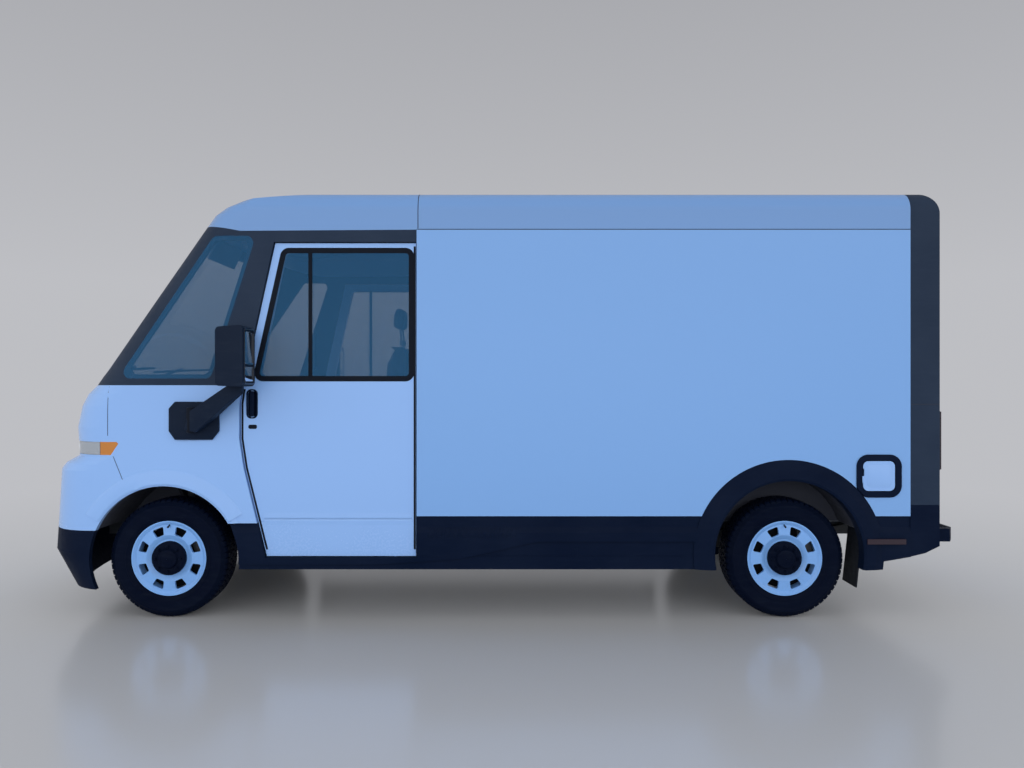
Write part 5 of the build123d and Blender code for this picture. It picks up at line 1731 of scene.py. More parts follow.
@dataclass
class BodyTrim:
    """Seams, louvres, arch edges and post joints on the body's skin."""

    palette: Palette
    nodes: dict
    half_width: float = 1.060
    roof_seam_z: float = 2.432
    cab_seam_x: float = -0.463
    post_x: tuple[float, float] = (2.610, 2.788)
    louvre_count: int = 11
    louvre_start: float = -0.370
    louvre_pitch: float = 0.0510
    louvre_z: tuple[float, float] = (0.524, 0.576)

    def build(self) -> None:
        """Builds the seams and trims of both sides."""
        for side in Side:
            for piece, finish in (
                (self.roof_seam(side), "panel_gap"), (self.post_seam(side), "panel_gap"),
                (self.louvres(side), "black_trim"), (self.sill_line(side), "black_trim"),
                (self.nose_seam(side), "panel_gap"), (self.arch_lip(side), "body_paint"),
            ):
                self.palette.dress(piece, finish, "van")
        self.palette.dress(self.roof_hoop(), "panel_gap", "van")
        self.palette.dress(self.roof_ribs(), "body_paint", "van")

    def roof_seam(self, side: Side) -> bpy.types.Object:
        """The fine joint between the side panel and the roof."""
        y = side.value * (self.half_width + 0.0002)
        points = [(x, y, self.roof_seam_z) for x in (self.cab_seam_x, 0.6, 1.6, self.post_x[0])]
        return ribbon_piece(f"roof_seam_{side.word}", points, (0, 0, 0.0045), 0.0016)

    def post_seam(self, side: Side) -> bpy.types.Object:
        """The joint across the rear corner post."""
        y = side.value * (self.half_width + 0.0002)
        points = [(x, y, 1.343) for x in (self.post_x[0], self.post_x[1])]
        return ribbon_piece(f"post_seam_{side.word}", points, (0, 0, 0.0055), 0.0018)

    def skin(self, side: Side, x: float, z: float) -> Vector | None:
        """The place on the nose's outer skin at a given X and Z, or None where there is none."""
        hits = []
        for name in (f"front_wing_{side.word}", "front_fascia"):
            place = touch(self.nodes[name], (x, side.value * 1.5, z), (0, -side.value, 0))
            if 0.3 < abs(place.y) < 1.2:
                hits.append(place)
        return max(hits, key=lambda place: abs(place.y)) if hits else None

    def nose_seam(self, side: Side) -> bpy.types.Object:
        """The joints above and below the headlamp on the nose's side."""
        strips = []
        for start, end in (((-2.386, 1.150), (-2.386, 1.458)), ((-2.352, 1.022), (-2.270, 0.818))):
            points = []
            for i in range(9):
                share = i / 8
                place = self.skin(side, start[0] + (end[0] - start[0]) * share, start[1] + (end[1] - start[1]) * share)
                if place is not None:
                    points.append(place)
            strips.append(ribbon_piece("strip", points, (0.0035, 0, 0), 0.0014))
        return join_pieces(f"nose_seam_{side.word}", strips)

    def arch_lip(self, side: Side) -> bpy.types.Object:
        """The raised lip round the front wheel arch, laid on the wing's skin."""
        deselect_all()
        radii = (0.469, 0.474, 0.486, 0.520, 0.556, 0.566, 0.570)
        rises = (-0.0010, 0.0045, 0.0070, 0.0066, 0.0050, 0.0016, -0.0010)
        points = []
        count = 0
        for i in range(43):
            turn = math.radians(31.0 + 118.0 * i / 42)
            ring = []
            for radius, rise in zip(radii, rises):
                x, z = -2.035 + radius * math.cos(turn), 0.372 + radius * math.sin(turn)
                place = self.skin(side, x, z)
                if place is not None:
                    ring.append((x, place.y + side.value * rise, z))
            if len(ring) == len(radii):
                points += ring
                count += 1
        wide = len(radii)
        faces = [(i * wide + j, i * wide + j + 1, (i + 1) * wide + j + 1, (i + 1) * wide + j)
                 for i in range(count - 1) for j in range(wide - 1)]
        mesh = bpy.data.meshes.new("arch_lip")
        mesh.from_pydata(points, [], faces)
        piece = bpy.data.objects.new(f"arch_lip_{side.word}", mesh)
        bpy.context.scene.collection.objects.link(piece)
        if mesh.polygons[0].normal.y * side.value < 0:
            mesh.flip_normals()
        apply_modifier(piece, "SOLIDIFY", thickness=0.003, offset=-1.0)
        return shade_smooth(piece, 60.0)

    def roof_hoop(self) -> bpy.types.Object:
        """The joint over the roof between the cab and the load space."""
        points = []
        for i in range(129):
            turn = math.radians(-8 + 196 * i / 128)
            start = (self.cab_seam_x + 0.006, 3.0 * math.cos(turn), 2.35 + 1.2 * math.sin(turn))
            aim = (0.0, -math.cos(turn) * 3.0, -1.2 * math.sin(turn))
            place = touch(self.nodes["cargo_roof"], start, aim)
            if abs(place.y) < 1.07 and place.z > self.roof_seam_z:
                points.append(place)
        return ribbon_piece("roof_hoop", points, (0.0045, 0, 0), 0.0016)

    def roof_ribs(self) -> bpy.types.Object:
        """Six pressed ribs along the roof."""
        ribs = []
        for y in (-0.60, -0.36, -0.12, 0.12, 0.36, 0.60):
            top = touch(self.nodes["cargo_roof"], (1.0, y, 3.2), (0, 0, -1)).z
            outline = [(-0.30, y - 0.030, top - 0.003), (2.38, y - 0.030, top - 0.003), (2.40, y, top - 0.003),
                       (2.38, y + 0.030, top - 0.003), (-0.30, y + 0.030, top - 0.003), (-0.32, y, top - 0.003)]
            rib = plate_piece("rib", outline, (0, 0, 0.0065))
            ribs.append(soften(rib, 0.0030, 3))
        return join_pieces("roof_ribs", ribs)

    def louvres(self, side: Side) -> bpy.types.Object:
        """A row of small louvres on the sill's shoulder.

        Args:
            side: Which side of the van.

        Returns:
            The row of louvres.
        """
        low, high = self.louvre_z
        fins = []
        for i in range(self.louvre_count):
            x = self.louvre_start + i * self.louvre_pitch
            bottom = touch(self.nodes[f"sill_{side.word}"], (x, side.value * 1.4, low), (0, -side.value, 0))
            top = touch(self.nodes[f"sill_{side.word}"], (x, side.value * 1.4, high), (0, -side.value, 0))
            outline = [
                (x - 0.017, bottom.y, low), (x + 0.009, bottom.y, low), (x + 0.017, top.y, high),
                (x - 0.009, top.y, high)
            ]
            fin = plate_piece("fin", outline, (0.0, side.value * 0.005, 0.0))
            fins.append(soften(fin, 0.0018, 2))
        return join_pieces(f"sill_louvres_{side.word}", fins)

    def sill_line(self, side: Side) -> bpy.types.Object:
        """A fine bead along the sill's lower edge."""
        node = self.nodes[f"sill_{side.word}"]
        points = []
        for i in range(12):
            x = -0.42 + 1.62 * i / 11
            points.append(touch(node, (x, side.value * 1.4, 0.398), (0, -side.value, 0)))
        return ribbon_piece(f"sill_bead_{side.word}", points, (0, 0, 0.006), 0.005)


@dataclass
class Mirrors:
    """Mirror glass with its rim, softened housings, repeater lamps and the arms' hinge caps."""

    palette: Palette
    nodes: dict

    def build(self) -> None:
        """Builds the softened mirrors and their glass."""
        shell = softened_copy(self.nodes["mirrors"], "mirror_shells", 0.011, 3)
        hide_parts("mirrors")
        self.palette.dress(shell, "mirror_trim", "van")
        for side in Side:
            self.palette.dress(self.glass(side), "mirror_face", "van")
            self.palette.dress(self.glass_rim(side), "gloss_black", "van")
            self.palette.dress(self.hinge_cap(side), "window_gasket", "van")
            self.palette.dress(self.repeater(side), "lens_amber", "van")

    def face_outline(self, low: float, high: float, inset: float) -> list[Flat]:
        """The mirror face's outline as Y and Z.

        Args:
            low: Its lower edge.
            high: Its upper edge.
            inset: How far inside the housing's edge it lies.

        Returns:
            The outline's points.
        """
        corners = ((1.176 + inset, low), (1.356 - inset, low), (1.356 - inset, high), (1.176 + inset, high))
        return rounded_outline(corners, 0.030 - inset / 2, 5)

    def glass(self, side: Side) -> bpy.types.Object:
        """The two panes of one mirror, the lower one for a wide view."""
        panes = []
        for i, (low, high) in enumerate(((1.488, 1.574), (1.588, 1.782))):
            outline = [(-1.4370, side.value * y, z) for y, z in self.face_outline(low, high, 0.014)]
            panes.append(soften(plate_piece(f"pane_{i}", outline, (0.0030, 0, 0)), 0.0010, 2))
        return join_pieces(f"mirror_glass_{side.word}", panes)

    def glass_rim(self, side: Side) -> bpy.types.Object:
        """The raised rim round the mirror's panes."""
        outer = self.face_outline(1.470, 1.800, 0.004)
        rim = frame_piece("rim", [(y, z) for y, z in outer], 0.008, 0.0, 0.0065)
        turned = copy_piece(rim, f"mirror_rim_{side.word}", Matrix(
            ((0, 1, 0, -1.4385), (side.value, 0, 0, 0), (0, 0, 1, 0), (0, 0, 0, 1))))
        make_active(turned)
        bpy.ops.object.mode_set(mode="EDIT")
        bpy.ops.mesh.select_all(action="SELECT")
        bpy.ops.mesh.normals_make_consistent(inside=False)
        bpy.ops.object.mode_set(mode="OBJECT")
        bpy.data.objects.remove(rim)
        return soften(turned, 0.0020, 2)

    def hinge_cap(self, side: Side) -> bpy.types.Object:
        """The round cap where the arm folds."""
        y = side.value
        cap = rod_piece(f"mirror_hinge_{side.word}", (-1.838, y * 1.110, 1.170), (-1.838, y * 1.110, 1.330), 0.034)
        return soften(cap, 0.008, 3)

    def repeater(self, side: Side) -> bpy.types.Object:
        """The small amber lamp on the housing's outer edge."""
        y = side.value
        low, high = sorted((y * 1.349, y * 1.3575))
        lamp = box_piece(f"mirror_lamp_{side.word}", (-1.575, low, 1.640), (-1.545, high, 1.740))
        return soften(lamp, 0.0035, 3)


@dataclass
class WheelArches:
    """Dark liners inside the four wheel arches, and the brake calipers."""

    palette: Palette
    radius: float = 0.4715
    wall: float = 0.002
    front_z: float = 0.372
    rear_z: float = 0.408
    cut_z: float = 0.563

    def build(self) -> None:
        """Builds a liner and a caliper for each wheel."""
        for place in Place:
            # The liners' finish is lightened to stand in for light inside the arches: painted light.
            self.palette.dress(self.liner(place), "liner_felt", "van")
            front = "front" in place.word
            body = f"knuckle_{place.side.word}" if front else "van"
            self.palette.dress(self.caliper(place), "cast_metal", body)

    def liner(self, place: Place) -> bpy.types.Object:
        """The half-round liner and its inner wall.

        Args:
            place: The wheel that it covers.

        Returns:
            The liner.
        """
        front = "front" in place.word
        z = self.front_z if front else self.rear_z
        inner, outer = (0.5655, 1.022) if front else (0.7255, 0.9985)
        sign = place.side.value
        r, t = self.radius, self.wall
        profile = [(0.001, inner), (r, inner), (r, outer), (r - t, outer), (r - t, inner + t), (0.001, inner + t)]
        liner = lathe_piece(f"arch_liner_{place.word}", [(a, sign * y) for a, y in profile], (place.x, 0.0, z), 72)
        trimmed(liner, (0.0, 0.0, self.cut_z), (0.0, 0.0, -1.0))
        return shade_smooth(liner, 35.0)

    def caliper(self, place: Place) -> bpy.types.Object:
        """The brake caliper that straddles the disc.

        Args:
            place: The wheel.

        Returns:
            The caliper.
        """
        sign = place.side.value
        profile = [(0.118, 0.888), (0.196, 0.888), (0.201, 0.896), (0.201, 0.938), (0.196, 0.944), (0.150, 0.944),
                   (0.150, 0.928), (0.118, 0.900)]
        ring = lathe_piece(f"caliper_{place.word}", [(a, sign * y) for a, y in profile], (place.x, 0.0, 0.372), 64)
        trimmed(ring, (place.x + 0.095, 0.0, 0.0), (-1.0, 0.0, 0.0))
        trimmed(ring, (place.x, 0.0, 0.400), (0.0, 0.0, -1.0))
        return soften(ring, 0.004, 2)


@dataclass
class RearEnd:
    """Lock rods, handles, window panes, lamps and step tread at the tail."""

    palette: Palette
    nodes: dict
    face_x: float = 2.790
    inner_x: float = 2.745
    rod_y: float = 0.135
    handle_z: float = 1.330
    window: tuple[float, float, float, float] = (0.092, 0.887, 1.580, 2.300)
    lamp_y: tuple[float, float] = (1.022, 1.052)
    lamp_z: tuple[float, float] = (0.940, 1.300)

    def build(self) -> None:
        """Builds the tail's pieces."""
        for side in Side:
            door = f"rear_door_{side.word}"
            pane, band = self.pane(side), self.pane_band(side)
            for piece, finish in (
                (pane, "window_glass_dark"), (band, "window_gasket"), (self.door_card(side), "cab_lining"),
                (self.inner_twin(pane, "rear_inner_pane", side), "window_glass_dark"),
                (self.inner_twin(band, "rear_inner_band", side), "window_gasket"),
                (self.inner_pull(side), "cab_plastic"),
                (self.lock_rod(side), "hardware_metal"), (self.handle(side), "black_trim"),
                (self.lower_panel(side), "body_paint"), (self.hinge_straps(side), "hardware_metal"),
            ):
                self.palette.dress(piece, finish, door)
            self.palette.dress(self.lamp_bezel(side), "gloss_black", "van")
            self.palette.dress(self.lamp_bars(side), "lens_red_bright", "van")
            self.palette.dress(self.door_stop(side), "flap_rubber", "van")
        self.palette.dress(self.centre_seal(), "flap_rubber", "rear_door_left")
        self.palette.dress(self.step_tread(), "flap_rubber", "van")
        self.palette.dress(self.plate_holder(), "black_trim", "rear_door_left")
        self.palette.dress(self.plate_lamps(), "lamp_white", "rear_door_left")
        self.palette.dress(self.high_lamp(), "lens_red", "van")

    def face_plate(self, name: str, side: Side, span: Flat, rise: Flat, radius: float, x: float,
                   depth: float) -> bpy.types.Object:
        """A round-cornered plate that faces backwards.

        Args:
            name: The piece's name.
            side: Which side of the van.
            span: Its nearer and farther distance from the centreline.
            rise: Its lower and upper edge.
            radius: Its corners' radius.
            x: The first face's X.
            depth: Its thickness along X.

        Returns:
            The plate.
        """
        corners = ((span[0], rise[0]), (span[1], rise[0]), (span[1], rise[1]), (span[0], rise[1]))
        outline = [(x, side.value * y, z) for y, z in rounded_outline(corners, radius, 6)]
        return plate_piece(name, outline, (depth, 0.0, 0.0))

    def pane(self, side: Side) -> bpy.types.Object:
        """The dark window pane in the door's upper field."""
        low_y, high_y, low_z, high_z = self.window
        pane = self.face_plate(f"rear_pane_{side.word}", side, (low_y, high_y), (low_z, high_z), 0.060,
                               self.face_x - 0.0049, 0.0040)
        return soften(pane, 0.0008, 1)

    def pane_band(self, side: Side) -> bpy.types.Object:
        """The rubber band round the rear window."""
        low_y, high_y, low_z, high_z = self.window
        plate = self.face_plate("band", side, (low_y - 0.010, high_y + 0.010), (low_z - 0.010, high_z + 0.010), 0.068,
                                self.face_x - 0.0049, 0.0062)
        make_active(plate)
        bpy.ops.object.mode_set(mode="EDIT")
        mesh = bmesh.from_edit_mesh(plate.data)
        for face in mesh.faces:
            face.select_set(abs(face.normal.x) > 0.9)
        bmesh.update_edit_mesh(plate.data)
        bpy.ops.mesh.inset(thickness=0.020)
        bpy.ops.mesh.bridge_edge_loops(use_merge=False)
        bpy.ops.object.mode_set(mode="OBJECT")
        plate.name = f"rear_band_{side.word}"
        return soften(plate, 0.0014, 2)

    def inner_twin(self, piece: bpy.types.Object, name: str, side: Side) -> bpy.types.Object:
        """The twin of a window piece on the door's inner face.

        Args:
            piece: The outer piece.
            name: The twin's name, without its side.
            side: Which side of the van.

        Returns:
            The twin, which stands proud of the inner face.
        """
        flip = Matrix.Translation((self.face_x + self.inner_x - 0.005, 0.0, 0.0)) @ Matrix.Scale(-1.0, 4,
                                                                                                 (1.0, 0.0, 0.0))
        return copy_piece(piece, f"{name}_{side.word}", flip)

    def door_card(self, side: Side) -> bpy.types.Object:
        """The lining below the window on the door's inner face."""
        card = self.face_plate(f"rear_card_{side.word}", side, (0.085, 0.895), (0.760, 1.500), 0.040,
                               self.inner_x - 0.0001, -0.0055)
        make_active(card)
        bpy.ops.object.mode_set(mode="EDIT")
        mesh = bmesh.from_edit_mesh(card.data)
        for face in mesh.faces:
            face.select_set(face.normal.x < -0.9)
        bmesh.update_edit_mesh(card.data)
        bpy.ops.mesh.inset(thickness=0.045)
        bpy.ops.mesh.inset(thickness=0.008, depth=-0.0030)
        bpy.ops.object.mode_set(mode="OBJECT")
        return soften(card, 0.0012, 2)

    def inner_pull(self, side: Side) -> bpy.types.Object:
        """The grab handle on the door's inner face."""
        y = side.value * 0.190
        points = [(self.inner_x - out, y, z) for out,
                  z in ((0.003, 1.040), (0.024, 1.052), (0.030, 1.075), (0.030, 1.205),
                                                            (0.024, 1.228), (0.003, 1.240))]
        return tube_piece(f"rear_pull_{side.word}", points, 0.0085)

    def lock_rod(self, side: Side) -> bpy.types.Object:
        """The upright lock rod with its guides and end hooks."""
        x, y = self.face_x + 0.0135, side.value * (self.rod_y if side is Side.RIGHT else 0.055)
        parts = [soften(rod_piece("rod", (x, y, 0.665), (x, y, 2.398), 0.0085, 20), 0.0015, 2)]
        for z in (0.700, 1.120, 1.500, 2.000, 2.360):
            low, high = sorted((y - 0.022, y + 0.022))
            guide = box_piece("guide", (self.face_x - 0.0045, low, z - 0.018), (self.face_x + 0.0245, high, z + 0.018))
            parts.append(soften(guide, 0.0065, 3))
        return join_pieces(f"lock_rod_{side.word}", parts)

    def handle(self, side: Side) -> bpy.types.Object:
        """The pull handle on each rear door."""
        y = side.value * (0.215 if side is Side.RIGHT else 0.150)
        x = self.face_x
        base = box_piece("base", (x - 0.0045, y - 0.030, self.handle_z - 0.115),
                         (x + 0.006, y + 0.030, self.handle_z + 0.115))
        soften(base, 0.0050, 2)
        grip = box_piece("grip", (x + 0.020, y - 0.012, self.handle_z - 0.095),
                         (x + 0.036, y + 0.012, self.handle_z + 0.095))
        soften(grip, 0.0060, 3)
        feet = []
        for z in (self.handle_z - 0.083, self.handle_z + 0.083):
            foot = box_piece("foot", (x + 0.004, y - 0.010, z - 0.012), (x + 0.026, y + 0.010, z + 0.012))
            feet.append(soften(foot, 0.003, 2))
        return join_pieces(f"rear_handle_{side.word}", [base, grip, *feet])

    def lower_panel(self, side: Side) -> bpy.types.Object:
        """Three pressed ribs in the door's lower field."""
        ribs = []
        for z in (0.880, 0.980, 1.080):
            rib = self.face_plate("rib", side, (0.300, 0.860), (z, z + 0.045), 0.020, self.face_x - 0.0052, 0.0046)
            ribs.append(soften(rib, 0.0020, 2))
        return join_pieces(f"rear_ribs_{side.word}", ribs)

    def hinge_straps(self, side: Side) -> bpy.types.Object:
        """Three strap hinges on the door's outer edge."""
        straps = []
        for z in (0.86, 1.53, 2.20):
            strap = self.face_plate("strap", side, (0.905, 0.958), (z - 0.036, z + 0.036), 0.012, self.face_x - 0.001,
                                    0.0055)
            soften(strap, 0.0015, 2)
            straps.append(strap)
            for dz in (-0.020, 0.020):
                bolt = rod_piece("bolt", (self.face_x + 0.004, side.value * 0.928, z + dz),
                                 (self.face_x + 0.0095, side.value * 0.928, z + dz), 0.0075, 6)
                straps.append(soften(bolt, 0.0012, 2))
        return join_pieces(f"hinge_straps_{side.word}", straps)

    def centre_seal(self) -> bpy.types.Object:
        """The rubber lip that closes the joint between the two doors."""
        seal = box_piece("door_seal", (self.face_x - 0.020, -0.012, 0.655), (self.face_x - 0.012, -0.0035, 2.405))
        return soften(seal, 0.0015, 2)

    def lamp_bezel(self, side: Side) -> bpy.types.Object:
        """The black frame round the tail lamp."""
        plate = self.face_plate(f"lamp_bezel_{side.word}", side, (self.lamp_y[0] - 0.004, self.lamp_y[1] + 0.004),
                                (self.lamp_z[0] - 0.006, self.lamp_z[1] + 0.006), 0.008, self.face_x, 0.0060)
        return soften(plate, 0.0020, 2)

    def lamp_bars(self, side: Side) -> bpy.types.Object:
        """The lit elements behind the tail lamp's lens."""
        bars = []
        for i in range(9):
            z = self.lamp_z[0] + 0.020 + i * 0.0385
            bar = self.face_plate("bar", side, (self.lamp_y[0] + 0.005, self.lamp_y[1] - 0.005), (z, z + 0.020), 0.006,
                                  self.face_x + 0.0135, 0.0018)
            bars.append(soften(bar, 0.0008, 2))
        return join_pieces(f"lamp_bars_{side.word}", bars)

    def door_stop(self, side: Side) -> bpy.types.Object:
        """Two rubber stops on the bumper, under the doors."""
        stops = []
        for y in (0.35, 0.80):
            stop = rod_piece("stop", (self.face_x + 0.018, side.value * y, 0.548),
                             (self.face_x + 0.018, side.value * y, 0.574), 0.015, 24)
            stops.append(soften(stop, 0.004, 3))
        return join_pieces(f"door_stops_{side.word}", stops)

    def step_tread(self) -> bpy.types.Object:
        """Raised ribs along the rear step."""
        ribs = []
        for i in range(5):
            x = self.face_x + 0.045 + i * 0.024
            rib = box_piece("rib", (x, -0.86, 0.5475), (x + 0.010, 0.86, 0.5515))
            ribs.append(soften(rib, 0.0016, 2))
        return join_pieces("step_tread", ribs)

    def plate_holder(self) -> bpy.types.Object:
        """The blank plate holder over the ribs of the left door."""
        plate = self.face_plate("rear_plate_holder", Side.LEFT, (0.410, 0.750), (1.165, 1.335), 0.012,
                                self.face_x - 0.0052, 0.0090)
        return soften(plate, 0.003, 2)

    def plate_lamps(self) -> bpy.types.Object:
        """Two small lamps over the plate holder."""
        return join_pieces("plate_lamps", [
            block_piece("lamp", (self.face_x - 0.0052, y - 0.024, 1.345), (self.face_x + 0.006, y + 0.024, 1.361),
                        0.004)
            for y in (-0.640, -0.520)
        ])

    def high_lamp(self) -> bpy.types.Object:
        """The brake lamp over the doors."""
        x = touch(self.nodes["rear_frame"], (3.4, 0.0, 2.470), (-1, 0, 0)).x
        corners = ((-0.17, 2.456), (0.17, 2.456), (0.17, 2.484), (-0.17, 2.484))
        outline = [(x - 0.010, y, z) for y, z in rounded_outline(corners, 0.012, 5)]
        return soften(plate_piece("high_brake_lamp", outline, (0.014, 0.0, 0.0)), 0.004, 3)


@dataclass
class ChargeSocket:
    """The charging socket behind the lid, and the lid's finger dish."""

    palette: Palette
    x: float = 2.411
    z: float = 0.900
    face_y: float = -1.064

    def build(self) -> None:
        """Builds the socket and the dish."""
        self.palette.dress(self.socket(), "black_trim", "van")
        self.palette.dress(self.pins(), "hardware_metal", "van")
        self.palette.dress(self.dish(), "body_paint", "charge_lid")

    def socket(self) -> bpy.types.Object:
        """The round socket body with its two lower bores."""
        upper = lathe_piece("upper",
                            [(0.0255, -1.030), (0.0305, -1.030), (0.0305, -1.046), (0.0285, -1.049), (0.0255, -1.046)],
                            (self.x, 0.0, self.z + 0.020), 40)
        lowers = []
        for dx in (-0.014, 0.014):
            lowers.append(lathe_piece("lower", [(0.0085, -1.030), (0.0125, -1.030), (0.0125, -1.045), (0.0085, -1.045)],
                                      (self.x + dx, 0.0, self.z - 0.022), 28))
        return shade_smooth(join_pieces("charge_socket", [upper, *lowers]), 35.0)

    def pins(self) -> bpy.types.Object:
        """Seven contact pins in the socket."""
        pins = []
        spots = [(0.0, 0.0), (-0.0095, 0.002), (0.0095, 0.002), (-0.0055, -0.010), (0.0055, -0.010), (-0.005, 0.011),
                 (0.005, 0.011)]
        for dx, dz in spots:
            z = self.z + 0.020 + dz
            pin = rod_piece("pin", (self.x + dx, -1.030, z), (self.x + dx, -1.041, z), 0.0024, 14)
            pins.append(soften(pin, 0.0007, 2))
        return join_pieces("socket_pins", pins)

    def dish(self) -> bpy.types.Object:
        """A shallow pressed field in the lid."""
        half_x, half_z = 0.078, 0.072
        corners = ((self.x - half_x, self.z - half_z), (self.x + half_x, self.z - half_z),
                   (self.x + half_x, self.z + half_z), (self.x - half_x, self.z + half_z))
        field = side_plate("lid_field", rounded_outline(corners, 0.034, 7), self.face_y + 0.0004, -0.0014)
        return soften(field, 0.0010, 2)


@dataclass
class Seats:
    """Two padded seats with side rolls, sewn channels, piping, head rests and belts."""

    palette: Palette
    nodes: dict
    middle: float = -0.480
    half: float = 0.218
    roll: float = 0.034
    voxel: float = 0.010
    cap: float = 0.022
    seam: float = 0.138
    base: tuple[Flat, ...] = ((-1.205, 0.900), (-0.782, 0.900), (-0.782, 1.014), (-1.150, 1.022), (-1.205, 0.994))
    back: tuple[Flat, ...] = (
        (-0.742, 0.905), (-0.655, 0.905), (-0.580, 1.500), (-0.580, 1.735), (-0.642, 1.748), (-0.672, 1.690),
        (-0.720, 1.200)
    )
    head: tuple[Flat, ...] = ((-0.686, 1.852), (-0.608, 1.852), (-0.610, 1.990), (-0.672, 1.990))

    def build(self) -> None:
        """Builds the left seat and its twin on the right."""
        cushion, back, head = self.cushion(), self.back_pad(), self.head_pad()
        parts = [(cushion, "seat_cloth"), (back, "seat_cloth"), (head, "seat_bolster"),
                 (self.cushion_piping(cushion), "seat_bolster"), (self.back_piping(back), "seat_bolster"),
                 (self.posts(), "hardware_metal"), (self.back_shell(), "cab_plastic"),
                 (self.side_shield(), "cab_plastic"),
                 (self.belt(), "seat_bolster"), (self.buckle(), "cab_plastic"),
                 # The buckle's button takes the glowing red lens finish, so it glows as painted light though it is no
                 # lamp.
                 (self.buckle_button(), "lens_red_bright")]
        for piece, finish in parts:
            name = piece.name
            piece.name = f"{name}_left"
            twin = mirrored(piece, f"{name}_right")
            for seat in (piece, twin):
                self.palette.dress(seat, finish, "van")
        for side in Side:
            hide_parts("seat_cushions")
            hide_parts("seat_backs")

    def pad(self, name: str, outline: Sequence[Flat], half: float, round_off: float) -> bpy.types.Object:
        """A rounded slab as the start of a pad.

        Args:
            name: The pad's name.
            outline: Its section in side view.
            half: Half its width.
            round_off: The rounding of its edges.

        Returns:
            The slab.
        """
        slab = side_plate(name, outline, self.middle - half, 2 * half)
        return soften(slab, round_off, 4)

    def cushion(self) -> bpy.types.Object:
        """The seat cushion, with a roll on each side and a rounded front."""
        parts = [self.pad("slab", self.base, self.half, 0.022)]
        for side in (-1, 1):
            y = self.middle + side * (self.half - self.roll)
            roll = rod_piece("roll", (-1.165, y, 1.000), (-0.800, y, 1.003), self.roll, 24)
            parts.append(soften(roll, 0.026, 4))
        pad = swollen(join_pieces("seat_cushion", parts), self.voxel, self.cap, 0.925)
        apply_modifier(pad, "SUBSURF", levels=1, render_levels=1)
        low, high = self.middle - self.seam, self.middle + self.seam
        lines = [((-1.185, low, 0), (-0.79, low, 0)), ((-1.185, high, 0), (-0.79, high, 0))]
        lines += [((x, low, 0), (x, high, 0)) for x in (-1.125, -1.040, -0.955, -0.870)]
        return shade_smooth(sewn(pad, (0, 0, 1), lines, 0.008, 0.007), 80.0)

    def back_pad(self) -> bpy.types.Object:
        """The back rest, with side rolls and sewn channels across it."""
        parts = [self.pad("slab", self.back, self.half, 0.022)]
        for side in (-1, 1):
            y = self.middle + side * (self.half - self.roll)
            roll = rod_piece("roll", (-0.712, y, 0.985), (-0.668, y, 1.660), self.roll, 24)
            parts.append(soften(roll, 0.026, 4))
        pad = swollen(join_pieces("seat_back", parts), self.voxel, self.cap, 0.915)
        apply_modifier(pad, "SUBSURF", levels=1, render_levels=1)
        low, high = self.middle - self.seam, self.middle + self.seam
        lines = [((0, low, 0.96), (0, low, 1.69)), ((0, high, 0.96), (0, high, 1.69))]
        lines += [((0, low, z), (0, high, z)) for z in (1.080, 1.200, 1.320, 1.440, 1.560, 1.690)]
        return shade_smooth(sewn(pad, (-1, 0, 0), lines, 0.008, 0.007), 80.0)

    def head_pad(self) -> bpy.types.Object:
        """The head rest's pad."""
        pad = swollen(self.pad("head_rest", self.head, 0.112, 0.026), 0.008, 0.014, 1.845)
        apply_modifier(pad, "SUBSURF", levels=1, render_levels=1)
        return shade_smooth(sewn(pad, (-1, 0, 0), [((0, self.middle - 0.09, 1.965), (0, self.middle + 0.09, 1.965))],
                                 0.005, 0.006), 80.0)

    def hug(self, pad: bpy.types.Object, starts: Sequence[Point], aims: Sequence[Point], sink: float) -> list[Point]:
        """Points on a pad's skin, seen from outside.

        Args:
            pad: The pad.
            starts: Where each line of sight starts.
            aims: Its direction.
            sink: How far below the skin the point lies.

        Returns:
            The points.
        """
        points = []
        for start, aim in zip(starts, aims):
            way = Vector(aim).normalized()
            points.append(tuple(touch(pad, start, aim) + way * sink))
        return points

    def cushion_piping(self, pad: bpy.types.Object) -> bpy.types.Object:
        """The piping round the cushion's upper edge."""
        outline = rounded_outline(((-1.24, self.middle - 0.26), (-0.75, self.middle - 0.26),
                                   (-0.75, self.middle + 0.26),
                                   (-1.24, self.middle + 0.26)), 0.10, 8)
        dense = []
        for (x0, y0), (x1, y1) in zip(outline, outline[1:] + outline[:1]):
            count = max(1, int(math.hypot(x1 - x0, y1 - y0) / 0.03))
            dense += [(x0 + (x1 - x0) * i / count, y0 + (y1 - y0) * i / count) for i in range(count)]
        centre = (-0.995, self.middle)
        starts = [(x, y, 0.985) for x, y in dense]
        aims = [(centre[0] - x, centre[1] - y, 0.0) for x, y in dense]
        return tube_piece("cushion_piping", self.hug(pad, starts, aims, 0.0012), 0.0036, ring=True)

    def back_piping(self, pad: bpy.types.Object) -> bpy.types.Object:
        """The piping up one side of the back rest, over its top and down again."""
        starts, aims = [], []
        for side in (-1, 1):
            rows = [0.95 + 0.03 * i for i in range(25)]
            for z in rows if side < 0 else rows[::-1]:
                x = -0.700 + (z - 0.905) * 0.078
                starts.append((x, self.middle + side * 0.30, z))
                aims.append((0.0, -side, 0.0))
            if side < 0:
                for step in range(-6, 7):
                    starts.append((-0.636, self.middle + step * 0.028, 1.85))
                    aims.append((0.0, 0.0, -1.0))
        return tube_piece("back_piping", self.hug(pad, starts, aims, 0.0012), 0.0036)

    def posts(self) -> bpy.types.Object:
        """The head rest's two posts and their sleeves."""
        parts = []
        for side in (-1, 1):
            y = self.middle + side * 0.060
            parts.append(rod_piece("post", (-0.628, y, 1.720), (-0.642, y, 1.880), 0.0075, 20))
            parts.append(soften(rod_piece("sleeve", (-0.629, y, 1.742), (-0.631, y, 1.772), 0.0140, 20), 0.004, 2))
        return shade_smooth(join_pieces("head_posts", parts), 40.0)

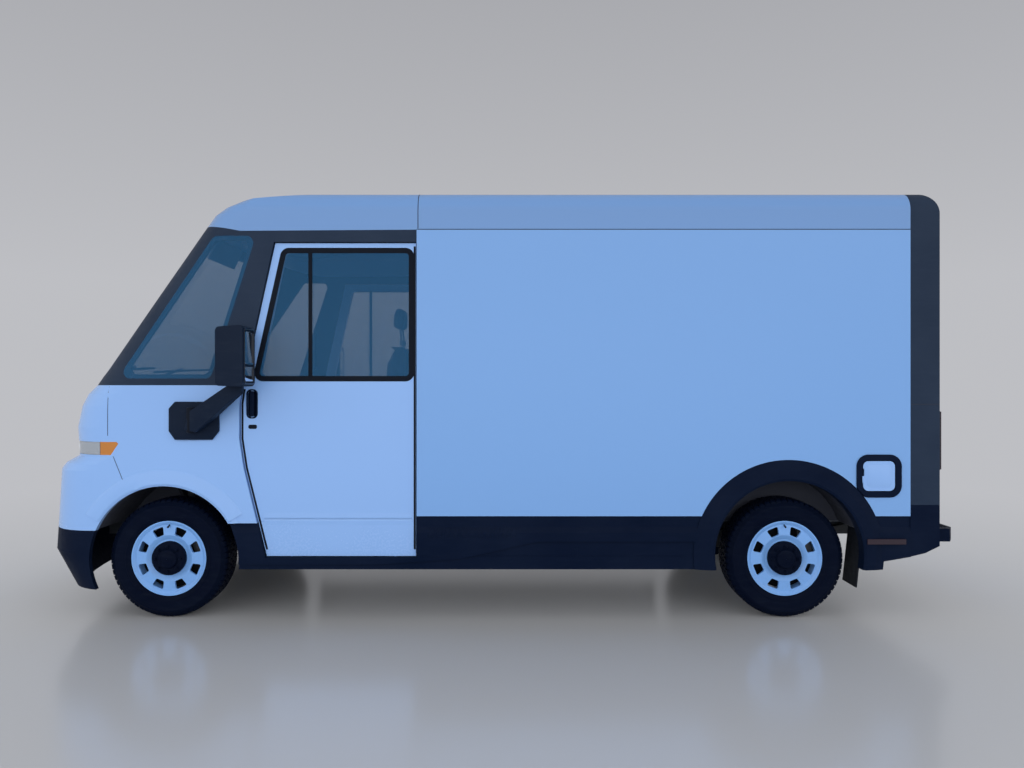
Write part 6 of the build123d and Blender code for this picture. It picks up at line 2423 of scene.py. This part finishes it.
    def back_shell(self) -> bpy.types.Object:
        """The hard shell behind the back rest."""
        outline = ((-0.643, 0.960), (-0.628, 0.960), (-0.5555, 1.490), (-0.5555, 1.690), (-0.575, 1.690),
                   (-0.575, 1.498))
        shell = side_plate("back_shell", outline, self.middle - 0.195, 0.390)
        return soften(shell, 0.010, 3)

    def side_shield(self) -> bpy.types.Object:
        """The moulded shield at the seat's outer side, with its lever."""
        corners = ((-1.13, 0.800), (-0.70, 0.770), (-0.66, 0.930), (-0.76, 0.985), (-0.86, 0.925), (-1.13, 0.895))
        y = self.middle - 0.236
        shield = soften(side_plate("shield", rounded_outline(corners, 0.022, 5), y, -0.020), 0.006, 3)
        lever = soften(box_piece("lever", (-0.92, y - 0.034, 0.848), (-0.80, y - 0.018, 0.872)), 0.006, 3)
        return join_pieces("seat_shield", [shield, lever])

    def belt(self) -> bpy.types.Object:
        """The shoulder belt, pulled flat down the outer side of the back rest."""
        pad = bpy.data.objects["seat_back"]
        heights = (1.700, 1.640, 1.560, 1.460, 1.340, 1.200, 1.060, 0.985)
        starts = [(-0.640, self.middle - shift, 1.85) for shift in (0.120, 0.150, 0.180)]
        starts += [(-0.605 - (1.735 - z) * 0.115, self.middle - 0.32, z) for z in heights]
        aims = [(0.0, 0.0, -1.0)] * 3 + [(0.0, 1.0, 0.0)] * len(heights)
        points = self.hug(pad, starts, aims, -0.0015)
        return ribbon_piece("shoulder_belt", points, (-0.046, 0.0, 0.0), 0.0024)

    def buckle(self) -> bpy.types.Object:
        """The belt buckle on its stalk at the inner side."""
        y = self.middle + 0.252
        stalk = soften(box_piece("stalk", (-0.785, y - 0.008, 0.860), (-0.765, y + 0.002, 0.985)), 0.003, 2)
        head = soften(box_piece("head", (-0.802, y - 0.014, 0.975), (-0.748, y + 0.010, 1.052)), 0.007, 3)
        return join_pieces("belt_buckle", [stalk, head])

    def buckle_button(self) -> bpy.types.Object:
        """The buckle's release button."""
        y = self.middle + 0.250
        return soften(box_piece("buckle_button", (-0.794, y - 0.008, 1.048), (-0.756, y + 0.004, 1.0555)), 0.002, 2)


@dataclass
class CabInterior:
    """Screens, vents, switches, pedals, visors and the dressed steering wheel."""

    palette: Palette
    nodes: dict
    driver_y: float = -0.480
    wheel_centre: Point = (-1.380, -0.480, 1.350)
    wheel_radius: float = 0.190
    face: tuple[Flat, Flat] = ((-1.780, 1.250), (-1.850, 1.010))

    def build(self) -> None:
        """Builds the cab's fittings."""
        for piece, finish in (
            (self.screen_frame(), "cab_plastic"), (self.screens(), "screen_black"), (self.binnacle(), "cab_plastic"),
            (self.vents(), "gloss_black"), (self.glove_box(), "cab_plastic"), (self.switches(), "gloss_black"),
            (self.column_shroud(), "cab_plastic"), (self.stalks(), "cab_plastic"), (self.pedals(), "flap_rubber"),
            (self.defroster(), "black_trim"), (self.floor_mats(), "flap_rubber"), (self.step_treads(), "flap_rubber"),
            (self.step_edges(), "hardware_metal"), (self.visors(), "cab_lining"), (self.grab_handles(), "cab_plastic"),
            (self.roof_lamp(), "lamp_white"),
        ):
            self.palette.dress(piece, finish, "van")
        self.palette.dress(self.wheel_pad(), "cab_plastic", "steering_wheel")
        self.palette.dress(self.wheel_grips(), "window_gasket", "steering_wheel")
        self.palette.dress(self.wheel_keys(), "gloss_black", "steering_wheel")
        self.palette.dress(self.door_pull(), "hardware_metal", "bulkhead_door")

    def on_wheel(self, piece: bpy.types.Object) -> bpy.types.Object:
        """Moves a piece from the steering wheel's own axes into place: X along the column, Z up its face."""
        lean = Matrix(((0.866, 0.0, -0.5), (0.0, 1.0, 0.0), (0.5, 0.0, 0.866))).to_4x4()
        piece.data.transform(Matrix.Translation(self.wheel_centre) @ lean)
        return piece

    def on_face(self, name: str, low: float, high: float, span: Flat, proud: float) -> bpy.types.Object:
        """A plate on the dashboard's sloped rear face.

        Args:
            name: The plate's name.
            low: Its lower edge, as a share of the face's height from the bottom.
            high: Its upper edge, likewise.
            span: Its two Y ends.
            proud: How far it stands out.

        Returns:
            The plate, not yet softened.
        """
        (x1, z1), (x0, z0) = self.face
        run = (x1 - x0, z1 - z0)
        length = math.hypot(*run)
        out = (run[1] / length, -run[0] / length)
        ends = [(x0 + run[0] * share, z0 + run[1] * share) for share in (low, high)]
        outline = [(x - out[0] * 0.003, z - out[1] * 0.003) for x, z in ends]
        outline += [(x + out[0] * proud, z + out[1] * proud) for x, z in reversed(ends)]
        return side_plate(name, outline, span[0], span[1] - span[0])

    def screen_frame(self) -> bpy.types.Object:
        """The frame and foot of the centre screen."""
        return join_pieces("screen_frame", [
            block_piece("frame", (-1.917, -0.172, 1.436), (-1.894, 0.172, 1.622), 0.009),
            block_piece("foot", (-1.955, -0.060, 1.395), (-1.905, 0.060, 1.470), 0.010),
        ])

    def screens(self) -> bpy.types.Object:
        """The glass of the centre screen and of the driver's display."""
        return join_pieces("screen_glass", [
            block_piece("centre", (-1.8955, -0.160, 1.448), (-1.8925, 0.160, 1.610), 0.0012, 2),
            block_piece("driver", (-1.8300, -0.625, 1.404), (-1.8120, -0.335, 1.466), 0.0012, 2),
        ])

    def binnacle(self) -> bpy.types.Object:
        """The hood over the driver's display."""
        outline = ((-1.990, 1.395), (-1.815, 1.372), (-1.800, 1.384), (-1.817, 1.398), (-1.820, 1.472),
                   (-1.800, 1.490), (-1.835, 1.503), (-1.980, 1.458))
        hood = side_plate("binnacle", outline, self.driver_y - 0.175, 0.350)
        return soften(hood, 0.008, 3)

    def vents(self) -> bpy.types.Object:
        """Four air vents with frames and blades."""
        parts = []
        for y in (-0.880, -0.245, 0.245, 0.880):
            low, high = y - 0.066, y + 0.066
            parts += [block_piece("edge", (-1.802, low, z), (-1.776, high, z + 0.010), 0.003) for z in (1.262, 1.330)]
            parts += [block_piece("edge", (-1.802, a, 1.262), (-1.776, a + 0.010, 1.340),
                                  0.003) for a in (low, high - 0.010)]
            for i in range(4):
                z = 1.2785 + i * 0.0145
                blade = side_plate("blade",
                                   ((-1.797, z + 0.005), (-1.781, z), (-1.781, z + 0.002), (-1.797, z + 0.007)),
                                   low + 0.006, 0.120)
                parts.append(blade)
        return join_pieces("dash_vents", parts)

    def glove_box(self) -> bpy.types.Object:
        """The glove box lid with its latch, and the knee panel on the driver's side."""
        return join_pieces("glove_box", [
            soften(self.on_face("lid", 0.16, 0.92, (0.300, 0.800), 0.005), 0.004, 3),
            soften(self.on_face("latch", 0.78, 0.86, (0.520, 0.580), 0.010), 0.003, 2),
            soften(self.on_face("knee", 0.10, 0.92, (-0.800, -0.300), 0.004), 0.003, 3),
        ])

    def switches(self) -> bpy.types.Object:
        """Two rows of switches under the centre screen."""
        keys = []
        for row in (0.40, 0.66):
            for i in range(6):
                y = -0.165 + i * 0.056
                keys.append(soften(self.on_face("key", row, row + 0.16, (y, y + 0.046), 0.006), 0.002, 2))
        return join_pieces("dash_switches", keys)

    def column_shroud(self) -> bpy.types.Object:
        """The shroud round the steering column."""
        return self.on_wheel(block_piece("column_shroud", (-0.235, -0.056, -0.066), (-0.068, 0.056, 0.052), 0.022, 4))

    def stalks(self) -> bpy.types.Object:
        """The two stalks on the column."""
        parts = []
        for side in (-1, 1):
            points = [(-0.105, side * 0.045, 0.0), (-0.100, side * 0.090, 0.004), (-0.088, side * 0.150, 0.012)]
            parts.append(tube_piece("stalk", points, 0.0062))
            tip = rod_piece("tip", (-0.0885, side * 0.146, 0.0115), (-0.0805, side * 0.186, 0.017), 0.0092, 20)
            parts.append(soften(tip, 0.004, 3))
        return self.on_wheel(join_pieces("column_stalks", parts))

    def wheel_pad(self) -> bpy.types.Object:
        """The soft cover over the steering wheel's hub."""
        pad = block_piece("wheel_pad", (-0.012, -0.080, -0.066), (0.016, 0.080, 0.058), 0.013, 4)
        return self.on_wheel(pad)

    def wheel_grips(self) -> bpy.types.Object:
        """Two wrapped grips on the rim of the steering wheel."""
        grips = []
        for middle in (25.0, 155.0):
            angles = [math.radians(middle - 32.0 + 8.0 * i) for i in range(9)]
            points = [(0.0, self.wheel_radius * math.cos(a), self.wheel_radius * math.sin(a)) for a in angles]
            grips.append(tube_piece("grip", points, 0.0172))
        return self.on_wheel(join_pieces("wheel_grips", grips))

    def wheel_keys(self) -> bpy.types.Object:
        """The keys on the steering wheel's spokes."""
        keys = []
        for side in (-1, 1):
            for z in (-0.0135, 0.0015):
                low, high = sorted((side * 0.090, side * 0.122))
                keys.append(block_piece("key", (-0.020, low, z), (-0.0085, high, z + 0.012), 0.003, 2))
        return self.on_wheel(join_pieces("wheel_keys", keys))

    def pedals(self) -> bpy.types.Object:
        """The brake pedal on its arm, the accelerator and the foot rest, with ribbed faces."""
        parts = [
            tube_piece("arm", [(-2.135, -0.425, 0.985), (-2.110, -0.425, 0.880), (-2.062, -0.425, 0.790),
                               (-2.046, -0.425, 0.735)], 0.009),
            soften(side_plate("brake", ((-2.066, 0.782), (-2.052, 0.787), (-2.022, 0.704), (-2.036, 0.699)), -0.480,
                              0.110),
                   0.003, 2),
            soften(side_plate("drive", ((-2.118, 0.806), (-2.104, 0.812), (-2.004, 0.603), (-2.026, 0.599)), -0.345,
                              0.062),
                   0.004, 2),
            soften(side_plate("rest", ((-2.118, 0.800), (-2.100, 0.806), (-1.990, 0.604), (-2.016, 0.599)), -0.700,
                              0.085),
                   0.004, 2),
        ]
        for i in range(4):
            x, z = -2.0505 + i * 0.0062, 0.7695 - i * 0.0172
            parts.append(block_piece("rib", (x, -0.472, z), (x + 0.006, -0.378, z + 0.005), 0.0015, 2))
        return join_pieces("pedals", parts)

    def defroster(self) -> bpy.types.Object:
        """The slotted strip at the foot of the windscreen."""
        slats = [block_piece("slat", (-2.470, -0.62 + i * 0.062, 1.4180), (-2.395, -0.575 + i * 0.062, 1.4290), 0.002,
                             2)
                 for i in range(20)]
        return join_pieces("defroster", slats)

    def floor_mats(self) -> bpy.types.Object:
        """A ribbed mat in front of each seat, narrower beside the wheel housing."""
        parts = []
        for side in (-1, 1):
            low, high = sorted((side * 0.27, side * 0.72))
            parts.append(block_piece("mat", (-1.590, low, 0.5995), (-1.300, high, 0.6050), 0.0022, 2))
            low, high = sorted((side * 0.27, side * 0.545))
            parts.append(block_piece("toe_mat", (-1.980, low, 0.5995), (-1.586, high, 0.6050), 0.0022, 2))
            for i in range(15):
                y = side * (0.2995 + i * 0.0285)
                front = -1.950 if abs(y) < 0.53 else -1.565
                parts.append(block_piece("rib", (front, y - 0.0055, 0.6042), (-1.33, y + 0.0055, 0.6078), 0.0012, 1))
        return join_pieces("floor_mats", parts)

    def step_treads(self) -> bpy.types.Object:
        """Rubber ribs in both step wells."""
        ribs = []
        for side in (-1, 1):
            for i in range(7):
                low, high = sorted((side * (0.800 + i * 0.026), side * (0.813 + i * 0.026)))
                ribs.append(block_piece("rib", (-1.375, low, 0.4315), (-0.575, high, 0.4365), 0.002, 2))
        return join_pieces("step_treads", ribs)

    def step_edges(self) -> bpy.types.Object:
        """The metal edges of both step wells."""
        edges = []
        for side in (-1, 1):
            low, high = sorted((side * 0.742, side * 0.7795))
            edges.append(block_piece("edge", (-1.388, low, 0.5995), (-0.562, high, 0.6035), 0.0014, 2))
        return join_pieces("step_edges", edges)

    def visors(self) -> bpy.types.Object:
        """Two sun visors under the header, each on its rod."""
        parts = []
        for side in (-1, 1):
            low = min(side * 0.18, side * 0.66)
            outline = ((-1.862, 2.448), (-1.844, 2.444), (-1.908, 2.312), (-1.926, 2.318))
            parts.append(soften(side_plate("visor", outline, low, 0.48), 0.0075, 4))
            parts.append(rod_piece("rod", (-1.853, side * 0.20, 2.440), (-1.853, side * 0.20, 2.530), 0.006, 16))
        return join_pieces("sun_visors", parts)

    def grab_handles(self) -> bpy.types.Object:
        """A handle on the inside of each front pillar."""
        handles = []
        for side in (-1, 1):
            points = [(-1.61, side * y, z) for y, z in ((1.030, 1.610), (0.992, 1.616), (0.978, 1.650), (0.976, 1.76),
                                                        (0.978, 1.870), (0.992, 1.904), (1.030, 1.910))]
            handles.append(tube_piece("handle", points, 0.0115))
        return join_pieces("grab_handles", handles)

    def roof_lamp(self) -> bpy.types.Object:
        """The lamp in the cab's roof."""
        return block_piece("cab_lamp", (-0.98, -0.09, 2.632), (-0.82, 0.09, 2.6600), 0.006)

    def door_pull(self) -> bpy.types.Object:
        """The bar handle on the bulkhead door."""
        parts = [soften(rod_piece("bar", (-0.4085, -0.300, 1.020), (-0.4085, -0.300, 1.240), 0.0055, 20), 0.002, 2)]
        for z in (1.035, 1.225):
            parts.append(rod_piece("foot", (-0.4085, -0.300, z), (-0.3945, -0.300, z), 0.0045, 16))
        return join_pieces("bulkhead_pull", parts)


@dataclass
class LoadSpace:
    """Wall posts, lashing rails, roof bows, lamps and floor ribs of the load space."""

    palette: Palette
    nodes: dict
    posts: tuple[float, ...] = (0.52, 0.94, 1.36, 1.78, 2.20)
    bows: tuple[float, ...] = (0.10, 0.72, 1.34, 1.96, 2.46)
    rails: tuple[float, ...] = (1.06, 1.62, 2.18)

    def build(self) -> None:
        """Builds the load space's fittings."""
        for piece, finish in (
            (self.wall_posts(), "cab_lining"), (self.lashing_rails(), "hardware_metal"),
            (self.roof_bows(), "cab_lining"),
            (self.lamps(), "lamp_white"), (self.floor_ribs(), "load_floor_paint"), (self.threshold(), "hardware_metal"),
            (self.lashing_rings(), "hardware_metal"),
        ):
            self.palette.dress(piece, finish, "van")

    def wall_posts(self) -> bpy.types.Object:
        """Upright hat-shaped posts on both walls."""
        parts = []
        for side in (-1, 1):
            for x in self.posts:
                section = ((-0.045, 1.011), (-0.045, 1.007), (-0.026, 1.007), (-0.020, 0.986), (0.020, 0.986),
                           (0.026, 1.007), (0.045, 1.007), (0.045, 1.011))
                outline = [(x + a, side * b, 0.905) for a, b in section]
                parts.append(soften(plate_piece("post", outline, (0.0, 0.0, 1.505)), 0.002, 2))
        return join_pieces("wall_posts", parts)

    def lashing_rails(self) -> bpy.types.Object:
        """Grooved rails along both walls."""
        parts = []
        for side in (-1, 1):
            for z in self.rails:
                section = ((0.987, -0.021), (0.968, -0.021), (0.968, -0.008), (0.975, -0.008), (0.975, 0.008),
                           (0.968, 0.008), (0.968, 0.021), (0.987, 0.021))
                outline = [(0.43, side * a, z + b) for a, b in section]
                parts.append(soften(plate_piece("rail", outline, (2.02, 0.0, 0.0)), 0.0015, 2))
        return join_pieces("lashing_rails", parts)

    def roof_bows(self) -> bpy.types.Object:
        """Bows that follow the roof's inside."""
        bows = []
        for x in self.bows:
            points = []
            for i in range(-12, 13):
                place = touch(self.nodes["cargo_roof"], (x, i * 0.078, 1.9), (0, 0, 1))
                points.append((place.x - 0.025, place.y, place.z - 0.004))
            bows.append(soften(ribbon_piece("bow", points, (0.050, 0.0, 0.0), 0.018), 0.003, 2))
        return join_pieces("roof_bows", bows)

    def lamps(self) -> bpy.types.Object:
        """Flat lamps between the bows."""
        return join_pieces("load_lamps", [
            block_piece("lamp", (x, -0.035, 2.6325), (x + 0.34, 0.035, 2.6490), 0.005) for x in (0.24, 0.86, 1.48, 2.06)
        ])

    def floor_ribs(self) -> bpy.types.Object:
        """Pressed ribs along the floor."""
        return join_pieces("floor_ribs", [
            block_piece("rib", (-0.30, -0.665 + i * 0.095, 0.6990), (2.62, -0.635 + i * 0.095, 0.7035), 0.0016, 2)
            for i in range(15)
        ])

    def threshold(self) -> bpy.types.Object:
        """The tread plate at the rear doors."""
        plate = block_piece("plate", (2.640, -0.960, 0.6990), (2.7385, 0.960, 0.7040), 0.0016, 2)
        ribs = [block_piece("rib", (2.655 + i * 0.020, -0.930, 0.7034), (2.665 + i * 0.020, 0.930, 0.7062), 0.0012, 2)
                for i in range(4)]
        return join_pieces("threshold", [plate, *ribs])

    def lashing_rings(self) -> bpy.types.Object:
        """Six lashing rings that lie on the floor."""
        parts = []
        for x in (0.05, 0.70, 2.50):
            for y in (-0.885, 0.885):
                parts.append(block_piece("cup", (x - 0.045, y - 0.030, 0.6990), (x + 0.045, y + 0.030, 0.7040), 0.002,
                                         2))
                ring = [(x + 0.027 * math.cos(a), y + 0.021 * math.sin(a), 0.7085)
                        for a in (math.radians(30.0 * i) for i in range(12))]
                parts.append(tube_piece("ring", ring, 0.0046, ring=True))
        return join_pieces("lashing_rings", parts)


@dataclass
class Underbody:
    """Battery flanges with bolts, pressed ribs, dampers and the stabiliser bar."""

    palette: Palette
    battery: tuple[float, float, float] = (-1.290, 1.260, 0.760)

    def build(self) -> None:
        """Builds what shows under the van."""
        for piece, finish in (
            (self.flanges(), "battery_metal"), (self.bolts(), "hardware_metal"), (self.ribs(), "battery_metal"),
            (self.dampers(), "chassis_paint"), (self.damper_rods(), "hardware_metal"),
            (self.stabiliser(), "chassis_paint"),
        ):
            self.palette.dress(piece, finish, "van")

    def flanges(self) -> bpy.types.Object:
        """The case's flange, with its lid's edge above it."""
        start, end, half = self.battery
        return join_pieces("battery_flange", [
            block_piece("flange", (start - 0.012, -half - 0.022, 0.352), (end + 0.012, half + 0.022, 0.360), 0.002, 2),
            block_piece("lid_edge", (start - 0.004, -half - 0.005, 0.360), (end + 0.004, half + 0.005, 0.372), 0.003,
                        2),
        ])

    def bolts(self) -> bpy.types.Object:
        """The bolts along the flange's long sides."""
        _, _, half = self.battery
        bolts = []
        for i in range(22):
            x = -1.255 + i * 0.1181
            for side in (-1, 1):
                y = side * (half + 0.012)
                bolts.append(rod_piece("bolt", (x, y, 0.345), (x, y, 0.3525), 0.0070, 6))
        return soften(join_pieces("battery_bolts", bolts), 0.0014, 2)

    def ribs(self) -> bpy.types.Object:
        """Pressed ribs across the case's underside."""
        return join_pieces("battery_ribs", [
            block_piece("rib", (-1.17 + i * 0.21, -0.66, 0.2652), (-1.12 + i * 0.21, 0.66, 0.2695), 0.0018, 3)
            for i in range(12)
        ])

    def dampers(self) -> bpy.types.Object:
        """The rear dampers' bodies, with the eye below."""
        parts = []
        for side in (-1, 1):
            y = side * 0.400
            parts.append(soften(rod_piece("body", (1.915, y, 0.357), (2.085, y, 0.446), 0.026, 32), 0.006, 3))
            parts.append(soften(rod_piece("eye", (1.893, y - 0.022, 0.346), (1.893, y + 0.022, 0.346), 0.020, 24),
                                0.003, 2))
        return join_pieces("rear_dampers", parts)

    def damper_rods(self) -> bpy.types.Object:
        """The dampers' rods, up to their pins on the rails."""
        parts = []
        for side in (-1, 1):
            y = side * 0.400
            parts.append(rod_piece("rod", (2.070, y, 0.438), (2.235, y, 0.5245), 0.0105, 20))
            low, high = sorted((side * 0.384, side * 0.440))
            parts.append(soften(rod_piece("pin", (2.236, low, 0.525), (2.236, high, 0.525), 0.016, 24), 0.003, 2))
        return shade_smooth(join_pieces("damper_rods", parts), 40.0)

    def stabiliser(self) -> bpy.types.Object:
        """The front stabiliser bar, behind the subframe."""
        points = [(-1.960, -0.520, 0.300), (-1.900, -0.535, 0.318), (-1.846, -0.500, 0.340), (-1.846, -0.30, 0.344),
                  (-1.846, 0.30, 0.344), (-1.846, 0.500, 0.340), (-1.900, 0.535, 0.318), (-1.960, 0.520, 0.300)]
        parts = [tube_piece("bar", points, 0.0125)]
        for side in (-1, 1):
            y = side * 0.33
            parts.append(block_piece("clamp", (-1.935, y - 0.022, 0.322), (-1.828, y + 0.022, 0.366), 0.006))
        return join_pieces("stabiliser", parts)


# The studio: floor, backdrop, lights and camera

BACKDROP = (0.512, 0.518, 0.546, 1.0)
BACKDROP_TOP = (0.36, 0.365, 0.39, 1.0)
CAMERA_EYE = (0.130, -5.910, 1.472)
LENS_MM = 27.42


class Studio:
    """A pale floor that fades into the backdrop, soft lights, and the camera of the photograph."""

    def build(self) -> None:
        """Sets up the floor, the world, the lights and the camera."""
        scene = bpy.context.scene
        scene.view_settings.view_transform = "Standard"
        self.lay_floor()
        self.fill_world(scene)
        self.hang_lights()
        self.place_camera(scene)

    def lay_floor(self) -> None:
        """A round floor whose colour fades into the backdrop's."""
        deselect_all()
        bpy.ops.mesh.primitive_circle_add(vertices=96, radius=30.0, fill_type="NGON", location=(0, 4.0, -0.002))
        floor = bpy.context.object
        floor.name = "studio_floor"
        settle(floor)
        material = bpy.data.materials.new("studio_floor")
        material.use_nodes = True
        canvas = NodeCanvas(material.node_tree)
        tree = material.node_tree
        shader = tree.nodes["Principled BSDF"]
        output = tree.nodes["Material Output"]
        shader.inputs["Base Color"].default_value = (0.50, 0.505, 0.52, 1.0)
        shader.inputs["Roughness"].default_value = 0.20
        shader.inputs["Specular IOR Level"].default_value = 0.5
        place = canvas.node("ShaderNodeTexCoord").outputs["Object"]
        parts = canvas.node("ShaderNodeSeparateXYZ")
        canvas.link(place, parts.inputs[0])
        squared = canvas.math("ADD", canvas.math("POWER", parts.outputs["X"], 2.0),
                              canvas.math("POWER", parts.outputs["Y"], 2.0))
        reach = canvas.math("SQRT", squared, 0.0)
        far = canvas.ramp(reach, 3.4, 8.0, 0.0, 1.0)
        backdrop = canvas.node("ShaderNodeEmission")
        backdrop.inputs["Color"].default_value = BACKDROP
        blend = canvas.node("ShaderNodeMixShader")
        canvas.link(far, blend.inputs[0])
        canvas.link(shader.outputs[0], blend.inputs[1])
        canvas.link(backdrop.outputs[0], blend.inputs[2])
        canvas.link(blend.outputs[0], output.inputs["Surface"])
        floor.data.materials.append(material)

    def fill_world(self, scene: bpy.types.Scene) -> None:
        """Shows the backdrop's colour to the camera and in reflections, and lights the paint from low all round.

        Args:
            scene: The scene whose world is set.
        """
        world = bpy.data.worlds.new("studio_world")
        scene.world = world
        world.use_nodes = True
        tree = world.node_tree
        canvas = NodeCanvas(tree)
        tree.nodes.clear()
        heading = canvas.node("ShaderNodeTexCoord").outputs["Generated"]
        parts = canvas.node("ShaderNodeSeparateXYZ")
        canvas.link(heading, parts.inputs[0])
        path = canvas.node("ShaderNodeLightPath")
        seen = canvas.math("MAXIMUM", path.outputs["Is Camera Ray"], path.outputs["Is Transmission Ray"])
        seen = canvas.math("MAXIMUM", seen, path.outputs["Is Glossy Ray"])
        wall = canvas.ramp(parts.outputs["Z"], 0.12, 0.55, 0.0, 1.0)
        backdrop = canvas.node("ShaderNodeBackground")
        canvas.link(canvas.mix(wall, BACKDROP, BACKDROP_TOP), backdrop.inputs["Color"])
        sky = canvas.node("ShaderNodeBackground")
        sky.inputs["Color"].default_value = (0.97, 0.98, 1.0, 1.0)
        rise = canvas.ramp(parts.outputs["Z"], 0.0, 0.24, 0.15, 2.6)
        fall = canvas.ramp(parts.outputs["Z"], 0.24, 0.66, 1.0, 0.2)
        canvas.link(canvas.math("MULTIPLY", rise, fall), sky.inputs["Strength"])
        blend = canvas.node("ShaderNodeMixShader")
        output = canvas.node("ShaderNodeOutputWorld")
        canvas.link(seen, blend.inputs[0])
        canvas.link(sky.outputs[0], blend.inputs[1])
        canvas.link(backdrop.outputs[0], blend.inputs[2])
        canvas.link(blend.outputs[0], output.inputs["Surface"])

    def hang_lights(self) -> None:
        """Two broad soft lights, one on each side, that the paint doesn't mirror."""
        for name, place, aim, size, watts in (
            ("left_fill", (-1.0, -9.5, 1.35), (0.0, 0.0, 0.8), (12.0, 2.6), 150.0),
            ("right_fill", (1.0, 9.5, 3.2), (0.0, 0.0, 1.1), (12.0, 3.4), 80.0),
        ):
            data = bpy.data.lights.new(name, "AREA")
            data.shape = "RECTANGLE"
            data.size, data.size_y = size
            data.energy = watts
            lamp = bpy.data.objects.new(name, data)
            bpy.context.scene.collection.objects.link(lamp)
            lamp.location = place
            lamp.visible_glossy = False
            lamp.rotation_euler = (Vector(aim) - Vector(place)).to_track_quat("-Z", "Y").to_euler()

    def place_camera(self, scene: bpy.types.Scene) -> None:
        """The camera level with the middle of the side, as in the photograph.

        Args:
            scene: The scene that takes the camera.
        """
        data = bpy.data.cameras.new("photo_camera")
        data.lens = LENS_MM
        data.sensor_width = 36.0
        camera = bpy.data.objects.new("photo_camera", data)
        bpy.context.scene.collection.objects.link(camera)
        camera.location = CAMERA_EYE
        camera.rotation_euler = (math.radians(90.0), 0.0, 0.0)
        scene.camera = camera


def main() -> None:
    """Dresses the van piece by piece and sets up the studio."""
    logging.basicConfig(level=logging.INFO, format="%(name)s: %(message)s")
    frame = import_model()
    palette = Palette()
    palette.dress_nodes(frame)
    nodes = frame["nodes"]
    Wheels(palette).build()
    SideDoors(palette).build()
    Nose(palette, nodes).build()
    BodyTrim(palette, nodes).build()
    Mirrors(palette, nodes).build()
    WheelArches(palette).build()
    RearEnd(palette, nodes).build()
    ChargeSocket(palette).build()
    Seats(palette, nodes).build()
    CabInterior(palette, nodes).build()
    LoadSpace(palette, nodes).build()
    Underbody(palette).build()
    Studio().build()


if __name__ == "__main__":
    main()
